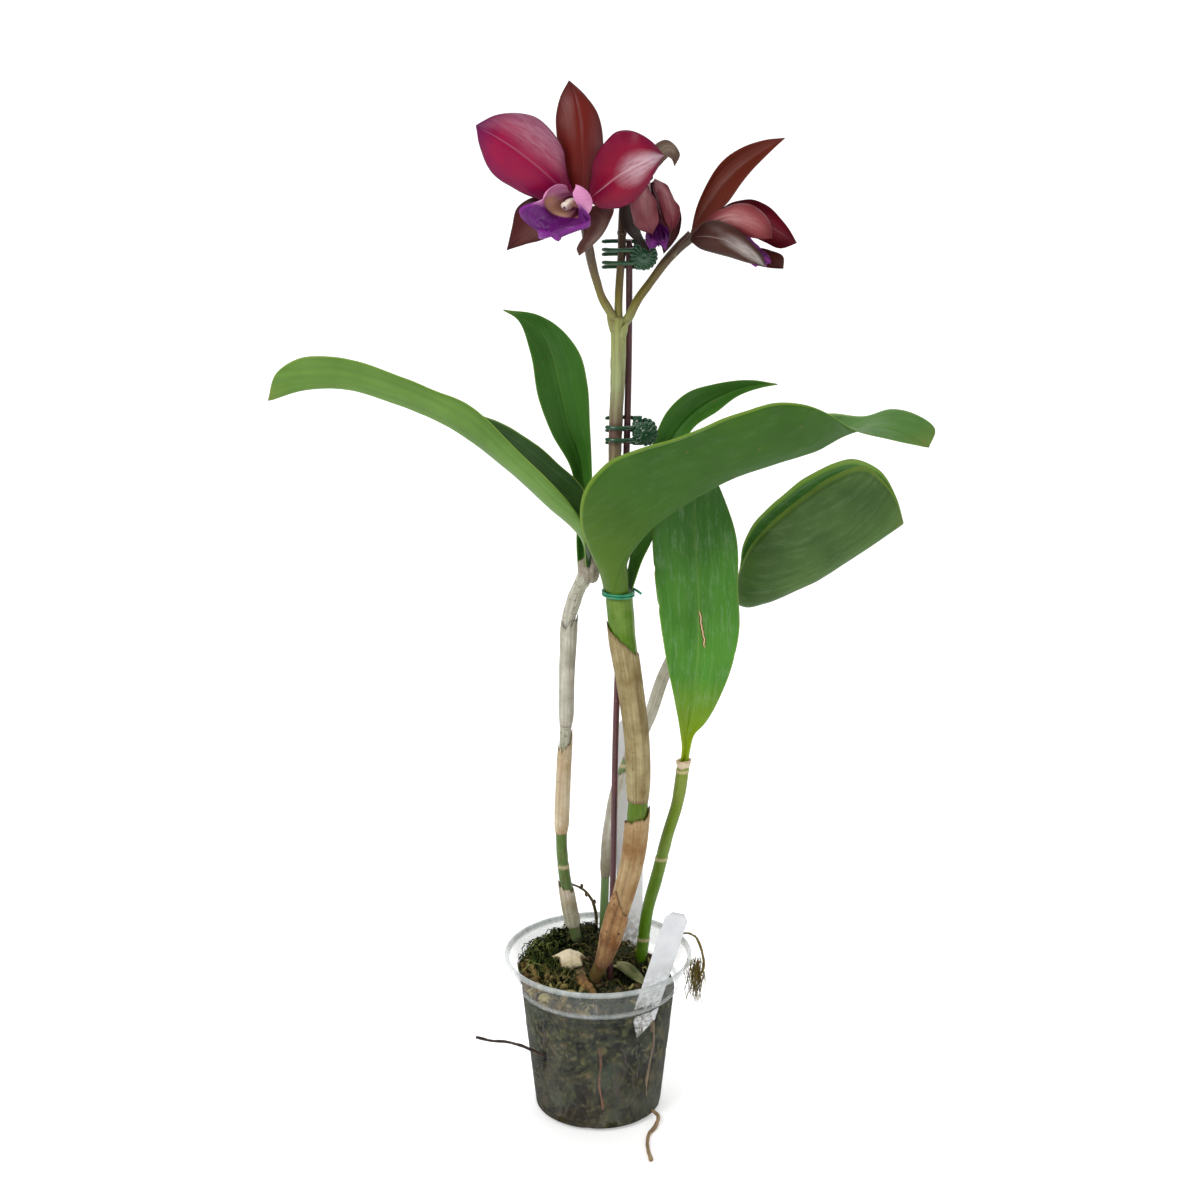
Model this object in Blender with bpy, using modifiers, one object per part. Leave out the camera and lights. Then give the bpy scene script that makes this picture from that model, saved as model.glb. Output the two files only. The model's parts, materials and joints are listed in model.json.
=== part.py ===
"""A potted cattleya orchid in a clear nursery pot, with its stake and two claw clips.

The script works in metres with +Z up. The origin is the centre of the pot's underside, and -Y
is the side that the blooms face. Outline points are written in millimetres and pass through
mm(), because a petal reads more easily as (12, -30, 495) than as (0.012, -0.030, 0.495).
"""

import math
import random

import bmesh
import bpy
import numpy as np
from mathutils import Matrix, Vector

MM = 0.001
GAP = 0.3 * MM

# Pot: a 10 cm clear nursery pot, tapered, with a collar above a ledge
POT_HEIGHT = 89 * MM
RIM_RADIUS = 50 * MM
LEDGE_HEIGHT = 72 * MM
LEDGE_RADIUS = 42.6 * MM
BASE_RADIUS = 35 * MM
WALL = 1.0 * MM
FLOOR = 1.4 * MM
POT_SEGMENTS = 32
DRAIN_COUNT = 8
DRAIN_FIRST_ANGLE = math.radians(-33)
DRAIN_HALF_WIDTH = 3.8 * MM
DRAIN_HALF_HEIGHT = 2.2 * MM
DRAIN_HEIGHT = 4.4 * MM
SLIT_ANGLE = math.radians(223)
SLIT_WIDTH = 3.2 * MM
SLIT_LOW = 33 * MM
SLIT_HIGH = 46 * MM

# Growing mix: bark and moss that fill the pot to below the collar
MIX_LEVEL = 69 * MM
MIX_SEGMENTS = 28
MIX_RINGS = 6
CHIP_COUNT = 15
STRAND_COUNT = 24
MIX_GAP = 0.5 * MM
MIX_SEED = 11

# Blades
LEAF_THICKNESS = 1.6 * MM
PETAL_THICKNESS = 0.9 * MM
SHEATH_WALL = 0.7 * MM

# Stake and plant labels
STAKE_RADIUS = 1.65 * MM
LABEL_WIDTH = 14.5 * MM
LABEL_THICKNESS = 0.7 * MM

# Claw clips: a hinge pin parallel to the stem, fingers to the left and a daisy grip to the right
PIN_RADIUS = 0.8 * MM
KNUCKLE_RADIUS = 2.2 * MM
KNUCKLE_BORE = 0.9 * MM
FINGER_RADIUS = 1.05 * MM
FINGER_PITCH = 6.2 * MM


def mm(*point):
    """One point, or a list of points, given in millimetres, as an array in metres."""
    return np.array(point, float) * MM


def rail(points, count):
    """count points at even distances along a smooth curve through the given points.

    Between two points the curve is the cubic whose end slopes are the centred differences of
    the neighbours, measured along the chords.
    """
    points = np.array(points, float)
    chord = np.linalg.norm(np.diff(points, axis=0), axis=1)
    at = np.concatenate([[0], np.cumsum(chord)])
    slope = np.gradient(points, at, axis=0)
    fine = np.linspace(0, at[-1], 40 * len(points))
    k = np.clip(np.searchsorted(at, fine, side="right") - 1, 0, len(points) - 2)
    h = (at[k + 1] - at[k])[:, None]
    t = ((fine - at[k]) / (at[k + 1] - at[k]))[:, None]
    curve = (
        (2 * t**3 - 3 * t**2 + 1) * points[k]
        + (t**3 - 2 * t**2 + t) * h * slope[k]
        + (3 * t**2 - 2 * t**3) * points[k + 1]
        + (t**3 - t**2) * h * slope[k + 1]
    )
    run = np.concatenate([[0], np.cumsum(np.linalg.norm(np.diff(curve, axis=0), axis=1))])
    even = np.linspace(0, run[-1], count)
    return np.stack([np.interp(even, run, curve[:, axis]) for axis in range(3)], axis=1)


def profile(values, count):
    """count values read evenly along a list of values at equal steps."""
    return np.interp(np.linspace(0, 1, count), np.linspace(0, 1, len(values)), values)


def unit(vector):
    return vector / np.linalg.norm(vector, axis=-1, keepdims=True)


# Scene
for old in list(bpy.data.objects):
    bpy.data.objects.remove(old)
ORCHID = bpy.data.collections.new("potted_cattleya_orchid")
CUTTERS = bpy.data.collections.new("cutters")
bpy.context.scene.collection.children.link(ORCHID)
bpy.context.scene.collection.children.link(CUTTERS)


def finish_material(name, colour, roughness, alpha=1.0):
    made = bpy.data.materials.new(name)
    made.use_nodes = True
    shader = made.node_tree.nodes["Principled BSDF"]
    shader.inputs["Base Color"].default_value = (*colour, 1)
    shader.inputs["Roughness"].default_value = roughness
    shader.inputs["Metallic"].default_value = 0
    shader.inputs["Alpha"].default_value = alpha
    return made


LEAF_GREEN = finish_material("leaf_green", (0.09, 0.19, 0.04), 0.4)
CANE_GREEN = finish_material("cane_green", (0.16, 0.27, 0.05), 0.45)
SHEATH_TAN = finish_material("sheath_tan", (0.52, 0.42, 0.27), 0.8)
SHEATH_WHITE = finish_material("sheath_white", (0.6, 0.58, 0.5), 0.8)
SEPAL_MAROON = finish_material("sepal_maroon", (0.16, 0.02, 0.02), 0.4)
PETAL_CRIMSON = finish_material("petal_crimson", (0.33, 0.03, 0.1), 0.4)
LIP_VIOLET = finish_material("lip_violet", (0.3, 0.03, 0.4), 0.5)
COLUMN_CREAM = finish_material("column_cream", (0.75, 0.66, 0.55), 0.5)
STALK_OLIVE = finish_material("stalk_olive", (0.25, 0.24, 0.08), 0.45)
CLEAR_PLASTIC = finish_material("clear_plastic", (0.85, 0.88, 0.87), 0.25, 0.35)
BARK_MOSS = finish_material("bark_moss", (0.08, 0.07, 0.03), 0.9)
ROOT_BROWN = finish_material("root_brown", (0.2, 0.11, 0.06), 0.8)
LABEL_WHITE = finish_material("label_white", (0.85, 0.86, 0.88), 0.4)
STAKE_MAROON = finish_material("stake_maroon", (0.13, 0.04, 0.05), 0.45)
CLIP_GREEN = finish_material("clip_green", (0.03, 0.11, 0.05), 0.3)
PIN_STEEL = finish_material("pin_steel", (0.5, 0.5, 0.5), 0.3)
TIE_GREEN = finish_material("tie_green", (0.0, 0.3, 0.17), 0.35)


def place(name, data, material, collection=ORCHID):
    data.materials.append(material)
    made = bpy.data.objects.new(name, data)
    collection.objects.link(made)
    if collection is CUTTERS:
        made.hide_render = True
        made.display_type = "WIRE"
    return made


def from_bmesh(name, mesh, material, collection=ORCHID):
    data = bpy.data.meshes.new(name)
    mesh.to_mesh(data)
    mesh.free()
    data.shade_smooth()
    data.set_sharp_from_angle(angle=math.radians(40))
    return place(name, data, material, collection)


def grid_surface(rows, columns, shape):
    """A grid whose points are shape(u, v), with u and v from 0 to 1, split into triangles.

    Points that meet are welded, so a grid that is bent round into a sleeve closes.
    """
    sheet = bmesh.new()
    bmesh.ops.create_grid(sheet, x_segments=rows, y_segments=columns, size=1)
    for vertex in sheet.verts:
        vertex.co = shape((vertex.co.x + 1) / 2, (vertex.co.y + 1) / 2)
    bmesh.ops.remove_doubles(sheet, verts=sheet.verts, dist=0.02 * MM)
    bmesh.ops.triangulate(sheet, faces=sheet.faces, quad_method="FIXED")
    return sheet


def add_wall(piece, thickness, offset=0.0):
    wall = piece.modifiers.new("wall", "SOLIDIFY")
    wall.thickness = thickness
    wall.offset = offset
    return piece


def blade(name, left, middle, right, material, thickness, rows, columns, fold=2.0, ruffle=(0, 0)):
    """A leaf or petal between three rails: its two margins and its midrib.

    Across the blade the surface is the arch  middle + v * (right - left) / 2
    + |v|^fold * ((right + left) / 2 - middle), for v from -1 to 1, so a fold near 1 gives a
    keel and 2 gives a trough. A ruffle lifts the margins by a sine along the blade.
    """
    left, middle, right = (rail(points, rows + 1) for points in (left, middle, right))
    along = unit(np.gradient(middle, axis=0))
    facing = unit(np.cross(right - left + 1e-9, along))
    height, waves = ruffle

    def shape(u, v):
        k = int(round(u * rows))
        side = 2 * v - 1
        point = (
            middle[k]
            + side * (right[k] - left[k]) / 2
            + abs(side) ** fold * ((right[k] + left[k]) / 2 - middle[k])
        )
        lift = height * abs(side) ** 3 * math.sin(math.tau * waves * u + side) * math.sin(math.pi * u)
        return point + lift * facing[k]

    return add_wall(from_bmesh(name, grid_surface(rows, columns, shape), material), thickness)


def stem(name, points, radii, material, count, sides=2, collection=ORCHID):
    """A round stem along a smooth curve, with its radius read along a list of radii."""
    path = rail(points, count)
    radius = profile(radii, count)
    curve = bpy.data.curves.new(name, "CURVE")
    curve.dimensions = "3D"
    curve.bevel_depth = max(radii)
    curve.bevel_resolution = sides
    curve.use_fill_caps = True
    line = curve.splines.new("POLY")
    line.points.add(count - 1)
    for point, place_at, width in zip(line.points, path, radius):
        point.co = (*place_at, 1)
        point.radius = width / max(radii)
    return place(name, curve, material, collection)


def as_mesh(piece):
    """The same object with its curve or its modifiers turned into a plain closed mesh."""
    graph = bpy.context.evaluated_depsgraph_get()
    data = bpy.data.meshes.new_from_object(piece.evaluated_get(graph))
    welded = bmesh.new()
    welded.from_mesh(data)
    bmesh.ops.remove_doubles(welded, verts=welded.verts, dist=0.001 * MM)
    bmesh.ops.recalc_face_normals(welded, faces=welded.faces)
    welded.to_mesh(data)
    welded.free()
    name, collection = piece.name, piece.users_collection[0]
    bpy.data.objects.remove(piece)
    made = bpy.data.objects.new(name, data)
    collection.objects.link(made)
    return made


def combine(piece, others, operation, solver="EXACT"):
    """Joins others to piece, or cuts them from it, and keeps the result as a plain mesh."""
    group = bpy.data.collections.new(piece.name + "_others")
    for other in others:
        group.objects.link(other)
    boolean = piece.modifiers.new(operation.lower(), "BOOLEAN")
    boolean.operation = operation
    boolean.operand_type = "COLLECTION"
    boolean.collection = group
    boolean.solver = solver
    if solver == "EXACT":
        boolean.use_self = operation == "UNION"
    graph = bpy.context.evaluated_depsgraph_get()
    data = bpy.data.meshes.new_from_object(piece.evaluated_get(graph))
    piece.modifiers.clear()
    piece.data = data
    for other in others:
        bpy.data.objects.remove(other)
    bpy.data.collections.remove(group)
    return piece


def keep_largest(piece):
    """Drops every loose scrap that a cut has left, and keeps the body with the most faces."""
    mesh = bmesh.new()
    mesh.from_mesh(piece.data)
    mesh.verts.ensure_lookup_table()
    seen, bodies = set(), []
    for start in mesh.verts:
        if start in seen:
            continue
        body, front = {start}, [start]
        while front:
            for edge in front.pop().link_edges:
                for vertex in edge.verts:
                    if vertex not in body:
                        body.add(vertex)
                        front.append(vertex)
        seen |= body
        bodies.append(body)
    bodies.sort(key=len)
    for body in bodies[:-1]:
        bmesh.ops.delete(mesh, geom=list(body), context="VERTS")
    mesh.to_mesh(piece.data)
    mesh.free()
    return piece


def pot_radius(height):
    """Outer radius of the pot's body at a height below the ledge."""
    return BASE_RADIUS + (LEDGE_RADIUS - BASE_RADIUS) * height / LEDGE_HEIGHT


def clear_pot():
    inner_low = pot_radius(3 * MM) - WALL
    outline = [
        (0, FLOOR),
        (inner_low - 1.2 * MM, FLOOR),
        (inner_low, FLOOR + 1.4 * MM),
        (LEDGE_RADIUS - WALL, LEDGE_HEIGHT - 0.4 * MM),
        (LEDGE_RADIUS - 0.1 * MM, LEDGE_HEIGHT + 1.0 * MM),
        (RIM_RADIUS - 2.5 * MM, POT_HEIGHT - 3 * MM),
        (RIM_RADIUS - 1.5 * MM, POT_HEIGHT - 0.1 * MM),
        (RIM_RADIUS - 0.6 * MM, POT_HEIGHT),
        (RIM_RADIUS, POT_HEIGHT - 0.5 * MM),
        (RIM_RADIUS, POT_HEIGHT - 2.3 * MM),
        (RIM_RADIUS - 1.2 * MM, POT_HEIGHT - 2.9 * MM),
        (LEDGE_RADIUS + 1.1 * MM, LEDGE_HEIGHT + 1.2 * MM),
        (LEDGE_RADIUS + 1.0 * MM, LEDGE_HEIGHT + 0.2 * MM),
        (LEDGE_RADIUS, LEDGE_HEIGHT - 0.5 * MM),
        (pot_radius(1 * MM), 1 * MM),
        (BASE_RADIUS - 1 * MM, 0),
        (0, 0),
    ]
    line = bmesh.new()
    corners = [line.verts.new((radius, 0, height)) for radius, height in outline]
    for first, second in zip(corners, corners[1:]):
        line.edges.new((first, second))
    pot = from_bmesh("clear_pot", line, CLEAR_PLASTIC)
    turn = pot.modifiers.new("turn", "SCREW")
    turn.steps = turn.render_steps = POT_SEGMENTS
    turn.use_merge_vertices = True
    turn.merge_threshold = 0.00001
    pot = as_mesh(pot)
    cutters = []
    for k in range(DRAIN_COUNT):
        angle = DRAIN_FIRST_ANGLE + math.tau * k / DRAIN_COUNT
        hole = bmesh.new()
        bmesh.ops.create_cone(
            hole, cap_ends=True, segments=8, radius1=1, radius2=1, depth=8 * MM
        )
        across = Matrix.Diagonal((DRAIN_HALF_HEIGHT, DRAIN_HALF_WIDTH, 1, 1))
        aim = Matrix.Rotation(angle, 4, "Z") @ Matrix.Rotation(math.radians(90), 4, "Y")
        out = Matrix.Translation(
            (BASE_RADIUS * math.cos(angle), BASE_RADIUS * math.sin(angle), DRAIN_HEIGHT)
        )
        bmesh.ops.transform(hole, matrix=out @ aim @ across, verts=hole.verts)
        cutters.append(from_bmesh("drain_hole", hole, CLEAR_PLASTIC, CUTTERS))
    slit = bmesh.new()
    bmesh.ops.create_cube(slit, size=1)
    middle = (SLIT_LOW + SLIT_HIGH) / 2
    radius = pot_radius(middle)
    sized = Matrix.Diagonal((6 * MM, SLIT_WIDTH, SLIT_HIGH - SLIT_LOW, 1))
    out = Matrix.Translation((radius * math.cos(SLIT_ANGLE), radius * math.sin(SLIT_ANGLE), middle))
    bmesh.ops.transform(slit, matrix=out @ Matrix.Rotation(SLIT_ANGLE, 4, "Z") @ sized, verts=slit.verts)
    cutters.append(from_bmesh("wall_slit", slit, CLEAR_PLASTIC, CUTTERS))
    return combine(pot, cutters, "DIFFERENCE")


# Mounds of the growing mix: centre x, centre y, height and spread, in millimetres
MOUNDS = [(-14, 10, 8, 12.5), (-5, 27, 14, 15), (22, 18, 6, 10), (-9, -7, 6, 7), (-28, -6, 4, 9)]


def mix_height(x, y):
    """Height of the growing mix: a level, low mounds round the canes, and lumps of two sizes."""
    height = MIX_LEVEL
    for middle_x, middle_y, rise, spread in MOUNDS:
        away = (x / MM - middle_x) ** 2 + (y / MM - middle_y) ** 2
        height += rise * MM * math.exp(-away / (2 * spread**2))
    lumps = 1.3 * math.sin(0.45 * x / MM + 1.0) * math.cos(0.52 * y / MM + 0.4)
    crumbs = 0.7 * math.sin(1.1 * x / MM + 0.3 * y / MM) * math.sin(0.9 * y / MM - 0.5)
    fade = min(1.0, max(0.0, (LEDGE_RADIUS - math.hypot(x, y)) / (8 * MM)))
    return MIX_LEVEL + (height - MIX_LEVEL + (lumps + crumbs) * MM) * fade


def tube_mesh(path, radii, sides):
    """A closed tube of few sides along a path: rings joined side by side, with flat ends."""
    path = np.array(path, float)
    along = unit(np.gradient(path, axis=0))
    helper = np.array([0.3, 0.2, 0.93]) if abs(along[0][2]) < 0.9 else np.array([1.0, 0.1, 0])
    across = unit(np.cross(along, helper))
    upward = np.cross(across, along)
    tube = bmesh.new()
    rings = []
    for point, first, second, radius in zip(path, across, upward, radii):
        turns = [math.tau * k / sides for k in range(sides)]
        rings.append(
            [
                tube.verts.new(point + radius * (math.cos(a) * first + math.sin(a) * second))
                for a in turns
            ]
        )
    for ring, following in zip(rings, rings[1:]):
        for k in range(sides):
            tube.faces.new((ring[k], ring[k - 1], following[k - 1], following[k]))
    tube.faces.new(rings[0])
    tube.faces.new(rings[-1][::-1])
    bmesh.ops.recalc_face_normals(tube, faces=tube.faces)
    return tube


def growing_mix(bores):
    """A plug of bark and moss that follows the pot's inner wall, with chips and strands on top."""
    plug = bmesh.new()
    rings = []
    for k in range(1, MIX_RINGS + 1):
        edge = pot_radius(MIX_LEVEL) - WALL - MIX_GAP
        radius = edge * k / MIX_RINGS
        rings.append(("top", radius))
    for height in (48 * MM, 25 * MM, 6 * MM):
        rings.append((height, pot_radius(height) - WALL - MIX_GAP))
    rings.append((FLOOR + GAP, pot_radius(FLOOR) - WALL - 2.2 * MM))
    made = []
    for height, radius in rings:
        ring = []
        for k in range(MIX_SEGMENTS):
            angle = math.tau * (k + 0.5) / MIX_SEGMENTS
            x, y = radius * math.cos(angle), radius * math.sin(angle)
            ring.append(plug.verts.new((x, y, mix_height(x, y) if height == "top" else height)))
        made.append(ring)
    top = plug.verts.new((0, 0, mix_height(0, 0)))
    bottom = plug.verts.new((0, 0, FLOOR + GAP))
    for k in range(MIX_SEGMENTS):
        plug.faces.new((top, made[0][k - 1], made[0][k]))
        plug.faces.new((bottom, made[-1][k], made[-1][k - 1]))
        for ring, following in zip(made, made[1:]):
            plug.faces.new((ring[k - 1], following[k - 1], following[k], ring[k]))
    bmesh.ops.triangulate(plug, faces=plug.faces)
    bmesh.ops.recalc_face_normals(plug, faces=plug.faces)
    mix = from_bmesh("growing_mix", plug, BARK_MOSS)

    draw = random.Random(MIX_SEED)
    grown = []
    for _ in range(CHIP_COUNT):
        away = 37 * MM * math.sqrt(draw.random())
        angle = draw.uniform(0, math.tau)
        x, y = away * math.cos(angle), away * math.sin(angle)
        chip = bmesh.new()
        bmesh.ops.create_cube(chip, size=1)
        sized = Matrix.Diagonal(
            (draw.uniform(5, 9) * MM, draw.uniform(3, 6) * MM, draw.uniform(2.5, 4) * MM, 1)
        )
        turned = Matrix.Rotation(draw.uniform(0, math.tau), 4, "Z") @ Matrix.Rotation(
            draw.uniform(-0.5, 0.5), 4, "X"
        )
        put = Matrix.Translation((x, y, mix_height(x, y) + 0.4 * MM))
        bmesh.ops.transform(chip, matrix=put @ turned @ sized, verts=chip.verts)
        grown.append(from_bmesh("bark_chip", chip, BARK_MOSS))
    for _ in range(STRAND_COUNT):
        away = draw.uniform(8, 36) * MM
        angle = draw.uniform(math.radians(50), math.radians(260))
        x, y = away * math.cos(angle), away * math.sin(angle)
        heading, reach = draw.uniform(0, math.tau), draw.uniform(6, 12) * MM
        rise = draw.uniform(4, 9) * MM
        steps = np.linspace(0, 1, 4)
        path = np.stack(
            [
                x + reach * (steps - 0.5) * math.cos(heading + 0.6 * reach / MM / 10),
                y + reach * (steps - 0.5) * math.sin(heading),
                mix_height(x, y) - 2 * MM + rise * np.sin(math.pi * steps * 0.85),
            ],
            axis=1,
        )
        inward = np.hypot(path[:, 0], path[:, 1]).max() < 39 * MM
        if inward:
            radii = profile([1.0 * MM, 0.8 * MM, 0.5 * MM], len(path))
            grown.append(from_bmesh("moss_strand", tube_mesh(path, radii, 3), BARK_MOSS))
    mix = combine(mix, grown, "UNION", "MANIFOLD")
    mix = combine(mix, bores, "DIFFERENCE", "MANIFOLD")
    return keep_largest(mix)


# Canes: points up the middle of each cane, and its radii from the lowest point to the top
CANES = {
    "cane_left": (
        mm((-9, 13, 66), (-11, 16, 83), (-16, 16, 111), (-19.5, 17.5, 140), (-19, 18, 171),
           (-17, 16, 213), (-16, 14.5, 250), (-13, 13, 279), (-7.5, 12, 292), (-4, 12, 298.5)),
        mm(2.6, 3.2, 3.3, 3.1, 3.0, 3.0, 3.1, 3.2, 3.9, 3.6), 16,
    ),
    "cane_front": (
        mm((-5, -5, 66), (-1.5, -8, 78), (3, -11.5, 90), (8, -13, 108), (13, -12, 126),
           (18, -11, 147), (20.5, -9.5, 175), (20, -8, 212), (16, -7, 244), (12.8, -6, 266),
           (10.3, -6, 290.3)),
        mm(3.4, 3.9, 4.4, 4.9, 5.2, 5.4, 5.5, 5.5, 5.8, 6.8, 7.1), 17,
    ),
    "cane_right": (
        mm((20, 17, 60), (23, 16, 76), (27, 14, 108), (31, 12, 125), (37, 10, 152),
           (42, 7, 172), (44.8, 5, 194.4)),
        mm(3.0, 3.4, 3.3, 3.5, 3.2, 3.3, 3.5), 12,
    ),
    "cane_back": (
        mm((2, 28, 64), (3, 30, 88), (4, 32, 120), (6, 35, 146), (14, 40, 180), (27, 46, 204),
           (36, 50, 229), (52, 51, 256), (69.5, 50, 270.8)),
        mm(2.2, 2.5, 2.3, 2.2, 2.1, 2.2, 2.1, 2.2, 2.8), 17,
    ),
}


def canes():
    for name, (points, radii, count) in CANES.items():
        stem(name, points, radii, CANE_GREEN, count)


def sheath(name, cane, low, high, lift, tilt, facing, point, material, flare=0.0, rows=4, sides=10):
    """A dry papery sleeve round a cane, between two shares of the cane's length.

    Its mouth is slanted: the upper edge stands tilt higher on the side that it faces, and it
    ends in a point of its own height there. lift is how far its inner face stands off the cane.
    """
    points, radii, count = CANES[cane]
    fine = 240
    path = rail(points, fine)
    thick = np.interp(
        np.linspace(0, 1, fine), np.linspace(0, 1, count), profile(radii, count)
    )
    along = unit(np.gradient(path, axis=0))
    right = unit(np.array([1.0, 0, 0]) - along * along[:, :1])
    back = np.cross(along, right)
    step = np.linalg.norm(np.diff(path, axis=0), axis=1).sum() / (fine - 1)

    def shape(u, v):
        angle = math.tau * v
        turned = math.cos(angle - facing)
        rise = tilt * turned + point * max(0.0, turned) ** 8
        at = low + (high - low) * u + rise / step / fine * u**2
        k = min(fine - 1, max(0, int(round(at * (fine - 1)))))
        radius = (thick[k] + lift + flare * u**2) / math.cos(math.pi / sides)
        return path[k] + radius * (math.cos(angle) * right[k] + math.sin(angle) * back[k])

    return add_wall(from_bmesh(name, grid_surface(rows, sides, shape), material), SHEATH_WALL, -1.0)


def sheaths():
    lift = GAP + 0.1 * MM
    over = lift + SHEATH_WALL + GAP
    sheath("sheath_left_top", "cane_left", 0.62, 0.872, lift, 2 * MM, 0.3, 0, SHEATH_WHITE)
    sheath("sheath_left_middle", "cane_left", 0.36, 0.575, lift, 2 * MM, 0.2, 8 * MM, SHEATH_TAN)
    sheath("sheath_left_low", "cane_left", 0.13, 0.235, lift, 2 * MM, 2.6, 0, SHEATH_WHITE)
    sheath("sheath_front_top", "cane_front", 0.512, 0.855, lift, 7 * MM, 3.1, 3 * MM, SHEATH_TAN)
    sheath(
        "sheath_front_middle", "cane_front", 0.22, 0.475, lift, 3 * MM, 0.1, 4 * MM, SHEATH_TAN,
        flare=0.5 * MM,
    )
    sheath(
        "sheath_front_low", "cane_front", 0.10, 0.245, over, 5 * MM, 3.9, 6 * MM, SHEATH_TAN
    )
    sheath(
        "sheath_back_top", "cane_back", 0.53, 0.93, lift + 0.3 * MM, 0, 0, 0, SHEATH_WHITE, rows=6
    )
    sheath("sheath_back_low", "cane_back", 0.24, 0.505, lift, 2 * MM, 0.4, 2 * MM, SHEATH_WHITE)


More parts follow.
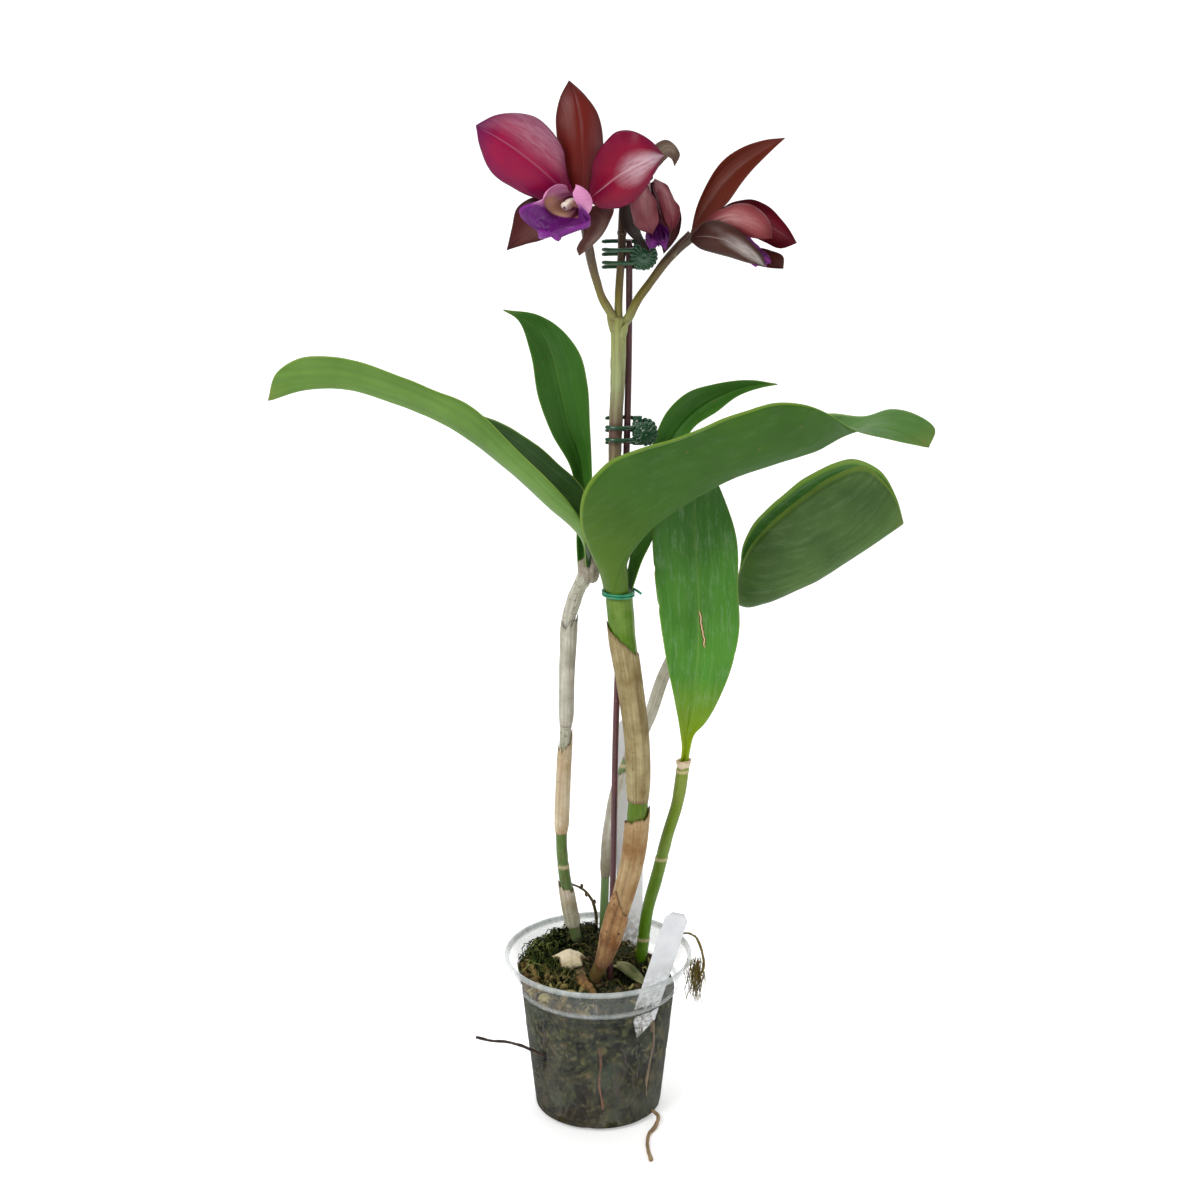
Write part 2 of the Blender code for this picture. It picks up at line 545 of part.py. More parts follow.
# Leaves: left margin, midrib and right margin, seen from the front, from the base to the tip
LEAVES = {
    "leaf_long_left": (
        mm((-6, 6, 300.5), (-9, -6, 328), (-21, -12, 346), (-43.5, -16, 370), (-61, -18, 386.5),
           (-83.5, -20, 398), (-111, -20, 408.5), (-130, -19, 412), (-145.5, -17, 410.5),
           (-156.5, -13, 403), (-162, -8, 388.5)),
        mm((-3.2, 10, 299.7), (-7.5, 7, 314.5), (-26.5, 2, 335), (-48.5, -3, 357),
           (-71.5, -7, 375), (-98.5, -9, 388), (-124, -10, 395.5), (-144.5, -10, 394.5),
           (-162, -8, 388.5)),
        mm((-1.2, 14.5, 300.4), (-4, 14, 323), (-7, 14, 339), (-20.5, 13, 353), (-40.5, 11, 369),
           (-63, 8, 380.5), (-86, 5, 391), (-113.5, 2, 402), (-133, 0, 406), (-148, -2, 404.5),
           (-157, -5, 399), (-162, -8, 388.5)),
        15, 1.6,
    ),
    "leaf_upright": (
        mm((-10, 16.4, 292), (-11, 18, 307), (-11, 18, 326), (-14, 19, 349), (-23.5, 20, 366.5),
           (-30, 21, 384), (-34, 19, 408), (-40.5, 13, 426), (-47, 8, 431)),
        mm((-7.5, 18.4, 291), (-7.5, 22, 310.5), (-7, 24, 331), (-9, 26, 350.5), (-15, 27, 369.5),
           (-19.5, 28, 390), (-24, 27, 408), (-31.5, 21, 422), (-47, 8, 431)),
        mm((-4, 16.9, 292), (-3.5, 18, 309), (-3, 18, 327.5), (-3, 19, 345), (-4, 21, 370),
           (-5.5, 22, 393), (-8.5, 23, 405.5), (-17, 22, 418), (-29, 16, 427), (-47, 8, 431)),
        12, 1.7,
    ),
    "leaf_front": (
        mm((3, -4.5, 291.2), (0.5, -9, 302), (-5.5, -14, 317), (-9, -19, 331), (-7, -24, 346),
           (4, -29, 361), (19, -33, 369.5), (37, -36, 376), (69.5, -38, 388.5), (85.5, -37, 392.5),
           (99, -34, 391.5), (110.5, -31, 386.5), (123, -29, 378.5), (142.5, -26, 372.5),
           (161, -22, 368)),
        mm((8, -13, 291.5), (10, -16, 302), (14, -18, 312.5), (22.5, -21, 324.5), (44, -24, 342),
           (64.5, -25, 353.5), (87, -24, 361.5), (106, -21, 367), (118, -18, 373),
           (129, -17, 376.5), (142.5, -18, 376), (153, -20, 372.5), (161, -22, 368)),
        mm((15.2, -10, 291.2), (15, -9.5, 301), (12.5, -9.5, 313), (11, -10, 328), (18, -11, 342.5),
           (30.5, -11, 354.5), (50.5, -7, 364), (72.5, -3, 371.5), (95, -2, 378),
           (114.5, -3, 381.5), (132, -6, 380.5), (144.5, -9, 384.5), (156, -13, 382.5),
           (164.5, -18, 376), (161, -22, 368)),
        18, 2.0,
    ),
    "leaf_rear": (
        mm((13.4, 0.5, 291.7), (16, 3, 305), (19.5, 8, 324.5), (23.5, 14, 346.5), (28.5, 19, 364),
           (35, 21, 378), (45.5, 22, 387.5), (58, 22, 391.5), (77, 20, 394), (90.5, 16, 392.5)),
        mm((16, -2.5, 291.7), (19, 1, 305.5), (24.5, 8, 323.5), (30.5, 15, 344.5), (35.5, 21, 361),
           (44.5, 25, 372.5), (56, 27, 381.5), (69.5, 25, 388), (80.5, 21, 391.5),
           (90.5, 16, 392.5)),
        mm((17.2, -6, 291.7), (22, -4, 305.5), (29.5, 2, 320.5), (36.5, 8, 340), (41.5, 14, 358.5),
           (48.5, 18, 370), (60.5, 20, 378), (71, 20, 386), (82.5, 18, 390.5), (90.5, 16, 392.5)),
        13, 1.5,
    ),
    "leaf_centre_right": (
        mm((43.2, 3.4, 195.1), (43.8, 3, 203), (42.5, 2, 213.5), (39.5, -1, 230.5), (35, -3, 253),
           (32, -4, 271.5), (28, -4, 306), (27.5, -3.5, 322.5), (31.5, -1, 337), (38, 2.5, 350.5),
           (48.5, 8.5, 359)),
        mm((45, 6, 194.9), (46, 5.3, 203), (46.5, 5, 211.5), (48.5, 4, 229), (51, 3, 251),
           (51.5, 3, 273), (51, 3, 294.5), (49.5, 4.5, 315), (48.5, 6.5, 335), (48.5, 8.5, 359)),
        mm((47, 3.4, 195.1), (48, 3, 203), (50, 2, 211), (55, 1, 217), (63, -1, 233),
           (69.5, -2, 253.5), (72, -3, 269.5), (71, -3, 290.5), (69.5, 0, 319), (64.5, 3, 334.5),
           (57.5, 5.5, 349), (48.5, 8.5, 359)),
        16, 1.5,
    ),
    "leaf_far_right": (
        mm((71.4, 46.5, 273.8), (74, 41, 286.5), (78.5, 36, 301.5), (89.5, 32, 316.5),
           (104, 29, 331.5), (122.5, 28, 343.5), (136.5, 29, 348), (147.5, 31, 339.5),
           (155, 33, 328), (159.5, 36, 316)),
        mm((71.6, 50, 270.3), (78.5, 47, 268), (88.5, 44, 271), (104.5, 42, 278.5),
           (120.5, 41, 287.5), (136.5, 40, 299), (149.5, 38, 308.5), (159.5, 36, 316)),
        mm((71.9, 53.5, 273.3), (75.5, 56, 285), (77.5, 58, 298), (84, 59, 311.5), (99, 58, 327),
           (117, 56, 340), (134, 54, 346.5), (148, 49, 341), (156, 43, 328.5), (159.5, 36, 316)),
        14, 2.0,
    ),
}


def leaves():
    for name, (left, middle, right, rows, fold) in LEAVES.items():
        blade(name, left, middle, right, LEAF_GREEN, LEAF_THICKNESS, rows, 4, fold, (0.8 * MM, 3))


# Flower stem: the stalk from the front cane and its three branches, each swollen at the bloom
STALK = mm((8.5, -4.5, 291), (8.3, -2, 316), (8, 0.5, 337), (8.3, 1.6, 359), (9, 2, 377),
           (9.8, 2.6, 398), (10, 3, 428))
STALK_RADII = mm(3.4, 3.2, 3.2, 3.3, 3.5, 3.8, 4.0)
BRANCHES = {
    "branch_1": (
        mm((9, 2.5, 425), (5.5, 1.5, 431.5), (2, 0, 438), (-0.5, -3, 446), (-2.8, -7, 455),
           (-4.5, -12, 464), (-6, -17, 474), (-7.2, -21.5, 482), (-7.5, -25.3, 485.2)),
        mm(2.4, 2.2, 2.0, 2.1, 2.3, 2.4, 2.5, 2.7, 3.0),
    ),
    "branch_2": (
        mm((10, 3.5, 424), (10.2, 4.6, 439), (10.8, 5, 448), (11.6, 5, 460), (11.8, 7, 471),
           (12.8, 9.8, 483), (16, 10.8, 493.5), (20.4, 9, 499.5), (23.4, 5.4, 498.4),
           (23.9, 2.2, 495)),
        mm(2.3, 2.0, 2.0, 2.0, 2.1, 2.1, 2.2, 2.3, 2.5, 2.8),
    ),
    "branch_3": (
        mm((11, 3, 423), (15, 2.4, 428), (19, 1.5, 436), (26, 0.5, 446), (33, 0, 455.5),
           (39, 0, 462), (45.6, 0.1, 468.1)),
        mm(2.5, 2.3, 2.2, 2.2, 2.3, 2.6, 3.0),
    ),
}


def flower_stem():
    stalk = as_mesh(stem("flower_stem", STALK, STALK_RADII, STALK_OLIVE, 9))
    branches = [
        as_mesh(stem(name, points, radii, STALK_OLIVE, 12)) for name, (points, radii) in BRANCHES.items()
    ]
    scales = []
    for turn, height in ((math.radians(200), 425), (math.radians(-40), 422)):
        scale = bmesh.new()
        bmesh.ops.create_cone(
            scale, cap_ends=True, segments=8, radius1=3.2 * MM, radius2=0.4 * MM, depth=9 * MM
        )
        lean = Matrix.Rotation(turn, 4, "Z") @ Matrix.Rotation(math.radians(32), 4, "Y")
        put = Matrix.Translation(mm(10 + 2.6 * math.cos(turn), 2.8 + 2.6 * math.sin(turn), height))
        bmesh.ops.transform(scale, matrix=put @ lean, verts=scale.verts)
        scales.append(from_bmesh("scale_leaf", scale, STALK_OLIVE))
    return combine(stalk, branches + scales, "UNION")


# Sepals and petals: left margin, midrib and right margin, from the base to the tip
TEPALS = {
    "bloom_1_dorsal_sepal": (
        mm((-8.7, -23.6, 487.8), (-11, -24, 496), (-15.5, -23, 506), (-18.5, -22, 515.5),
           (-19.5, -20, 525.5), (-17.5, -18, 533.5), (-13.5, -15, 541)),
        mm((-7, -24, 487.6), (-6.5, -27, 500), (-7.5, -27, 511.5), (-8.5, -24, 524),
           (-10.5, -20, 533.5), (-13.5, -15, 541)),
        mm((-5.3, -23.6, 487.8), (-1, -24, 498), (2, -23, 506), (2.5, -22, 514), (0, -20, 526),
           (-6.5, -18, 535), (-13.5, -15, 541)),
    ),
    "bloom_1_left_petal": (
        mm((-9.7, -25.4, 487.9), (-14, -29, 498), (-16, -31, 510), (-21, -33, 518.5),
           (-28.5, -34, 525), (-39.5, -35, 527), (-48.5, -36, 525.5), (-56, -37, 521.5)),
        mm((-10.7, -25.6, 486.9), (-19.5, -33, 495.5), (-29, -37, 504), (-39.5, -39, 512),
           (-48.5, -39, 517.5), (-56, -37, 521.5)),
        mm((-11, -25.3, 485.8), (-21.5, -29, 486.5), (-30.5, -31, 488.5), (-40.5, -33, 493.5),
           (-49, -35, 500), (-54, -36, 510.5), (-56, -37, 521.5)),
    ),
    "bloom_1_right_petal": (
        mm((-5, -25.4, 488), (-3, -29, 497), (-1.5, -32, 506.5), (3.5, -34, 514),
           (9.5, -36, 519), (15.5, -37, 519), (24, -38, 515), (30.5, -36, 508)),
        mm((-4.3, -25.6, 487), (2.5, -32, 493), (10, -36, 499), (18.5, -39, 504), (25, -39, 507),
           (30.5, -36, 508)),
        mm((-4, -25.3, 485.8), (2.5, -29, 483), (11, -32, 484), (17.5, -34, 487.5),
           (22.5, -36, 493.5), (26.5, -37, 501), (30.5, -36, 508)),
    ),
    "bloom_1_left_sepal": (
        mm((-11.6, -23.6, 483.5), (-19.5, -24, 487), (-30, -23, 488), (-38, -21, 483),
           (-41, -19, 472.5), (-43.5, -16, 462.5)),
        mm((-10.9, -24, 482), (-19.5, -26, 481), (-28.5, -25, 476), (-36.5, -21, 469.5),
           (-43.5, -16, 462.5)),
        mm((-9.8, -23.6, 481), (-16.5, -24, 473.5), (-25, -22, 468.5), (-34.5, -19, 465.5),
           (-43.5, -16, 462.5)),
    ),
    "bloom_1_right_sepal": (
        mm((-3.2, -23.4, 483.8), (2.5, -20, 484.5), (7.5, -17, 482.5), (6, -17, 477),
           (2.5, -18, 470.5), (-3.5, -19, 464.5), (-9, -21, 460.5)),
        mm((-4, -24, 481.8), (2, -23, 478.5), (1.5, -24, 473.5), (-2.5, -24, 467.5),
           (-9, -21, 460.5)),
        mm((-5.2, -24.4, 480.8), (-5.5, -27, 475.5), (-7, -27, 470), (-10, -25, 464.5),
           (-9, -21, 460.5)),
    ),
    "bloom_2_dorsal_sepal": (
        mm((23.2, -1.4, 496.4), (24.5, 3, 503), (27.5, 4, 510.5), (31.5, 2, 513), (36.5, -3, 511),
           (39, -6, 506.5), (36.5, -7, 501)),
        mm((24.7, -2.2, 496.6), (28, -0.5, 503), (31, -1, 508), (34.5, -4, 509.5),
           (36.5, -7, 507.5), (36.5, -7, 501)),
        mm((26.2, -1.8, 496), (29, -3, 500.5), (32, -5, 504), (33.5, -8, 505.5), (35, -9, 504.5),
           (36.5, -7, 501)),
    ),
    "bloom_2_left_petal": (
        mm((20.7, 0.8, 495), (18, -3, 489), (15.5, -4, 482), (16.2, -5.4, 476), (20, -8.4, 471.5),
           (26, -12, 469.5)),
        mm((21, -0.5, 493.9), (21.5, -8, 487.5), (22.3, -11.4, 481), (23.4, -12.8, 475.5),
           (26, -12, 469.5)),
        mm((21.7, -1.5, 493.2), (26, -11, 488), (28.5, -14, 482.5), (29, -14.5, 477), (26, -12, 469.5)),
    ),
    "bloom_2_right_petal": (
        mm((26.6, -0.8, 494), (27.5, -8, 488.5), (29.5, -9.5, 483), (31.5, -10, 477), (35, -8, 470)),
        mm((26.9, 0.1, 494.2), (31, -6, 489), (33.5, -8, 482.5), (35, -8, 476), (35, -8, 470)),
        mm((27.4, 1.2, 494.8), (32, -2, 492.5), (36, -3, 487), (39, -4, 481), (39, -5, 475.5),
           (35, -8, 470)),
    ),
    "bloom_2_left_sepal": (
        mm((21, 2.7, 493.2), (14.5, 3, 487), (10.5, 3, 479.5), (11.5, 1, 473.5), (17, -4, 466.5),
           (25.5, -11, 460.5)),
        mm((21.3, 3.7, 492.4), (16, 7, 482.5), (16, 4, 474), (20, -3, 467), (25.5, -11, 460.5)),
        mm((22.5, 4.4, 491.7), (20, 8, 481), (20, 4, 472.5), (22.5, -5, 466), (25.5, -11, 460.5)),
    ),
    "bloom_2_right_sepal": (
        mm((25, 4.2, 492.2), (28, 7, 479.5), (29.5, 3, 470.5), (30.5, -5, 464), (31.5, -9, 460)),
        mm((26.1, 3.7, 492.9), (33.5, 7, 481.5), (36, 5, 473), (35, -2, 466), (31.5, -9, 460)),
        mm((26.9, 2.5, 493.5), (35.5, 3, 485.5), (40, 3, 478.5), (39.5, 0, 470), (36, -5, 464.5),
           (31.5, -9, 460)),
    ),
    "bloom_3_dorsal_sepal": (
        mm((44.6, 1.6, 470.5), (46.5, 3, 476.5), (48.5, 4, 483.5), (52.5, 5, 492), (59, 5, 502),
           (68.5, 4, 509), (80.5, 2, 513), (89.5, 0, 514)),
        mm((44.8, 0, 470.7), (51.5, 5, 480.5), (59.5, 7, 492), (70, 6, 502), (80.5, 3, 509),
           (89.5, 0, 514)),
        mm((45, -1.6, 470.4), (54.5, -2, 476.5), (62, -3, 483.5), (70.5, -4, 495.5),
           (79, -3, 504.5), (89.5, 0, 514)),
    ),
    "bloom_3_near_sepal": (
        mm((45.9, -4.2, 469.4), (51, -8, 475), (57, -10, 476), (62, -12, 474.5),
           (68.5, -13.5, 470.5), (75, -13.5, 464), (79, -11, 459.5), (81, -8, 453.5)),
        mm((45.3, -4, 467.2), (52.5, -11, 468.5), (61, -15, 467), (70.5, -14, 461.5),
           (81, -8, 453.5)),
        mm((44.9, -2.8, 465.2), (48.5, -6, 462.5), (54.5, -8, 460.5), (62.5, -9, 458.5),
           (71.5, -9, 456), (81, -8, 453.5)),
    ),
    "bloom_3_near_petal": (
        mm((48.4, -3, 470.8), (55, -4, 478.5), (61.5, -4, 482), (68, -4, 483.5), (75.5, -5, 482),
           (80.5, -6, 478), (83, -8, 473), (83.5, -9, 467.5)),
        mm((47.9, -4, 469.6), (56.5, -7, 475), (64.5, -9, 477.5), (72.5, -11, 475.5),
           (79, -11, 472), (83.5, -9, 467.5)),
        mm((47.5, -4.3, 468.2), (57, -7, 471), (66, -9, 470), (73, -10, 468), (78, -9.5, 467),
           (83.5, -9, 467.5)),
    ),
    "bloom_3_far_petal": (
        mm((47.6, 2.8, 470.8), (58, 5, 479.5), (67.5, 7, 483.5), (74.5, 8, 484.5), (81.5, 8, 482),
           (88.5, 7, 475.5), (93.5, 5, 469.5), (96.5, 2, 464)),
        mm((47.4, 3.7, 469.4), (60.5, 9, 474), (72, 12, 475.5), (81.5, 12, 473), (89.5, 8, 468.5),
           (96.5, 2, 464)),
        mm((47.2, 4.1, 468.1), (60.5, 8, 469.5), (72, 11, 467.5), (81.5, 10, 463.5), (89, 6, 461),
           (96.5, 2, 464)),
    ),
    "bloom_3_far_sepal": (
        mm((46, 4.2, 467.4), (59.5, 9, 465), (72, 11.5, 462), (84, 9, 460), (90.5, 6, 457),
           (90.5, 4, 451.5)),
        mm((45.8, 4, 465.8), (59, 11, 461), (70.5, 12, 456.5), (82, 9, 453.5), (90.5, 4, 451.5)),
        mm((45.6, 3, 464.6), (57, 8, 459), (69.5, 9, 455), (83, 7, 452), (90.5, 4, 451.5)),
    ),
}


def tepals():
    for name, (left, middle, right) in TEPALS.items():
        petal = "petal" in name
        blade(
            name, left, middle, right, PETAL_CRIMSON if petal else SEPAL_MAROON,
            PETAL_THICKNESS, 8, 5 if petal else 4, 2.0, (0.7 * MM, 2.5) if petal else (0, 0),
        )


# Lips: points along the floor of the throat and down the front lobe, the way up, the half width
# and half height of the throat along it, and how far each side wraps, in degrees
LIPS = {
    "bloom_1_lip": (
        mm((-8.2, -28.4, 483), (-10.5, -34, 480.5), (-13.5, -41, 478.5), (-16.5, -46, 475.5),
           (-19.5, -49.5, 471.5), (-22.4, -51, 468)),
        (0.05, 0.1, 1),
        mm(2.3, 5.2, 8.6, 11.4, 12.6, 13.6, 15.6, 15.5, 9.0),
        mm(2.8, 5.2, 7.4, 8.6, 9.0, 8.4, 6.0, 4.0, 2.0),
        (150, 160, 166, 160, 138, 96, 78, 72, 60),
    ),
    "bloom_2_lip": (
        mm((24.4, 2.4, 491.6), (25, 2, 485), (26, -0.5, 477), (27.6, -5, 470), (28.6, -9, 465.5),
           (29, -12.6, 462.4)),
        (0.1, -0.85, 0.5),
        mm(2.2, 2.7, 3.2, 3.4, 3.5, 3.5, 4.2, 4.4, 3.0),
        mm(2.5, 2.9, 3.4, 3.8, 4.0, 3.8, 3.0, 2.0, 1.0),
        (150, 160, 160, 150, 130, 100, 80, 70, 60),
    ),
    "bloom_3_lip": (
        mm((48.6, 0, 465.4), (56, 0.5, 463.5), (65, 1, 461), (72.5, 0, 458), (78, -1.5, 454.5),
           (80.5, -3, 450.5)),
        (0.25, 0, 1),
        mm(2.2, 3.8, 5.0, 5.8, 6.0, 6.2, 6.8, 6.6, 4.2),
        mm(2.2, 3.6, 4.8, 5.6, 6.0, 6.0, 5.0, 3.6, 1.8),
        (150, 158, 160, 150, 125, 100, 85, 75, 60),
    ),
}


def lips():
    """Each lip is a throat rolled round the column, opening into a frilled front lobe.

    Across it, a point lies at floor + a * sin(w v) * right + b * (1 - cos(w v)) * up, for v
    from -1 to 1, with the half width a, the half height b and the wrap w read along the floor.
    """
    rows, columns = 9, 9
    for name, (floor, upward, widths, heights, wraps) in LIPS.items():
        path = rail(floor, rows + 1)
        along = unit(np.gradient(path, axis=0))
        up = unit(np.array(upward) - along * (along @ np.array(upward))[:, None])
        right = np.cross(along, up)
        a, b = profile(widths, rows + 1), profile(heights, rows + 1)
        wrap = np.radians(profile(wraps, rows + 1))

        def shape(u, v):
            k = int(round(u * rows))
            turn = wrap[k] * (2 * v - 1)
            frill = 1.0 * MM * max(0, u - 0.55) * abs(2 * v - 1) * math.sin(11 * math.pi * v + 3 * u)
            return (
                path[k]
                + a[k] * math.sin(turn) * right[k]
                + (b[k] * (1 - math.cos(turn)) + 2 * frill) * up[k]
            )

        add_wall(from_bmesh(name, grid_surface(rows, columns, shape), LIP_VIOLET), 0.8 * MM)


# Columns: points from the foot to the cap, and radii
COLUMNS = {
    "bloom_1_column": (
        mm((-7.8, -26.8, 484.9), (-9.4, -31.5, 485.4), (-12.2, -37, 486.6), (-14.2, -41, 485.6)),
        mm(1.3, 1.7, 2.1, 2.4),
    ),
    "bloom_2_column": (
        mm((24.1, 1.6, 494.3), (24.5, 0.2, 491), (24.8, -0.9, 487.6), (25.4, -2.2, 483.5)),
        mm(1.0, 1.1, 1.4),
    ),
    "bloom_3_column": (mm((48, 0, 467.8), (53, 0.1, 467.2), (59, 0.5, 466.4)), mm(1.2, 1.5, 1.9)),
}


def columns():
    for name, (points, radii) in COLUMNS.items():
        stem(name, points, radii, COLUMN_CREAM, 7)


# Stake
STAKE = mm((5, -5, 20), (6, -3, 68), (8, -1, 139), (9, 1, 206), (11, 4, 273), (13, 5.2, 325),
           (14.5, 4.4, 371), (15.2, 7, 411), (15.3, 7.7, 440), (15.2, 7, 465))


def turned_cylinder(radius, low, high, bore=None, segments=12):
    """A short upright cylinder at the origin, or a ring if it has a bore."""
    inside = bore or 0
    outline = [(inside, high), (radius, high), (radius, low), (inside, low)]
    line = bmesh.new()
    corners = [line.verts.new((across, 0, height)) for across, height in outline]
    if bore:
        corners.append(corners[0])
    for first, second in zip(corners, corners[1:]):
        line.edges.new((first, second))
    data = bpy.data.meshes.new("ring")
    line.to_mesh(data)
    line.free()
    ring = bpy.data.objects.new("ring", data)
    ORCHID.objects.link(ring)
    turn = ring.modifiers.new("turn", "SCREW")
    turn.steps = turn.render_steps = segments
    turn.use_merge_vertices = True
    turn.merge_threshold = 0.00001
    return as_mesh(ring)


def box(low, high):
    """A box between two corners, as an object to be joined to another."""
    solid = bmesh.new()
    bmesh.ops.create_cube(solid, size=1)
    low, high = Vector(low), Vector(high)
    sized = Matrix.Diagonal((*(high - low), 1))
    bmesh.ops.transform(solid, matrix=Matrix.Translation((low + high) / 2) @ sized, verts=solid.verts)
    return from_bmesh("box", solid, CLIP_GREEN)


def daisy_grip(radius, petals, y, offset):
    """A thumb grip like a daisy: a disc whose rim is a ring of round petals, facing along Y."""
    steps = 2 * petals
    thickness = 1.8 * MM
    solid = bmesh.new()
    faces = []
    for depth in (-thickness / 2, thickness / 2):
        ring = []
        for k in range(steps):
            angle = math.tau * k / steps
            reach = radius * (1 - 0.12 * (k % 2 == 0))
            x, z = offset + reach * math.cos(angle), reach * math.sin(angle)
            ring.append(solid.verts.new((x, y + depth, z)))
        faces.append(ring)
    near, far = faces
    for k in range(steps):
        solid.faces.new((near[k - 1], near[k], far[k], far[k - 1]))
    solid.faces.new(near)
    solid.faces.new(far[::-1])
    bmesh.ops.recalc_face_normals(solid, faces=solid.faces)
    return from_bmesh("daisy_grip", solid, CLIP_GREEN)


# Clips: place of the hinge pin, how far the fingers reach, grip radius, grip offset, petals
CLIPS = {
    "lower_clip": (mm(19.2, 2.4, 371), 15.5 * MM, 6.2 * MM, 4.4 * MM, 14),
    "upper_clip": (mm(20.3, 6.0, 457.8), 18.4 * MM, 6.9 * MM, 2.0 * MM, 18),
}


def jaw(name, side, reach, grip_radius, offset, petals, fingers, knuckles):
    """One half of a claw clip, with its pin axis at the origin; side is -1 in front, +1 behind."""
    pieces = []
    for height in fingers:
        path = [
            (0.2 * MM, side * 3.4 * MM, height),
            (-0.22 * reach, side * 5.4 * MM, height),
            (-0.52 * reach, side * 6.4 * MM, height),
            (-0.8 * reach, side * 5.7 * MM, height),
            (-reach, side * 3.2 * MM, height),
        ]
        pieces.append(as_mesh(stem("finger", path, [1.15 * MM, FINGER_RADIUS], CLIP_GREEN, 6, sides=1)))
    tall = max(fingers) + 1.2 * MM
    plate = sorted((side * 2.5 * MM, side * 4.7 * MM))
    pieces.append(box((-1.9 * MM, plate[0], -tall), (3.0 * MM, plate[1], tall)))
    for low, high in knuckles:
        ring = turned_cylinder(KNUCKLE_RADIUS, low, high, KNUCKLE_BORE)
        arm = sorted((side * 1.3 * MM, side * 3.2 * MM))
        pieces.append(ring)
        pieces.append(box((-1.2 * MM, arm[0], low), (1.2 * MM, arm[1], high)))
    grip = daisy_grip(grip_radius, petals, side * 5.3 * MM, offset)
    body = combine(grip, pieces, "UNION")
    body.name = name
    return body


def clips():
    for name, (hinge, reach, grip_radius, offset, petals) in CLIPS.items():
        fixed = jaw(
            name + "_rear_jaw", 1, reach, grip_radius, offset, petals,
            (-FINGER_PITCH, 0, FINGER_PITCH), ((2.6 * MM, 4.8 * MM), (-4.8 * MM, -2.6 * MM)),
        )
        moving = jaw(
            name + "_front_jaw", -1, reach, grip_radius, offset, petals,
            (-FINGER_PITCH / 2, FINGER_PITCH / 2), ((-2.2 * MM, 2.2 * MM),),
        )
        pin = turned_cylinder(PIN_RADIUS, -6 * MM, 6 * MM, segments=10)
        pin.name = name + "_pin"
        pin.data.materials.clear()
        pin.data.materials.append(PIN_STEEL)
        for piece in (fixed, moving, pin):
            piece.location = hinge


TIE_TURNS = 2.2


def twist_tie():
    """A coated wire wound round the top of the front cane and the stake, with a twisted end."""
    cane_middle, cane_reach = np.array([10.6, -6.0]), 8.5
    stake_middle, stake_reach = np.array([11.5, 4.3]), 3.3
    apart = np.linalg.norm(stake_middle - cane_middle)
    lean = math.acos((cane_reach - stake_reach) / apart)
    points = []
    steps = int(TIE_TURNS * 20)
    for k in range(steps + 1):
        turn = k / 20
        angle = math.tau * turn
        away = abs(math.remainder(angle, math.tau))
        middle, reach = (
            (stake_middle, stake_reach) if away < lean else (cane_middle, cane_reach)
        )
        heading = math.pi / 2 - angle
        x = middle[0] + reach * math.cos(heading)
        y = middle[1] + reach * math.sin(heading)
        points.append((x, y, 283.2 + 1.75 * turn))
    end = points[-1]
    points += [(end[0] + 1.8, end[1] - 1.4, end[2] - 0.6), (end[0] + 4.4, end[1] - 2, end[2] - 2.4)]
    return stem("twist_tie", mm(*points), [0.6 * MM, 0.6 * MM], TIE_GREEN, 56, sides=0)


def plant_label(name, length, foot, top, roll, point=11.0, corner=3.5):
    """A flat plastic strip, pointed below and with clipped corners above, standing in the mix."""
    half = LABEL_WIDTH / 2
    outline = [
        (0, 0), (half, point * MM), (half, length - corner * MM), (half - corner * MM, length),
        (corner * MM - half, length), (-half, length - corner * MM), (-half, point * MM),
    ]
    curve = bpy.data.curves.new(name, "CURVE")
    curve.dimensions = "2D"
    curve.fill_mode = "BOTH"
    curve.extrude = LABEL_THICKNESS / 2
    line = curve.splines.new("POLY")
    line.points.add(len(outline) - 1)
    for corner_point, (x, y) in zip(line.points, outline):
        corner_point.co = (x, y, 0, 1)
    line.use_cyclic_u = True
    label = place(name, curve, LABEL_WHITE)
    up = Vector(top) - Vector(foot)
    up.normalize()
    across = Vector((math.cos(roll), math.sin(roll), 0))
    across = (across - up * across.dot(up)).normalized()
    facing = across.cross(up)
    label.matrix_world = Matrix.Translation(Vector(foot)) @ Matrix((across, up, facing)).transposed().to_4x4()
    return label


# Labels: foot, top, and the turn of the strip's face about the upright
LABEL_FOOT, LABEL_TOP = mm(20.3, -31, 54), mm(42, -17, 119)
LABEL_TURN = math.radians(27)
REAR_LABEL_FOOT, REAR_LABEL_TOP = mm(17.3, 29.5, 52), mm(17.3, 50.5, 203)
RHIZOME = mm((-13, 11, 77), (-11.5, 3, 77.5), (-9.5, -4, 78), (-9.4, -11, 79.5))
RHIZOME_RADII = mm(3.0, 4.2, 3.7, 4.1, 3.2)
ROOT_TIP = mm((-9.5, -9, 79), (-8, -14.5, 78.5), (-5, -18.5, 77), (-1.5, -21, 74))
ROOT_TIP_RADII = mm(2.4, 2.6, 2.2, 1.4)


def labels():
    plant_label(
        "plant_label", float(np.linalg.norm(LABEL_TOP - LABEL_FOOT)), LABEL_FOOT, LABEL_TOP,
        LABEL_TURN,
    )
    plant_label(
        "rear_plant_label", float(np.linalg.norm(REAR_LABEL_TOP - REAR_LABEL_FOOT)),
        REAR_LABEL_FOOT, REAR_LABEL_TOP, 0.0,
    )


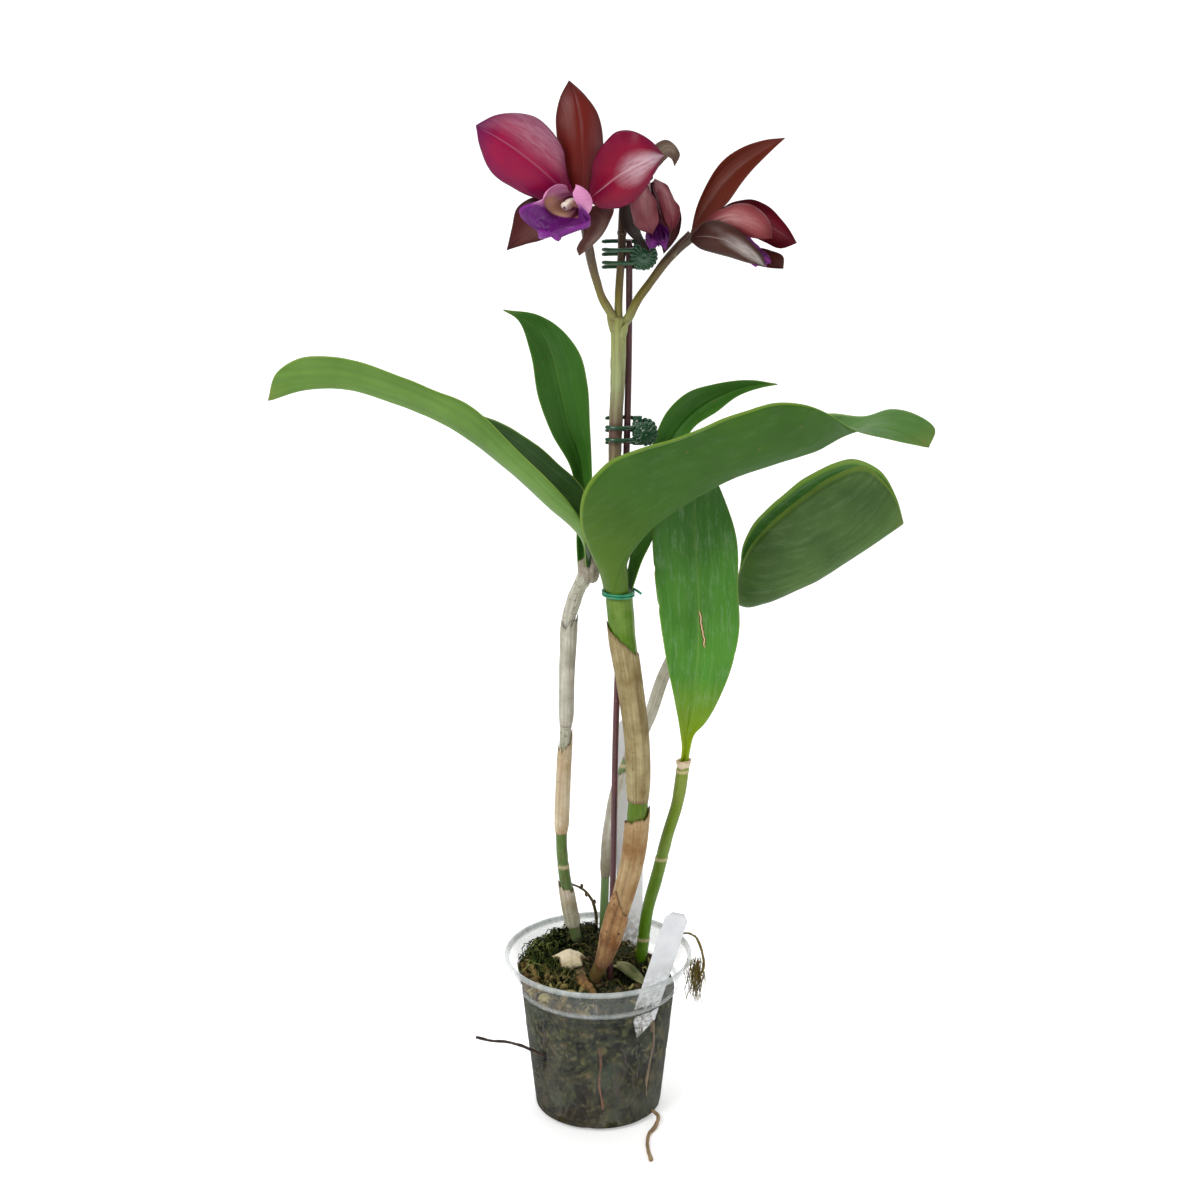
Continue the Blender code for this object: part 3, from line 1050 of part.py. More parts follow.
def label_slot(foot, top, roll, outward):
    """The plain slot that a label stands in: a box round its foot, longer on the outward side."""
    slot = bmesh.new()
    bmesh.ops.create_cube(slot, size=1)
    up = (Vector(top) - Vector(foot)).normalized()
    across = Vector((math.cos(roll), math.sin(roll), 0))
    across = (across - up * across.dot(up)).normalized()
    facing = across.cross(up)
    turn = Matrix((across, up, facing)).transposed().to_4x4()
    low, high = (-LABEL_THICKNESS / 2 - 0.4 * MM, LABEL_THICKNESS / 2 + 0.4 * MM)
    if outward:
        high = 14 * MM
    sized = Matrix.Diagonal((LABEL_WIDTH + 0.8 * MM, 50 * MM, high - low, 1))
    shifted = Matrix.Translation((0, 24 * MM, (high + low) / 2))
    bmesh.ops.transform(
        slot, matrix=Matrix.Translation(Vector(foot)) @ turn @ shifted @ sized, verts=slot.verts
    )
    return from_bmesh("label_slot", slot, BARK_MOSS, CUTTERS)


def rhizome():
    """The creeping rootstock between the canes, with a stout root tip beside the front cane."""
    body = as_mesh(stem("rhizome", RHIZOME, RHIZOME_RADII, ROOT_BROWN, 10))
    tip = as_mesh(stem("root_tip", ROOT_TIP, ROOT_TIP_RADII, ROOT_BROWN, 7))
    return combine(body, [tip], "UNION")


SCRAP_AXIS = mm((-20, -3.5, 84.8), (-14, -3, 85.6), (-8.5, -4.5, 85.8))
OLD_BRACT = (
    mm((9.5, 3.5, 77.6), (13, -1.5, 78), (18, -5, 75.6), (25, -7.5, 73)),
    mm((10.5, 6.5, 77), (14.5, 3, 79.2), (19.5, -1.5, 77.2), (25, -7.5, 73)),
    mm((12.5, 9, 77.6), (17, 6, 78), (22, 1, 75.6), (25, -7.5, 73)),
)


def litter():
    """What lies on the mix: a curled papery scrap, a dry bract and a dead twig with buds."""
    path = rail(SCRAP_AXIS, 8)
    radius = profile(mm(4.6, 4.4, 3.0), 8)
    along = unit(np.gradient(path, axis=0))
    side = unit(np.cross(along, np.array([0, 0, 1.0])))
    over = np.cross(side, along)

    def curl(u, v):
        k = int(round(u * 7))
        angle = math.radians(-60 + 250 * v)
        way = math.cos(angle) * side[k] + math.sin(angle) * over[k]
        return path[k] + radius[k] * (1 - 0.12 * v) * way

    add_wall(from_bmesh("papery_scrap", grid_surface(7, 7, curl), SHEATH_WHITE), 0.7 * MM)
    blade("dry_bract", *OLD_BRACT, SHEATH_TAN, 0.8 * MM, 7, 4, 1.6)
    line = mm((-1, 34.5, 82.4), (-1.5, 35, 96), (-4, 34.5, 104), (-9, 34, 110), (-15.5, 33, 113.5))
    twig = as_mesh(stem("dead_twig", line, mm(0.9, 0.8, 0.6), ROOT_BROWN, 9, sides=1))
    knots = rail(line, 40)
    buds = []
    for k, turn in ((20, 0.4), (26, 3.3), (32, 1.0), (39, 2.5)):
        bud = bmesh.new()
        bmesh.ops.create_icosphere(bud, subdivisions=1, radius=1.35 * MM)
        aside = Vector((math.cos(turn), 0.3, math.sin(turn))) * 0.7 * MM
        bmesh.ops.translate(bud, vec=Vector(knots[k]) + aside, verts=bud.verts)
        buds.append(from_bmesh("bud", bud, ROOT_BROWN))
    combine(twig, buds, "UNION")


# Loose roots: points and radii of the root through the pot's wall, of the root on the floor, and
# of the loop of dead moss over the rim
SIDE_ROOT = mm((-28.6, -26.8, 41.2), (-33, -28, 44.2), (-41, -28, 48), (-48, -28, 50),
               (-57, -30, 52), (-64, -32, 55))
SIDE_ROOT_RADII = mm(0.9, 0.95, 0.8, 0.75, 0.9)
TABLE_ROOT = mm((29.2, -19, 4.3), (32, -22, 3.2), (31, -29, 1.6), (27, -38, 1.3), (26, -52, 1.3),
                (27.5, -63, 1.3))
TABLE_ROOT_RADII = mm(1.2, 1.25, 1.2, 1.0, 1.25)
MOSS_LOOP = mm((37.5, 13.5, 73), (40.5, 15, 82), (43.6, 15.6, 89.6), (48, 16.4, 91.6),
               (52.5, 16, 90), (56, 14.5, 83), (57.5, 13, 74), (55, 12, 66))
MOSS_LOOP_RADII = mm(0.7, 1.0, 1.1, 1.2, 1.6)
MOSS_SEED = 3


def loose_roots():
    """Roots that have left the pot, and a tuft of dead moss that hangs over its rim."""
    stem("side_root", SIDE_ROOT, SIDE_ROOT_RADII, ROOT_BROWN, 11, sides=1)
    stem("table_root", TABLE_ROOT, TABLE_ROOT_RADII, ROOT_BROWN, 11, sides=1)
    loop = as_mesh(stem("rim_moss", MOSS_LOOP, MOSS_LOOP_RADII, ROOT_BROWN, 14, sides=1))
    draw = random.Random(MOSS_SEED)
    tufts = []
    for _ in range(4):
        aside, ahead, rise = draw.uniform(-1.5, 1.5), draw.uniform(-1.2, 1.2), draw.uniform(-3, 3)
        start = np.array([54.5 + aside, 12.4 + ahead, 72 + rise])
        drop = draw.uniform(9, 15)
        lean = np.array([draw.uniform(-3.5, 1), draw.uniform(-2, 2), -drop])
        path = mm(*(start + lean * t for t in (0, 0.5, 1)))
        tufts.append(as_mesh(stem("tuft", path, mm(2.0, 1.5, 0.7), ROOT_BROWN, 4, sides=1)))
    combine(loop, tufts, "UNION")


def bore(points, radii, count):
    """A round cutter along a smooth curve, for a hole in the mix."""
    return as_mesh(stem("bore", points, list(radii), BARK_MOSS, count, collection=CUTTERS))


def lengthened(points, extra):
    """The same points with the first and the last moved outwards along the curve."""
    longer = points.copy()
    longer[0] += extra * unit(points[0] - points[1])
    longer[-1] += extra * unit(points[-1] - points[-2])
    return longer


def bores():
    """Plain holes in the mix for everything that stands or lies in it."""
    made = []
    lift = GAP + 0.1 * MM + SHEATH_WALL + GAP
    for name, (points, radii, count) in CANES.items():
        low = rail(points, 60)[:22]
        room = GAP + (lift + SHEATH_WALL if name == "cane_front" else lift)
        low[0][2] -= 1.0 * MM
        made.append(bore(low, profile(radii, 60)[:22] + room, 12))
    around_stake = rail(STAKE, 40)[:10]
    around_stake[0][2] -= 1.0 * MM
    made.append(bore(around_stake, [STAKE_RADIUS + 0.45 * MM] * 2, 8))
    made.append(bore(lengthened(RHIZOME, 0.6 * MM), RHIZOME_RADII + 0.4 * MM, 10))
    made.append(bore(lengthened(ROOT_TIP, 0.6 * MM), ROOT_TIP_RADII + 0.4 * MM, 7))
    made.append(label_slot(LABEL_FOOT, LABEL_TOP, LABEL_TURN, True))
    made.append(label_slot(REAR_LABEL_FOOT, REAR_LABEL_TOP, 0.0, False))
    return made


clear_pot()
growing_mix(bores())
canes()
sheaths()
leaves()
flower_stem()
tepals()
lips()
columns()
stem("stake", STAKE, [STAKE_RADIUS, STAKE_RADIUS], STAKE_MAROON, 10)
clips()
twist_tie()
labels()
rhizome()
litter()
loose_roots()
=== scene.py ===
# %% [markdown]
# A potted cattleya orchid, from an imported frame to a dressed scene with camera and lamps
#
# The frame holds the plain solids that carry the collisions. This lesson dresses each of them:
# leaves with veins, petals with a painted sheen highlight, papery sheaths, wiry moss and a clear nursery pot.
# Every surface is worked out from a few rails of given points, so each section first
# states the points, then the formula, then makes the piece.
#
# ## 1. Load the frame
#
# Everything is in metres, +Z is up and the blooms face -Y.

# %% Load the frame
import json
import math

import bpy
import numpy as np
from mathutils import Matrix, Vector

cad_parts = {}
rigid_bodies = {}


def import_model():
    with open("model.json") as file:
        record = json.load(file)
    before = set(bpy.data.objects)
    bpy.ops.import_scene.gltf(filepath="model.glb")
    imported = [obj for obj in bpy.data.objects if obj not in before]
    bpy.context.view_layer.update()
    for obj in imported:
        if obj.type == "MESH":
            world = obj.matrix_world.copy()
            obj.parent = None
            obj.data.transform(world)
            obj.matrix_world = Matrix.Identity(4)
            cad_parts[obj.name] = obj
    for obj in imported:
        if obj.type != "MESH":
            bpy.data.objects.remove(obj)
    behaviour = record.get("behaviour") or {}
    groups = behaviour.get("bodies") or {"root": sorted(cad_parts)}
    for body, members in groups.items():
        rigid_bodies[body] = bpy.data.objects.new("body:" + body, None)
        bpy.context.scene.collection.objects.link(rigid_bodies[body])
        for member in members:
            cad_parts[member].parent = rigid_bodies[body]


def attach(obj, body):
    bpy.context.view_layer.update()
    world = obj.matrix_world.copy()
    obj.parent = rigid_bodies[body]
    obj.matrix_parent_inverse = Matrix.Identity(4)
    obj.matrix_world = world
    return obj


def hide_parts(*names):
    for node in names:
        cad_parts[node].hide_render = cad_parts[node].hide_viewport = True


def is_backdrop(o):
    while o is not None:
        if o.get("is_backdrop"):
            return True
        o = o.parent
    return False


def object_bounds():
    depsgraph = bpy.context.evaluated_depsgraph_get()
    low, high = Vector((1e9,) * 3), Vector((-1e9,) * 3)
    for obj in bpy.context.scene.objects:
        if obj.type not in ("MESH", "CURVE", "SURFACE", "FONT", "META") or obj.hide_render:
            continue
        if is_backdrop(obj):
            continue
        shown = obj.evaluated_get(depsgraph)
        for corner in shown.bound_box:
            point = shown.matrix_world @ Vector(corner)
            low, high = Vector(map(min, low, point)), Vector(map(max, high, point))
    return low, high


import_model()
cad_low, cad_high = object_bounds()
MM = 0.001
PLANT = "plant_and_pot"

# %% [markdown]
# ## 2. The camera and the light
#
# The camera stands about a metre in front of the pot and looks 16 degrees down, with a 60 mm
# lens on a 36 mm sensor. A pale floor and a white surround give the even light of a studio, and
# soft lamps give the leaves their long highlights.

# %% Camera
scene = bpy.context.scene


def added(name, data):
    """A new object with this data, in the scene."""
    made = bpy.data.objects.new(name, data)
    scene.collection.objects.link(made)
    return made


camera = added("camera", bpy.data.cameras.new("camera"))
camera.data.lens = 60
camera.data.sensor_width = 36
camera.location = (0.001, -0.978, 0.565)
camera.rotation_euler = (math.radians(90 - 16), 0, 0)
scene.camera = camera
scene.view_settings.view_transform = "Standard"

# %% Floor, surround and lamps
LAMPS = {  # place, aim, size, power
    "key_lamp": ((-1.1, -1.3, 1.7), (0, 0, 0.3), 0.8, 23),
    "fill_lamp": ((1.4, -0.9, 1.1), (0, 0, 0.35), 1.1, 5),
    "top_lamp": ((0.1, 0.5, 1.8), (0, 0, 0.3), 1.0, 8),
}
for name, (place, aim, size, power) in LAMPS.items():
    lamp = added(name, bpy.data.lights.new(name, "AREA"))
    lamp.data.shape, lamp.data.size, lamp.data.energy = "SQUARE", size, power
    lamp.location = place
    lamp.rotation_euler = (Vector(aim) - Vector(place)).to_track_quat("-Z", "Y").to_euler()

# The surround is white to the camera and dimmer as a light
surround = bpy.data.worlds.new("surround")
surround.use_nodes = True
sky = surround.node_tree
sky.nodes["Background"].inputs["Color"].default_value = (1, 1, 1, 1)
seen, glow = sky.nodes.new("ShaderNodeLightPath"), sky.nodes.new("ShaderNodeMapRange")
glow.inputs["To Min"].default_value, glow.inputs["To Max"].default_value = 0.4, 1.0
sky.links.new(seen.outputs["Is Camera Ray"], glow.inputs["Value"])
sky.links.new(glow.outputs["Result"], sky.nodes["Background"].inputs["Strength"])
scene.world = surround

# The floor bends up behind the plant on a quarter circle, so that no edge shows
bend = [(1.0 + 1.2 * math.sin(a), 1.2 - 1.2 * math.cos(a)) for a in np.linspace(0, math.pi / 2, 24)]
floor_line = [(-2.5, 0.0), *bend, (2.2, 4.0)]
floor_points = [(x, y, z) for y, z in floor_line for x in (-4.0, 4.0)]
floor_faces = [(2 * k, 2 * k + 1, 2 * k + 3, 2 * k + 2) for k in range(len(floor_line) - 1)]
floor_data = bpy.data.meshes.new("floor")
floor_data.from_pydata(floor_points, [], floor_faces)
floor_data.shade_smooth()
floor_white = bpy.data.materials.new("floor_white")
floor_white.use_nodes = True
floor_look = {
    "Base Color": (0.93, 0.93, 0.93, 1), "Roughness": 0.9,
    "Emission Color": (1, 1, 1, 1), "Emission Strength": 0.38,
}
for key, value in floor_look.items():
    floor_white.node_tree.nodes["Principled BSDF"].inputs[key].default_value = value
floor_data.materials.append(floor_white)
floor = added("floor", floor_data)
floor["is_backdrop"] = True

# %% [markdown]
# ## 3. Tools: rails, sheets, tubes and noise
#
# A **rail** is a smooth curve through a few points. A **sheet** is a grid of points with a
# thickness, such as a leaf. A **tube** is a ring swept along a rail, such as a stalk. Each tool
# returns a bundle of points, quads, triangles and values per point, and `put` turns a bundle
# into an object. The value called grain holds the place on the surface in metres (across,
# depth, along), so a material can run its fibres along the piece wherever it bends.


# %% Rails, profiles and noise
def mm(*point):
    """One point, or a list of points, given in millimetres, as an array in metres."""
    return np.array(point, float) * MM


def unit(vector):
    """Each vector scaled to length 1:  v / |v|."""
    return vector / np.maximum(np.linalg.norm(vector, axis=-1, keepdims=True), 1e-12)


def run_length(points):
    """The way walked up to each point, along the straight steps between them."""
    return np.concatenate([[0], np.cumsum(np.linalg.norm(np.diff(points, axis=0), axis=1))])


def read_at(at, places, path):
    """The point of a path at each value of at, where places has its value at each point."""
    return np.stack([np.interp(at, places, column) for column in path.T], axis=-1)


def rail(points, count):
    """count points at even distances along a smooth curve through the given points.

    Between points a and b the curve is the cubic
    (2t^3-3t^2+1) a + (t^3-2t^2+t) h s_a + (3t^2-2t^3) b + (t^3-t^2) h s_b,
    with t from 0 to 1, h the chord and s the centred slopes.
    """
    points = np.array(points, float)
    at = run_length(points)
    slope = np.gradient(points, at, axis=0)
    fine = np.linspace(0, at[-1], 40 * len(points))
    k = np.clip(np.searchsorted(at, fine, side="right") - 1, 0, len(points) - 2)
    h = (at[k + 1] - at[k])[:, None]
    t = (fine - at[k])[:, None] / h
    curve = (2 * t**3 - 3 * t**2 + 1) * points[k] + (t**3 - 2 * t**2 + t) * h * slope[k]
    curve = curve + (3 * t**2 - 2 * t**3) * points[k + 1] + (t**3 - t**2) * h * slope[k + 1]
    run = run_length(curve)
    return read_at(np.linspace(0, run[-1], count), run, curve)


def profile(values, count):
    """count values read evenly along a list of values at equal steps."""
    return np.interp(np.linspace(0, 1, count), np.linspace(0, 1, len(values)), values)


def eased(count, places, shares):
    """count values along a piece from 0 to 1, straight between the shares at these places."""
    return np.interp(np.linspace(0, 1, count), places, shares)


def turns(count):
    """count angles round a full turn, without the last one."""
    return np.linspace(0, math.tau, count, endpoint=False)


def grid_of(rows, columns, low=-1):
    """u from 0 to 1 down a column and v from low to 1 along a row."""
    return np.linspace(0, 1, rows)[:, None], np.linspace(low, 1, columns)[None, :]


def noise(points, size, seed=0):
    """Smooth random values from -1 to 1 at each point.

    Space is cut into cubes of this size. Each corner has a random value, and inside a cube the
    eight corners are blended with the weight 3t^2 - 2t^3 along each axis.
    """
    cells = np.asarray(points) / size + 31.7 * seed + 1000
    base = np.floor(cells).astype(np.int64)
    t = cells - base
    t = t * t * (3 - 2 * t)
    total = np.zeros(cells.shape[:-1])
    for corner in np.ndindex(2, 2, 2):
        x, y, z = np.moveaxis(base + corner, -1, 0)
        mixed = (x * 73856093) ^ (y * 19349663) ^ (z * 83492791) ^ (seed * 2654435)
        mixed = (mixed ^ (mixed >> 13)) * 1274126177 & 0xFFFFFFFF
        value = ((mixed ^ (mixed >> 16)) & 0xFFFF) / 32767.5 - 1
        total += value * np.prod(np.where(corner, t, 1 - t), axis=-1)
    return total


def layered(points, size, layers=3, seed=0):
    """Noise with detail: each layer has half the size and half the strength of the last."""
    return sum(noise(points, size / 2**k, seed + k) / 2**k for k in range(layers))


# %% Bundles of points and faces
def bundle(points, quads, triangles=(), **values):
    """A piece of surface: points, faces and named values, one per point."""
    quads, triangles = np.array(quads, int).reshape(-1, 4), np.array(triangles, int).reshape(-1, 3)
    return dict(points=points, quads=quads, triangles=triangles, **values)


def plain(points, quads, triangles=(), **values):
    """A bundle whose grain is the place itself, for pieces without fibres of their own."""
    ones = np.ones(len(points))
    usual = dict(grain=points.copy(), cross=0 * ones, along=0 * ones, upper=ones)
    return bundle(points, quads, triangles, **{**usual, **values})


def join(parts):
    """One bundle from several, with each one's face numbers moved past the points before it."""
    shifts = np.cumsum([0] + [len(part["points"]) for part in parts])
    whole = {key: np.concatenate([part[key] for part in parts]) for key in parts[0]}
    for key in ("quads", "triangles"):
        whole[key] = np.concatenate([part[key] + shift for part, shift in zip(parts, shifts)])
    return whole


def ring_faces(rows, sides):
    """Quads between neighbouring rings of a tube: point k of ring r is number r * sides + k."""
    r, k = np.meshgrid(np.arange(rows - 1) * sides, np.arange(sides), indexing="ij")
    after = (k + 1) % sides
    corners = [r + k, r + after, r + sides + after, r + sides + k]
    return np.stack(corners, axis=-1).reshape(-1, 4)


def loop_faces(rows, sides):
    """Ring faces whose last ring is joined to the first one."""
    return ring_faces(rows + 1, sides) % (rows * sides)


def end_fans(rows, sides):
    """Triangles from the first and last ring to two points put after all the rings."""
    k, total = np.arange(sides), rows * sides
    after = (k + 1) % sides
    first = np.stack([0 * k + total, after, k], axis=1)
    last = np.stack([0 * k + total + 1, total - sides + k, total - sides + after], axis=1)
    return np.concatenate([first, last])


def closed_rings(grid):
    """A body from rings of points, closed by a fan at either end."""
    points = np.concatenate([grid.reshape(-1, 3), grid[[0, -1]].mean(axis=1)])
    return plain(points, ring_faces(*grid.shape[:2]), end_fans(*grid.shape[:2]))


def sheet(middle, thickness, edge=4, tip=None):
    """A thin closed body round a grid of points, such as a leaf or a petal.

    The two faces lie at middle +- n w t / 2, where n is the normal and t the thickness. The
    weight w = sqrt(1 - |v|^edge) across the sheet, v from -1 to 1, rounds its margins. Each row
    becomes a ring that runs along the upper face and back along the lower one.
    """
    rows, columns = middle.shape[:2]
    u, v = grid_of(rows, columns)
    normal = unit(np.cross(np.gradient(middle, axis=1), np.gradient(middle, axis=0)))
    weight = np.sqrt(np.maximum(0, 1 - np.abs(v) ** edge)) + 0 * u
    offset = normal * (weight * thickness / 2)[..., None]
    back = slice(columns - 2, 0, -1)
    rings = np.concatenate([middle + offset, (middle - offset)[:, back]], axis=1)
    sides = rings.shape[1]
    step = np.linalg.norm(np.diff(middle, axis=0), axis=2).mean(axis=1)
    width = np.linalg.norm(middle[:, -1] - middle[:, 0], axis=1)
    span = np.linalg.norm(np.diff(middle, axis=1), axis=2).sum(axis=1)
    grain = np.zeros((rows, columns, 3))
    grain[..., 0] = v * np.maximum(width, span)[:, None] / 2
    grain[..., 2] = np.concatenate([[0], np.cumsum(step)])[:, None]
    values = dict(grain=grain, cross=v + 0 * u, along=u + 0 * v)
    values = {key: np.concatenate([value, value[:, back]], axis=1) for key, value in values.items()}
    values["upper"] = np.concatenate([weight * 0.5 + 0.5, 0.5 - weight[:, back] * 0.5], axis=1)
    for key, value in values.items():
        flat = value.reshape((rows * sides,) + value.shape[2:])
        values[key] = np.concatenate([flat, value[[0, -1], columns // 2]])
    ends = [rings[0].mean(axis=0), rings[-1].mean(axis=0) if tip is None else tip]
    points = np.concatenate([rings.reshape(-1, 3), ends])
    return bundle(points, ring_faces(rows, sides), end_fans(rows, sides), **values)


def tube(path, radii, sides=24, bump=None, squeeze=(1, 1)):
    """A closed round body swept along a path:  path + r (cos a * right + sin a * back).

    bump(points, angle) gives a share of the radius to add at each point. squeeze scales the two
    directions of the ring, for a flattened body.
    """
    rows = len(path)
    along = unit(np.gradient(path, axis=0))
    level = np.abs(along[:, 2]).mean() < 0.7
    guide = np.array([0.12, -0.05, 1.0]) if level else np.array([1.0, 0.02, 0.05])
    right = unit(np.cross(along, np.cross(unit(guide), along)))
    back = np.cross(along, right)
    angle = turns(sides)[None, :]
    radius = (np.ones(rows) * radii)[:, None]
    x, y = radius * np.cos(angle), radius * np.sin(angle)
    reach = squeeze[0] * x[..., None] * right[:, None] + squeeze[1] * y[..., None] * back[:, None]
    if bump is not None:
        reach = reach * (1 + bump(path[:, None] + reach, angle + 0 * radius)[..., None])
    grain = np.stack([x, y, run_length(path)[:, None] + 0 * angle], axis=-1).reshape(-1, 3)
    points = np.concatenate([(path[:, None] + reach).reshape(-1, 3), path[[0, -1]]])
    return plain(
        points, ring_faces(rows, sides), end_fans(rows, sides),
        grain=np.concatenate([grain, grain[[0, -1]]]),
        along=np.concatenate([np.repeat(np.linspace(0, 1, rows), sides), [0, 1]]),
    )


def turned(outline, sides):
    """A closed body of revolution: each outline corner (radius, height) becomes a ring."""
    outline = np.array(outline, float)[:, None]
    angle = turns(sides)[None, :]
    radius, height = outline[..., 0], outline[..., 1]
    points = np.stack([radius * np.cos(angle), radius * np.sin(angle), height + 0 * angle], axis=-1)
    return plain(points.reshape(-1, 3), loop_faces(len(outline), sides))


def ball(middle, radii, rows=8, sides=12, rough=0.0, seed=0):
    """A closed lump: an ellipsoid whose radius grows by rough times a noise."""
    lat, lon = np.linspace(0, math.pi, rows + 2)[1:-1, None], turns(sides)[None, :]
    way = [np.sin(lat) * np.cos(lon), np.sin(lat) * np.sin(lon), np.cos(lat) + 0 * lon]
    way = np.concatenate([np.stack(way, axis=-1).reshape(-1, 3), [[0, 0, 1], [0, 0, -1]]])
    swell = 1 + rough * layered(way + np.array(middle) * 40, 0.7, 2, seed)
    points = np.array(middle) + way * np.array(radii) * swell[:, None]
    return plain(points, ring_faces(rows, sides)[:, ::-1], end_fans(rows, sides)[:, [0, 2, 1]])


made_pieces = []


def ride(made, triangles, nodes=(), body=PLANT):
    """Lets an object ride on a body and stand for the named nodes, and counts its triangles."""
    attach(made, body)
    if nodes:
        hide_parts(*nodes)
    made_pieces.append((made.name, triangles))


def put(name, part, material, nodes=(), slot=None, body=PLANT):
    """Turns a bundle into an object that rides on a body."""
    data = bpy.data.meshes.new(name)
    part = dict(part)
    points, quads, triangles = (part.pop(key) for key in ("points", "quads", "triangles"))
    data.vertices.add(len(points))
    data.vertices.foreach_set("co", points.reshape(-1))
    corners = np.concatenate([quads.reshape(-1), triangles.reshape(-1)])
    data.loops.add(len(corners))
    data.loops.foreach_set("vertex_index", corners)
    sizes = np.concatenate([np.full(len(quads), 4), np.full(len(triangles), 3)])
    data.polygons.add(len(sizes))
    data.polygons.foreach_set("loop_start", np.concatenate([[0], np.cumsum(sizes)[:-1]]))
    data.polygons.foreach_set("use_smooth", np.full(len(sizes), True))
    data.update(calc_edges=True)
    data.validate()
    for key, value in part.items():
        kind, field = ("FLOAT_VECTOR", "vector") if value.ndim == 2 else ("FLOAT", "value")
        data.attributes.new(key, kind, "POINT").data.foreach_set(field, value.reshape(-1))
    data.materials.append(material)
    ride(added(name, data), len(quads) * 2 + len(triangles), nodes, body)

# %% [markdown]
# ## 4. Materials
#
# Every material is one Principled shader fed by small noise fields. Colours are written as the
# values that a picture shows (0 to 255) and turned into linear light. Fibres and veins come
# from the grain value, stretched so that the noise is fine across a piece and long along it.
# Each material starts from one colour and lays thin coats of other tones over it.


# %% Shader tools
def rgb(red, green, blue):
    """A picture colour from 0 to 255 as linear light:  ((c + 0.055) / 1.055) ^ 2.4."""
    share = np.array([red, green, blue]) / 255
    linear = np.where(share <= 0.04045, share / 12.92, ((share + 0.055) / 1.055) ** 2.4)
    return (*(float(value) for value in linear), 1.0)


def dimmed(colour, share):
    """A picture colour with only this share of its linear light."""
    return (*(share * value for value in rgb(*colour)[:3]), 1)


class Paint:
    """A material whose nodes are added by short calls; each call gives back the node's output."""

    def __init__(self, name):
        self.material = bpy.data.materials.new(name)
        self.material.use_nodes = True
        self.tree = self.material.node_tree
        self.shader = self.tree.nodes["Principled BSDF"]
        self.where = self.node("ShaderNodeTexCoord", {}).outputs["Object"]
        self.colour = None

    def node(self, kind, inputs, **settings):
        made = self.tree.nodes.new(kind)
        for key, value in settings.items():
            setattr(made, key, value)
        for key, value in inputs.items():
            self.feed(made.inputs[key], value)
        return made

    def feed(self, socket, value):
        if isinstance(value, bpy.types.NodeSocket):
            self.tree.links.new(value, socket)
        else:
            picture_colour = socket.type == "RGBA" and len(value) == 3
            socket.default_value = rgb(*value) if picture_colour else value

    def value(self, name, kind="Fac"):
        """The value that the piece's points carry under this name."""
        return self.node("ShaderNodeAttribute", {}, attribute_name=name).outputs[kind]

    def axis(self, axis):
        return self.node("ShaderNodeSeparateXYZ", {"Vector": self.where}).outputs[axis]

    def noise(self, scale, detail=3.0, rough=0.55, vector=None):
        inputs = {"Vector": vector or self.where, "Scale": scale, "Detail": detail, "Roughness": rough}
        return self.node("ShaderNodeTexNoise", inputs).outputs["Fac"]

    def streaks(self, scale, detail=3.0, rough=0.55, vector=None, fine=1):
        """Noise stretched by another scale along each axis of the grain."""
        inputs = {0: vector or self.value("grain", "Vector"), 1: scale}
        stretched = self.node("ShaderNodeVectorMath", inputs, operation="MULTIPLY").outputs[0]
        return self.noise(fine, detail, rough, stretched)

    def cells(self, scale, vector=None):
        inputs = {"Vector": vector or self.where, "Scale": scale}
        return self.node("ShaderNodeTexVoronoi", inputs).outputs["Distance"]

    def ramp(self, value, *stops):
        """A smooth step or curve: stops are (position, grey) or (position, colour)."""
        made = self.node("ShaderNodeValToRGB", {"Fac": value})
        elements = made.color_ramp.elements
        elements.remove(elements[1])
        for number, (position, colour) in enumerate(stops):
            element = elements.new(position) if number else elements[0]
            element.position = position
            colour = colour if isinstance(colour, tuple) else (colour, colour, colour, 1)
            element.color = rgb(*colour) if len(colour) == 3 else colour
        return made.outputs["Color"]

    def rise(self, value, low, high, top=1.0):
        return self.ramp(value, (low, 0.0), (high, top))

    def fall(self, value, low, high):
        return self.ramp(value, (low, 1.0), (high, 0.0))

    def between(self, value, low, high):
        inputs = {"Value": value, "From Min": low, "From Max": high}
        return self.node("ShaderNodeMapRange", inputs).outputs[0]

    def blend(self, share, first, second):
        made = self.node("ShaderNodeMix", {}, data_type="RGBA")
        for socket, value in zip((made.inputs[0], made.inputs[6], made.inputs[7]), (share, first, second)):
            self.feed(socket, value)
        return made.outputs[2]

    def maths(self, operation, first, second=0):
        return self.node("ShaderNodeMath", {0: first, 1: second}, operation=operation).outputs[0]

    def times(self, first, second):
        return self.maths("MULTIPLY", first, second)

    def off_middle(self):
        """The distance from the midrib, from 0 to 1."""
        return self.maths("ABSOLUTE", self.value("cross"))

    def coat(self, tone, share, strength=None):
        """Lays a tone over the colour so far, by a share times a strength."""
        share = share if strength is None else self.times(share, strength)
        self.colour = self.blend(share, self.colour, tone)

    def bump(self, height, depth, strength=1.0):
        inputs = {"Height": height, "Distance": depth, "Strength": strength}
        self.feed(self.shader.inputs["Normal"], self.node("ShaderNodeBump", inputs).outputs["Normal"])

    def done(self, roughness, **others):
        self.feed(self.shader.inputs["Base Color"], self.colour)
        self.feed(self.shader.inputs["Roughness"], roughness)
        for key, value in others.items():
            self.feed(self.shader.inputs[key.replace("_", " ")], value)
        return self.material


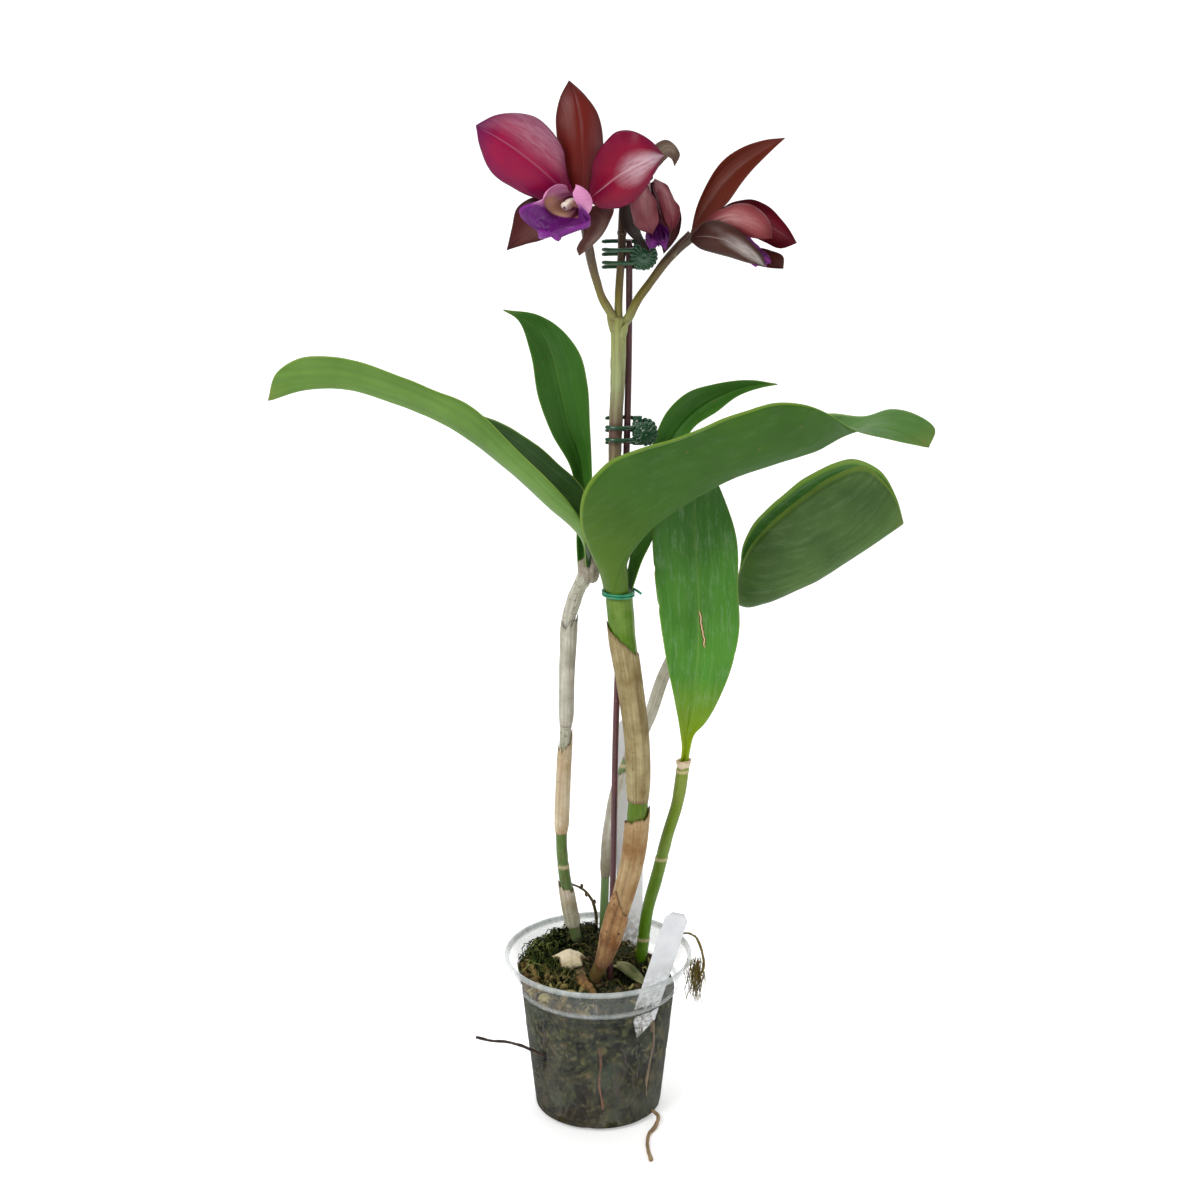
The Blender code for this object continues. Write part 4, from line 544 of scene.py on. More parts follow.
# %% Leaves, canes and stalks
def dry_scar(paint, x, z, half):
    """A crooked upright line, pale inside a dark rim, at x and z and so many metres long each way."""
    up = paint.maths("SUBTRACT", paint.axis("Z"), z)
    streaks = paint.streaks((1, 1, 170), 1, vector=paint.where)
    kinks = paint.times(paint.maths("SUBTRACT", streaks, 0.5), 0.004)
    line = paint.maths("ADD", paint.times(up, 0.16), kinks)
    aside = paint.maths("ADD", paint.maths("SUBTRACT", paint.axis("X"), x), line)
    ends = paint.ramp(paint.times(paint.maths("ABSOLUTE", up), 0.8 / half), (0.7, 1.0), (0.85, 0.0))
    wide = paint.times(paint.maths("ABSOLUTE", aside), 500)
    tone = paint.ramp(wide, (0.08, (216, 190, 150)), (0.2, (92, 44, 18)))
    paint.coat(tone, ends, paint.fall(wide, 0.32, 0.42))


def leaf_paint(name, top, top_light, under, under_light, base_glow=0.0, scar=None, dust=0.1, far_shade=0.0):
    """Parallel veins, a pale midrib line, a lighter underside, a dry margin and a few scars."""
    paint = Paint(name)
    veins, cloud = paint.streaks((1100, 1, 9), 2), paint.noise(34, 4)
    side, along = paint.off_middle(), paint.value("along")
    patch = paint.rise(cloud, 0.3, 0.7)
    upper, lower = paint.blend(patch, top, top_light), paint.blend(patch, under, under_light)
    paint.colour = paint.blend(paint.rise(paint.value("upper"), 0.45, 0.55), lower, upper)
    paint.coat(under_light, paint.rise(veins, 0.3, 0.72), 0.24)
    paint.coat(dimmed(top, 0.55), paint.fall(paint.streaks((230, 1, 6), 2), 0.35, 0.6), 0.22)
    rib = paint.ramp(side, (0.0, 1.0), (0.03, 0.55), (0.07, 0.0))
    paint.coat(under_light, rib, 0.4)
    paint.coat((160, 196, 78), paint.rise(side, 0.965, 0.99), 0.6)
    paint.coat((146, 140, 60), paint.rise(along, 0.94, 1.0), 0.22)
    paint.coat((14, 46, 22), paint.ramp(along, (0.4, 0.0), (0.62, 0.5), (0.85, 1.0)), far_shade)
    foot = paint.times(paint.fall(along, 0.05, 0.3), paint.ramp(side, (0.0, 0.5), (0.1, 1.0)))
    paint.coat((134, 156, 10), foot, base_glow)
    paint.coat((120, 98, 56), paint.rise(paint.noise(210, 2, 0.4), 0.74, 0.78), 0.5)
    paint.coat((150, 176, 140), paint.rise(paint.streaks((330, 1, 70), 8, 0.8), 0.5, 0.75), dust)
    if scar:
        dry_scar(paint, *scar)
    paint.bump(paint.blend(0.35, veins, rib), 0.00022, 0.55)
    return paint.done(paint.ramp(cloud, (0.3, 0.36), (0.75, 0.5)), Specular_IOR_Level=0.2)


def cane_paint(name, low, mid, high, low_height, high_height, worn=0.68):
    """A green skin with stripes along it, paler towards the top, with worn brown flecks."""
    paint = Paint(name)
    stripes = paint.streaks((900, 900, 18))
    share = paint.between(paint.axis("Z"), low_height, high_height)
    paint.colour = paint.ramp(share, (0.0, low), (0.5, mid), (1.0, high))
    paint.coat(dimmed(mid, 0.4), paint.fall(stripes, 0.32, 0.55), 0.4)
    paint.coat((190, 200, 130), paint.rise(paint.noise(60, 4), 0.5, 0.7), 0.16)
    paint.coat((92, 70, 40), paint.rise(paint.noise(420, 2), worn, worn + 0.06), 0.55)
    paint.coat((204, 184, 146), paint.value("mark"))
    paint.bump(stripes, 0.0003, 0.6)
    return paint.done(0.38, Specular_IOR_Level=0.25)


def stalk_paint():
    """Pale green with purple-brown streaks, purplest below the fork and olive above it."""
    paint = Paint("stalk_skin")
    paint.colour = paint.ramp(
        paint.between(paint.axis("Z"), 0.29, 0.5),
        (0.0, (156, 172, 92)), (0.28, (150, 150, 94)), (0.38, (120, 88, 78)),
        (0.5, (160, 168, 116)), (0.62, (152, 160, 92)), (0.7, (120, 110, 20)),
        (0.8, (72, 54, 20)), (0.9, (50, 24, 20)),
    )
    streaks = paint.streaks((700, 700, 22), 4)
    paint.coat((96, 66, 62), paint.rise(streaks, 0.42, 0.66), 0.5)
    shine = paint.streaks((300, 300, 60), 2, vector=paint.where)
    paint.coat((196, 186, 150), paint.rise(shine, 0.6, 0.8), 0.25)
    paint.coat((70, 40, 40), paint.rise(paint.noise(700, 2), 0.68, 0.73), 0.5)
    paint.bump(streaks, 0.00025, 0.5)
    return paint.done(0.36, Specular_IOR_Level=0.5)


def dry_paint(name, light, dark, spot, spots=0.35, dirt=None):
    """Dry papery skin: long pale fibres, darker folds, mould flecks and dirt near the mix."""
    paint = Paint(name)
    fibres, folds = paint.streaks((1300, 1300, 14), 4), paint.streaks((330, 330, 9), 2)
    cloud = paint.noise(75, 4)
    paint.colour = paint.blend(paint.rise(cloud, 0.35, 0.65), light, dark)
    paint.coat(dark, paint.fall(fibres, 0.38, 0.56), 0.6)
    paint.coat(spot, paint.fall(folds, 0.32, 0.48), 0.4)
    paint.coat(spot, paint.rise(paint.noise(520, 3, 0.6), 0.6, 0.68), spots)
    rim = paint.ramp(paint.value("along"), (0.0, 1.0), (0.03, 0.0), (0.965, 0.0), (1.0, 0.8))
    paint.coat(spot, rim, 0.6)
    if dirt:
        soiled = paint.ramp(cloud, (0.3, 0.3), (0.62, 1.0))
        paint.coat(dirt[2], paint.between(paint.axis("Z"), dirt[1], dirt[0]), soiled)
    paint.bump(paint.blend(0.5, fibres, folds), 0.00045, 0.8)
    return paint.done(paint.ramp(cloud, (0.3, 0.62), (0.7, 0.85)), Specular_IOR_Level=0.3)


# %% Petals, lips and the small parts
def petal_paint(name, heart, body, edge, sheen, sheen_place, back, sheen_amount):
    """Fine veins from the foot to the tip, a darker heart, and a painted highlight: a streaked silvery sheen.

    The painted sheen lies where the sheet's own coordinates are near sheen_place (across, along), with a thin
    line of it down the midrib.
    """
    paint = Paint(name)
    cross, along, side = paint.value("cross"), paint.value("along"), paint.off_middle()
    veins, cloud = paint.streaks((1100, 1, 26)), paint.noise(90)
    paint.colour = paint.ramp(along, (0.02, heart), (0.38, body), (0.8, body), (1.0, edge))
    paint.coat(edge, paint.rise(side, 0.55, 1.0), 0.6)
    paint.coat(edge, paint.rise(veins, 0.4, 0.7), 0.3)
    paint.coat(heart, paint.rise(cloud, 0.4, 0.7), 0.25)
    # Painted highlight: a pale line of the sheen colour down the midrib
    paint.coat(sheen, paint.fall(side, 0.0, 0.05), 0.4 * sheen_amount)
    # Painted highlight: a streaked pale patch round sheen_place, where the petal catches the light
    du = paint.times(paint.maths("SUBTRACT", cross, sheen_place[0]), 1.5)
    dv = paint.times(paint.maths("SUBTRACT", along, sheen_place[1]), 2.3)
    away = paint.maths("ADD", paint.times(du, du), paint.times(dv, dv))
    near = paint.ramp(away, (0.0, 1.0), (0.3, 0.6), (0.7, 0.16), (1.0, 0.0))
    sheen_streaks = paint.ramp(paint.streaks((560, 1, 120), 6, 0.62), (0.36, 0.4), (0.66, 1.0))
    paint.coat(sheen, paint.times(near, sheen_streaks), sheen_amount)
    reverse = paint.blend(paint.rise(veins, 0.35, 0.7, 0.6), back, dimmed(back, 0.5))
    paint.colour = paint.blend(paint.rise(paint.value("upper"), 0.4, 0.6), reverse, paint.colour)
    paint.bump(paint.blend(0.4, veins, cloud), 0.00028, 0.6)
    return paint.done(0.4, Specular_IOR_Level=0.2)


def lip_paint(name, throat, hood, hood_inside, lobe, lobe_edge, hood_end):
    """A pale hood that turns deep violet in the front lobe, with veins fanning to its frill."""
    paint = Paint(name)
    along, side, veins = paint.value("along"), paint.off_middle(), paint.streaks((700, 1, 30))
    inner = paint.ramp(side, (0.0, throat), (0.16, hood_inside), (0.56, hood_inside), (0.76, hood))
    inner = paint.blend(paint.fall(along, 0.1, 0.32), inner, throat)
    paint.colour = paint.blend(paint.rise(paint.value("upper"), 0.4, 0.6), hood, inner)
    paint.coat((240, 190, 220), paint.rise(veins, 0.45, 0.7), 0.3)
    reach = paint.maths("SUBTRACT", along, paint.times(side, 0.26))
    front = paint.rise(reach, hood_end, hood_end + 0.06)
    paint.coat(paint.blend(paint.times(paint.rise(veins, 0.4, 0.7), 0.35), lobe, lobe_edge), front)
    hem = paint.maths("MAXIMUM", paint.rise(side, 0.88, 1.0), paint.rise(along, 0.93, 1.0))
    paint.coat(lobe_edge, paint.times(front, hem), 0.6)
    paint.bump(paint.blend(0.3, veins, paint.noise(500)), 0.0004, 0.7)
    return paint.done(0.5, Specular_IOR_Level=0.35)


def plain_paint(name, first, second, scale, roughness, stretch=(1, 1, 1), bump=0.0001, specks=None, **others):
    """Two colours mixed by noise, with optional fine specks, for smooth or earthy small parts."""
    paint = Paint(name)
    cloud = paint.streaks(stretch, 4, vector=paint.where, fine=scale)
    paint.colour = paint.blend(paint.rise(cloud, 0.35, 0.65), first, second)
    if specks:
        fineness, strength, tone = specks
        paint.coat(tone, paint.rise(paint.noise(fineness), 0.6, 0.68), strength)
    paint.bump(cloud, bump, 0.7)
    return paint.done(roughness, **others)


# %% Pot, growing mix and roots
def pot_paint():
    """Clear plastic with a faint milk, fine vertical flow lines and a bloom of dried droplets."""
    paint = Paint("clear_pot_plastic")
    haze, height = paint.noise(55, 4), paint.axis("Z")
    flow = paint.streaks((260, 260, 12), vector=paint.where)
    milk = paint.blend(paint.rise(haze, 0.3, 0.7), (0.008, 0.008, 0.008, 1), (0.035, 0.035, 0.035, 1))
    collar = paint.ramp(
        paint.between(height, 0.07, 0.09),
        (0.0, 0.0), (0.05, 0.26), (0.14, 0.3), (0.2, 0.06), (0.78, 0.06), (0.83, 0.42), (0.9, 0.6),
    )
    stain = paint.times(paint.fall(paint.cells(330), 0.1, 0.2), 0.03)
    behind = paint.times(paint.rise(paint.axis("Y"), 0.0, 0.02), paint.rise(height, 0.0745, 0.078, 0.2))
    alpha = milk
    for more in (collar, stain, behind):
        alpha = paint.maths("ADD", alpha, more)
    paint.colour = paint.blend(paint.rise(flow, 0.4, 0.6), (200, 205, 202), (170, 178, 176))
    paint.bump(paint.blend(0.5, flow, haze), 0.00015, 0.5)
    rough = paint.ramp(haze, (0.3, 0.12), (0.7, 0.28))
    return paint.done(rough, Alpha=alpha, Specular_IOR_Level=0.7)


def mix_paint():
    """Wet bark and moss behind the wall: near-black chunks, olive moss, pale mould, thin roots."""
    paint = Paint("growing_mix_body")
    flat = paint.node("ShaderNodeVectorMath", {0: paint.where, 1: (1, 1, 0.8)}, operation="MULTIPLY")
    chunks, edges = paint.cells(130), paint.cells(130, flat.outputs[0])
    cloud, fine = paint.noise(105, 6, 0.7), paint.noise(420, 5, 0.75)
    tones = (
        (0.36, (12, 14, 10)), (0.45, (30, 34, 22)), (0.54, (60, 62, 36)), (0.66, (104, 88, 56)))
    paint.colour = paint.ramp(cloud, *tones)
    paint.coat((58, 40, 22), paint.ramp(paint.axis("Z"), (0.012, 0.55), (0.05, 0.0)))
    paint.coat((12, 13, 10), paint.rise(chunks, 0.2, 0.6, 0.6))
    paint.coat((108, 106, 70), paint.rise(fine, 0.52, 0.66), 0.6)
    paint.coat((12, 13, 8), paint.fall(fine, 0.36, 0.46), 0.7)
    paint.coat((72, 80, 62), paint.rise(paint.noise(42), 0.5, 0.66, 0.45))
    paint.bump(paint.blend(0.4, cloud, edges), 0.0008, 0.6)
    return paint.done(0.85, Specular_IOR_Level=0.15)


def moss_paint(name, dark, mid, light):
    """Moss threads: each one takes its own green or brown from its value called tone."""
    paint = Paint(name)
    grit = paint.noise(900)
    paint.colour = paint.ramp(paint.value("tone"), (0.0, dark), (0.55, mid), (1.0, light))
    paint.coat(dark, paint.fall(grit, 0.4, 0.6), 0.4)
    paint.bump(grit, 0.0002, 0.6)
    return paint.done(0.85, Specular_IOR_Level=0.25)


def column_paint():
    """A cream column, blushed pink at its foot, with a white cap and a purple spot."""
    paint = Paint("skin_column")
    cloud, along = paint.noise(400), paint.value("along")
    paint.colour = paint.ramp(
        along, (0.0, (190, 130, 160)), (0.5, (222, 190, 190)), (0.8, (238, 226, 206)))
    paint.coat((200, 160, 150), paint.rise(cloud, 0.4, 0.7, 0.35))
    paint.colour = paint.blend(paint.value("upper"), (110, 24, 90), paint.colour)
    paint.bump(cloud, 0.0001, 0.5)
    return paint.done(0.4, Subsurface_Weight=0.15, Subsurface_Scale=0.002)


def label_paint(name, soil_low, soil_high):
    """Bare white plastic with a cool tint, brown dirt that creeps up from the mix, and scuffs."""
    paint = Paint(name)
    patch, grit = paint.rise(paint.noise(110), 0.4, 0.7), paint.rise(paint.noise(420, 5, 0.7), 0.42, 0.56)
    paint.colour = paint.blend(patch, (226, 228, 230), (216, 219, 222))
    paint.coat((92, 84, 60), paint.between(paint.axis("Z"), soil_high, soil_low), grit)
    scuff = paint.streaks((40, 900, 900), vector=paint.where)
    paint.coat((150, 154, 160), paint.rise(scuff, 0.6, 0.7), 0.15)
    paint.bump(scuff, 0.00008, 0.4)
    return paint.done(0.4, Subsurface_Weight=0.05, Subsurface_Scale=0.002)

# %% [markdown]
# ## 5. Measurements
#
# These are the same points and sizes that the solids are made from, in millimetres:
# rails of leaves and petals, the middle lines of canes and stems, and the sizes of the made
# things. The finer pieces below follow them, so they stay over their solids.

# %% Pot, mix and small sizes
RIM_RADIUS = 50 * MM
LEDGE_HEIGHT, LEDGE_RADIUS, BASE_RADIUS = 72 * MM, 42.6 * MM, 35 * MM
WALL, FLOOR = 1.0 * MM, 1.4 * MM
DRAIN_COUNT, DRAIN_FIRST_ANGLE = 8, math.radians(-33)
DRAIN_HALF_WIDTH, DRAIN_HALF_HEIGHT, DRAIN_HEIGHT = 3.8 * MM, 2.2 * MM, 4.4 * MM
SLIT_ANGLE, SLIT_WIDTH, SLIT_LOW, SLIT_HIGH = math.radians(223), 3.2 * MM, 33 * MM, 46 * MM
MIX_LEVEL = 69 * MM
SHEATH_WALL = 0.7 * MM
STAKE_RADIUS = 1.65 * MM
LABEL_WIDTH, LABEL_THICKNESS = 14.5 * MM, 0.7 * MM
PIN_RADIUS, KNUCKLE_RADIUS, KNUCKLE_BORE = 0.8 * MM, 2.2 * MM, 0.9 * MM
FINGER_RADIUS, FINGER_PITCH = 1.05 * MM, 6.2 * MM
# Mounds of the growing mix: centre x, centre y, height and spread, in millimetres
MOUNDS = [(-14, 10, 8, 12.5), (-5, 27, 14, 15), (22, 18, 6, 10), (-9, -7, 6, 7), (-28, -6, 4, 9)]

# %% Canes and leaves
# Canes: points up the middle of each cane, and its radii from the lowest point to the top
CANES = {
    "cane_left": (mm((-9, 13, 66), (-11, 16, 83), (-16, 16, 111), (-19.5, 17.5, 140), (-19, 18, 171),
        (-17, 16, 213), (-16, 14.5, 250), (-13, 13, 279), (-7.5, 12, 292), (-4, 12, 298.5)),
        mm(2.6, 3.2, 3.3, 3.1, 3.0, 3.0, 3.1, 3.2, 3.9, 3.6), 16),
    "cane_front": (mm((-5, -5, 66), (-1.5, -8, 78), (3, -11.5, 90), (8, -13, 108), (13, -12, 126),
        (18, -11, 147), (20.5, -9.5, 175), (20, -8, 212), (16, -7, 244), (12.8, -6, 266), (10.3, -6, 290.3)),
        mm(3.4, 3.9, 4.4, 4.9, 5.2, 5.4, 5.5, 5.5, 5.8, 6.8, 7.1), 17),
    "cane_right": (mm((20, 17, 60), (23, 16, 76), (27, 14, 108), (31, 12, 125), (37, 10, 152), (42, 7, 172),
        (44.8, 5, 194.4)),
        mm(3.0, 3.4, 3.3, 3.5, 3.2, 3.3, 3.5), 12),
    "cane_back": (mm((2, 28, 64), (3, 30, 88), (4, 32, 120), (6, 35, 146), (14, 40, 180), (27, 46, 204),
        (36, 50, 229), (52, 51, 256), (69.5, 50, 270.8)),
        mm(2.2, 2.5, 2.3, 2.2, 2.1, 2.2, 2.1, 2.2, 2.8), 17),
}

# Leaves: left margin, midrib and right margin, seen from the front, from the base to the tip
LEAVES = {
    "leaf_long_left": (mm((-6, 6, 300.5), (-9, -6, 328), (-21, -12, 346), (-43.5, -16, 370),
        (-61, -18, 386.5), (-83.5, -20, 398), (-111, -20, 408.5), (-130, -19, 412), (-145.5, -17, 410.5),
        (-156.5, -13, 403), (-162, -8, 388.5)),
        mm((-3.2, 10, 299.7), (-7.5, 7, 314.5), (-26.5, 2, 335), (-48.5, -3, 357), (-71.5, -7, 375),
        (-98.5, -9, 388), (-124, -10, 395.5), (-144.5, -10, 394.5), (-162, -8, 388.5)),
        mm((-1.2, 14.5, 300.4), (-4, 14, 323), (-7, 14, 339), (-20.5, 13, 353), (-40.5, 11, 369),
        (-63, 8, 380.5), (-86, 5, 391), (-113.5, 2, 402), (-133, 0, 406), (-148, -2, 404.5), (-157, -5, 399),
        (-162, -8, 388.5)), 1.6),
    "leaf_upright": (mm((-10, 16.4, 292), (-11, 18, 307), (-11, 18, 326), (-14, 19, 349), (-23.5, 20, 366.5),
        (-30, 21, 384), (-34, 19, 408), (-40.5, 13, 426), (-47, 8, 431)),
        mm((-7.5, 18.4, 291), (-7.5, 22, 310.5), (-7, 24, 331), (-9, 26, 350.5), (-15, 27, 369.5),
        (-19.5, 28, 390), (-24, 27, 408), (-31.5, 21, 422), (-47, 8, 431)),
        mm((-4, 16.9, 292), (-3.5, 18, 309), (-3, 18, 327.5), (-3, 19, 345), (-4, 21, 370), (-5.5, 22, 393),
        (-8.5, 23, 405.5), (-17, 22, 418), (-29, 16, 427), (-47, 8, 431)), 1.7),
    "leaf_front": (mm((3, -4.5, 291.2), (0.5, -9, 302), (-5.5, -14, 317), (-9, -19, 331), (-7, -24, 346),
        (4, -29, 361), (19, -33, 369.5), (37, -36, 376), (69.5, -38, 388.5), (85.5, -37, 392.5),
        (99, -34, 391.5), (110.5, -31, 386.5), (123, -29, 378.5), (142.5, -26, 372.5), (161, -22, 368)),
        mm((8, -13, 291.5), (10, -16, 302), (14, -18, 312.5), (22.5, -21, 324.5), (44, -24, 342),
        (64.5, -25, 353.5), (87, -24, 361.5), (106, -21, 367), (118, -18, 373), (129, -17, 376.5),
        (142.5, -18, 376), (153, -20, 372.5), (161, -22, 368)),
        mm((15.2, -10, 291.2), (15, -9.5, 301), (12.5, -9.5, 313), (11, -10, 328), (18, -11, 342.5),
        (30.5, -11, 354.5), (50.5, -7, 364), (72.5, -3, 371.5), (95, -2, 378), (114.5, -3, 381.5),
        (132, -6, 380.5), (144.5, -9, 384.5), (156, -13, 382.5), (164.5, -18, 376), (161, -22, 368)), 2.0),
    "leaf_rear": (mm((13.4, 0.5, 291.7), (16, 3, 305), (19.5, 8, 324.5), (23.5, 14, 346.5), (28.5, 19, 364),
        (35, 21, 378), (45.5, 22, 387.5), (58, 22, 391.5), (77, 20, 394), (90.5, 16, 392.5)),
        mm((16, -2.5, 291.7), (19, 1, 305.5), (24.5, 8, 323.5), (30.5, 15, 344.5), (35.5, 21, 361),
        (44.5, 25, 372.5), (56, 27, 381.5), (69.5, 25, 388), (80.5, 21, 391.5), (90.5, 16, 392.5)),
        mm((17.2, -6, 291.7), (22, -4, 305.5), (29.5, 2, 320.5), (36.5, 8, 340), (41.5, 14, 358.5),
        (48.5, 18, 370), (60.5, 20, 378), (71, 20, 386), (82.5, 18, 390.5), (90.5, 16, 392.5)), 1.5),
    "leaf_centre_right": (mm((43.2, 3.4, 195.1), (43.8, 3, 203), (42.5, 2, 213.5), (39.5, -1, 230.5),
        (35, -3, 253), (32, -4, 271.5), (28, -4, 306), (27.5, -3.5, 322.5), (31.5, -1, 337), (38, 2.5, 350.5),
        (48.5, 8.5, 359)),
        mm((45, 6, 194.9), (46, 5.3, 203), (46.5, 5, 211.5), (48.5, 4, 229), (51, 3, 251), (51.5, 3, 273),
        (51, 3, 294.5), (49.5, 4.5, 315), (48.5, 6.5, 335), (48.5, 8.5, 359)),
        mm((47, 3.4, 195.1), (48, 3, 203), (50, 2, 211), (55, 1, 217), (63, -1, 233), (69.5, -2, 253.5),
        (72, -3, 269.5), (71, -3, 290.5), (69.5, 0, 319), (64.5, 3, 334.5), (57.5, 5.5, 349),
        (48.5, 8.5, 359)), 1.5),
    "leaf_far_right": (mm((71.4, 46.5, 273.8), (74, 41, 286.5), (78.5, 36, 301.5), (89.5, 32, 316.5),
        (104, 29, 331.5), (122.5, 28, 343.5), (136.5, 29, 348), (147.5, 31, 339.5), (155, 33, 328),
        (159.5, 36, 316)),
        mm((71.6, 50, 270.3), (78.5, 47, 268), (88.5, 44, 271), (104.5, 42, 278.5), (120.5, 41, 287.5),
        (136.5, 40, 299), (149.5, 38, 308.5), (159.5, 36, 316)),
        mm((71.9, 53.5, 273.3), (75.5, 56, 285), (77.5, 58, 298), (84, 59, 311.5), (99, 58, 327),
        (117, 56, 340), (134, 54, 346.5), (148, 49, 341), (156, 43, 328.5), (159.5, 36, 316)), 2.0),
}

# %% Flower stem and blooms
# Flower stem: the stalk from the front cane and its three branches, each swollen at the bloom
STALK = mm((8.5, -4.5, 291), (8.3, -2, 316), (8, 0.5, 337), (8.3, 1.6, 359), (9, 2, 377), (9.8, 2.6, 398),
    (10, 3, 428))
STALK_RADII = mm(3.4, 3.2, 3.2, 3.3, 3.5, 3.8, 4.0)
BRANCHES = {
    "branch_1": (mm((9, 2.5, 425), (5.5, 1.5, 431.5), (2, 0, 438), (-0.5, -3, 446), (-2.8, -7, 455),
        (-4.5, -12, 464), (-6, -17, 474), (-7.2, -21.5, 482), (-7.5, -25.3, 485.2)),
        mm(2.4, 2.2, 2.0, 2.1, 2.3, 2.4, 2.5, 2.7, 3.0)),
    "branch_2": (mm((10, 3.5, 424), (10.2, 4.6, 439), (10.8, 5, 448), (11.6, 5, 460), (11.8, 7, 471),
        (12.8, 9.8, 483), (16, 10.8, 493.5), (20.4, 9, 499.5), (23.4, 5.4, 498.4), (23.9, 2.2, 495)),
        mm(2.3, 2.0, 2.0, 2.0, 2.1, 2.1, 2.2, 2.3, 2.5, 2.8)),
    "branch_3": (mm((11, 3, 423), (15, 2.4, 428), (19, 1.5, 436), (26, 0.5, 446), (33, 0, 455.5),
        (39, 0, 462), (45.6, 0.1, 468.1)),
        mm(2.5, 2.3, 2.2, 2.2, 2.3, 2.6, 3.0)),
}

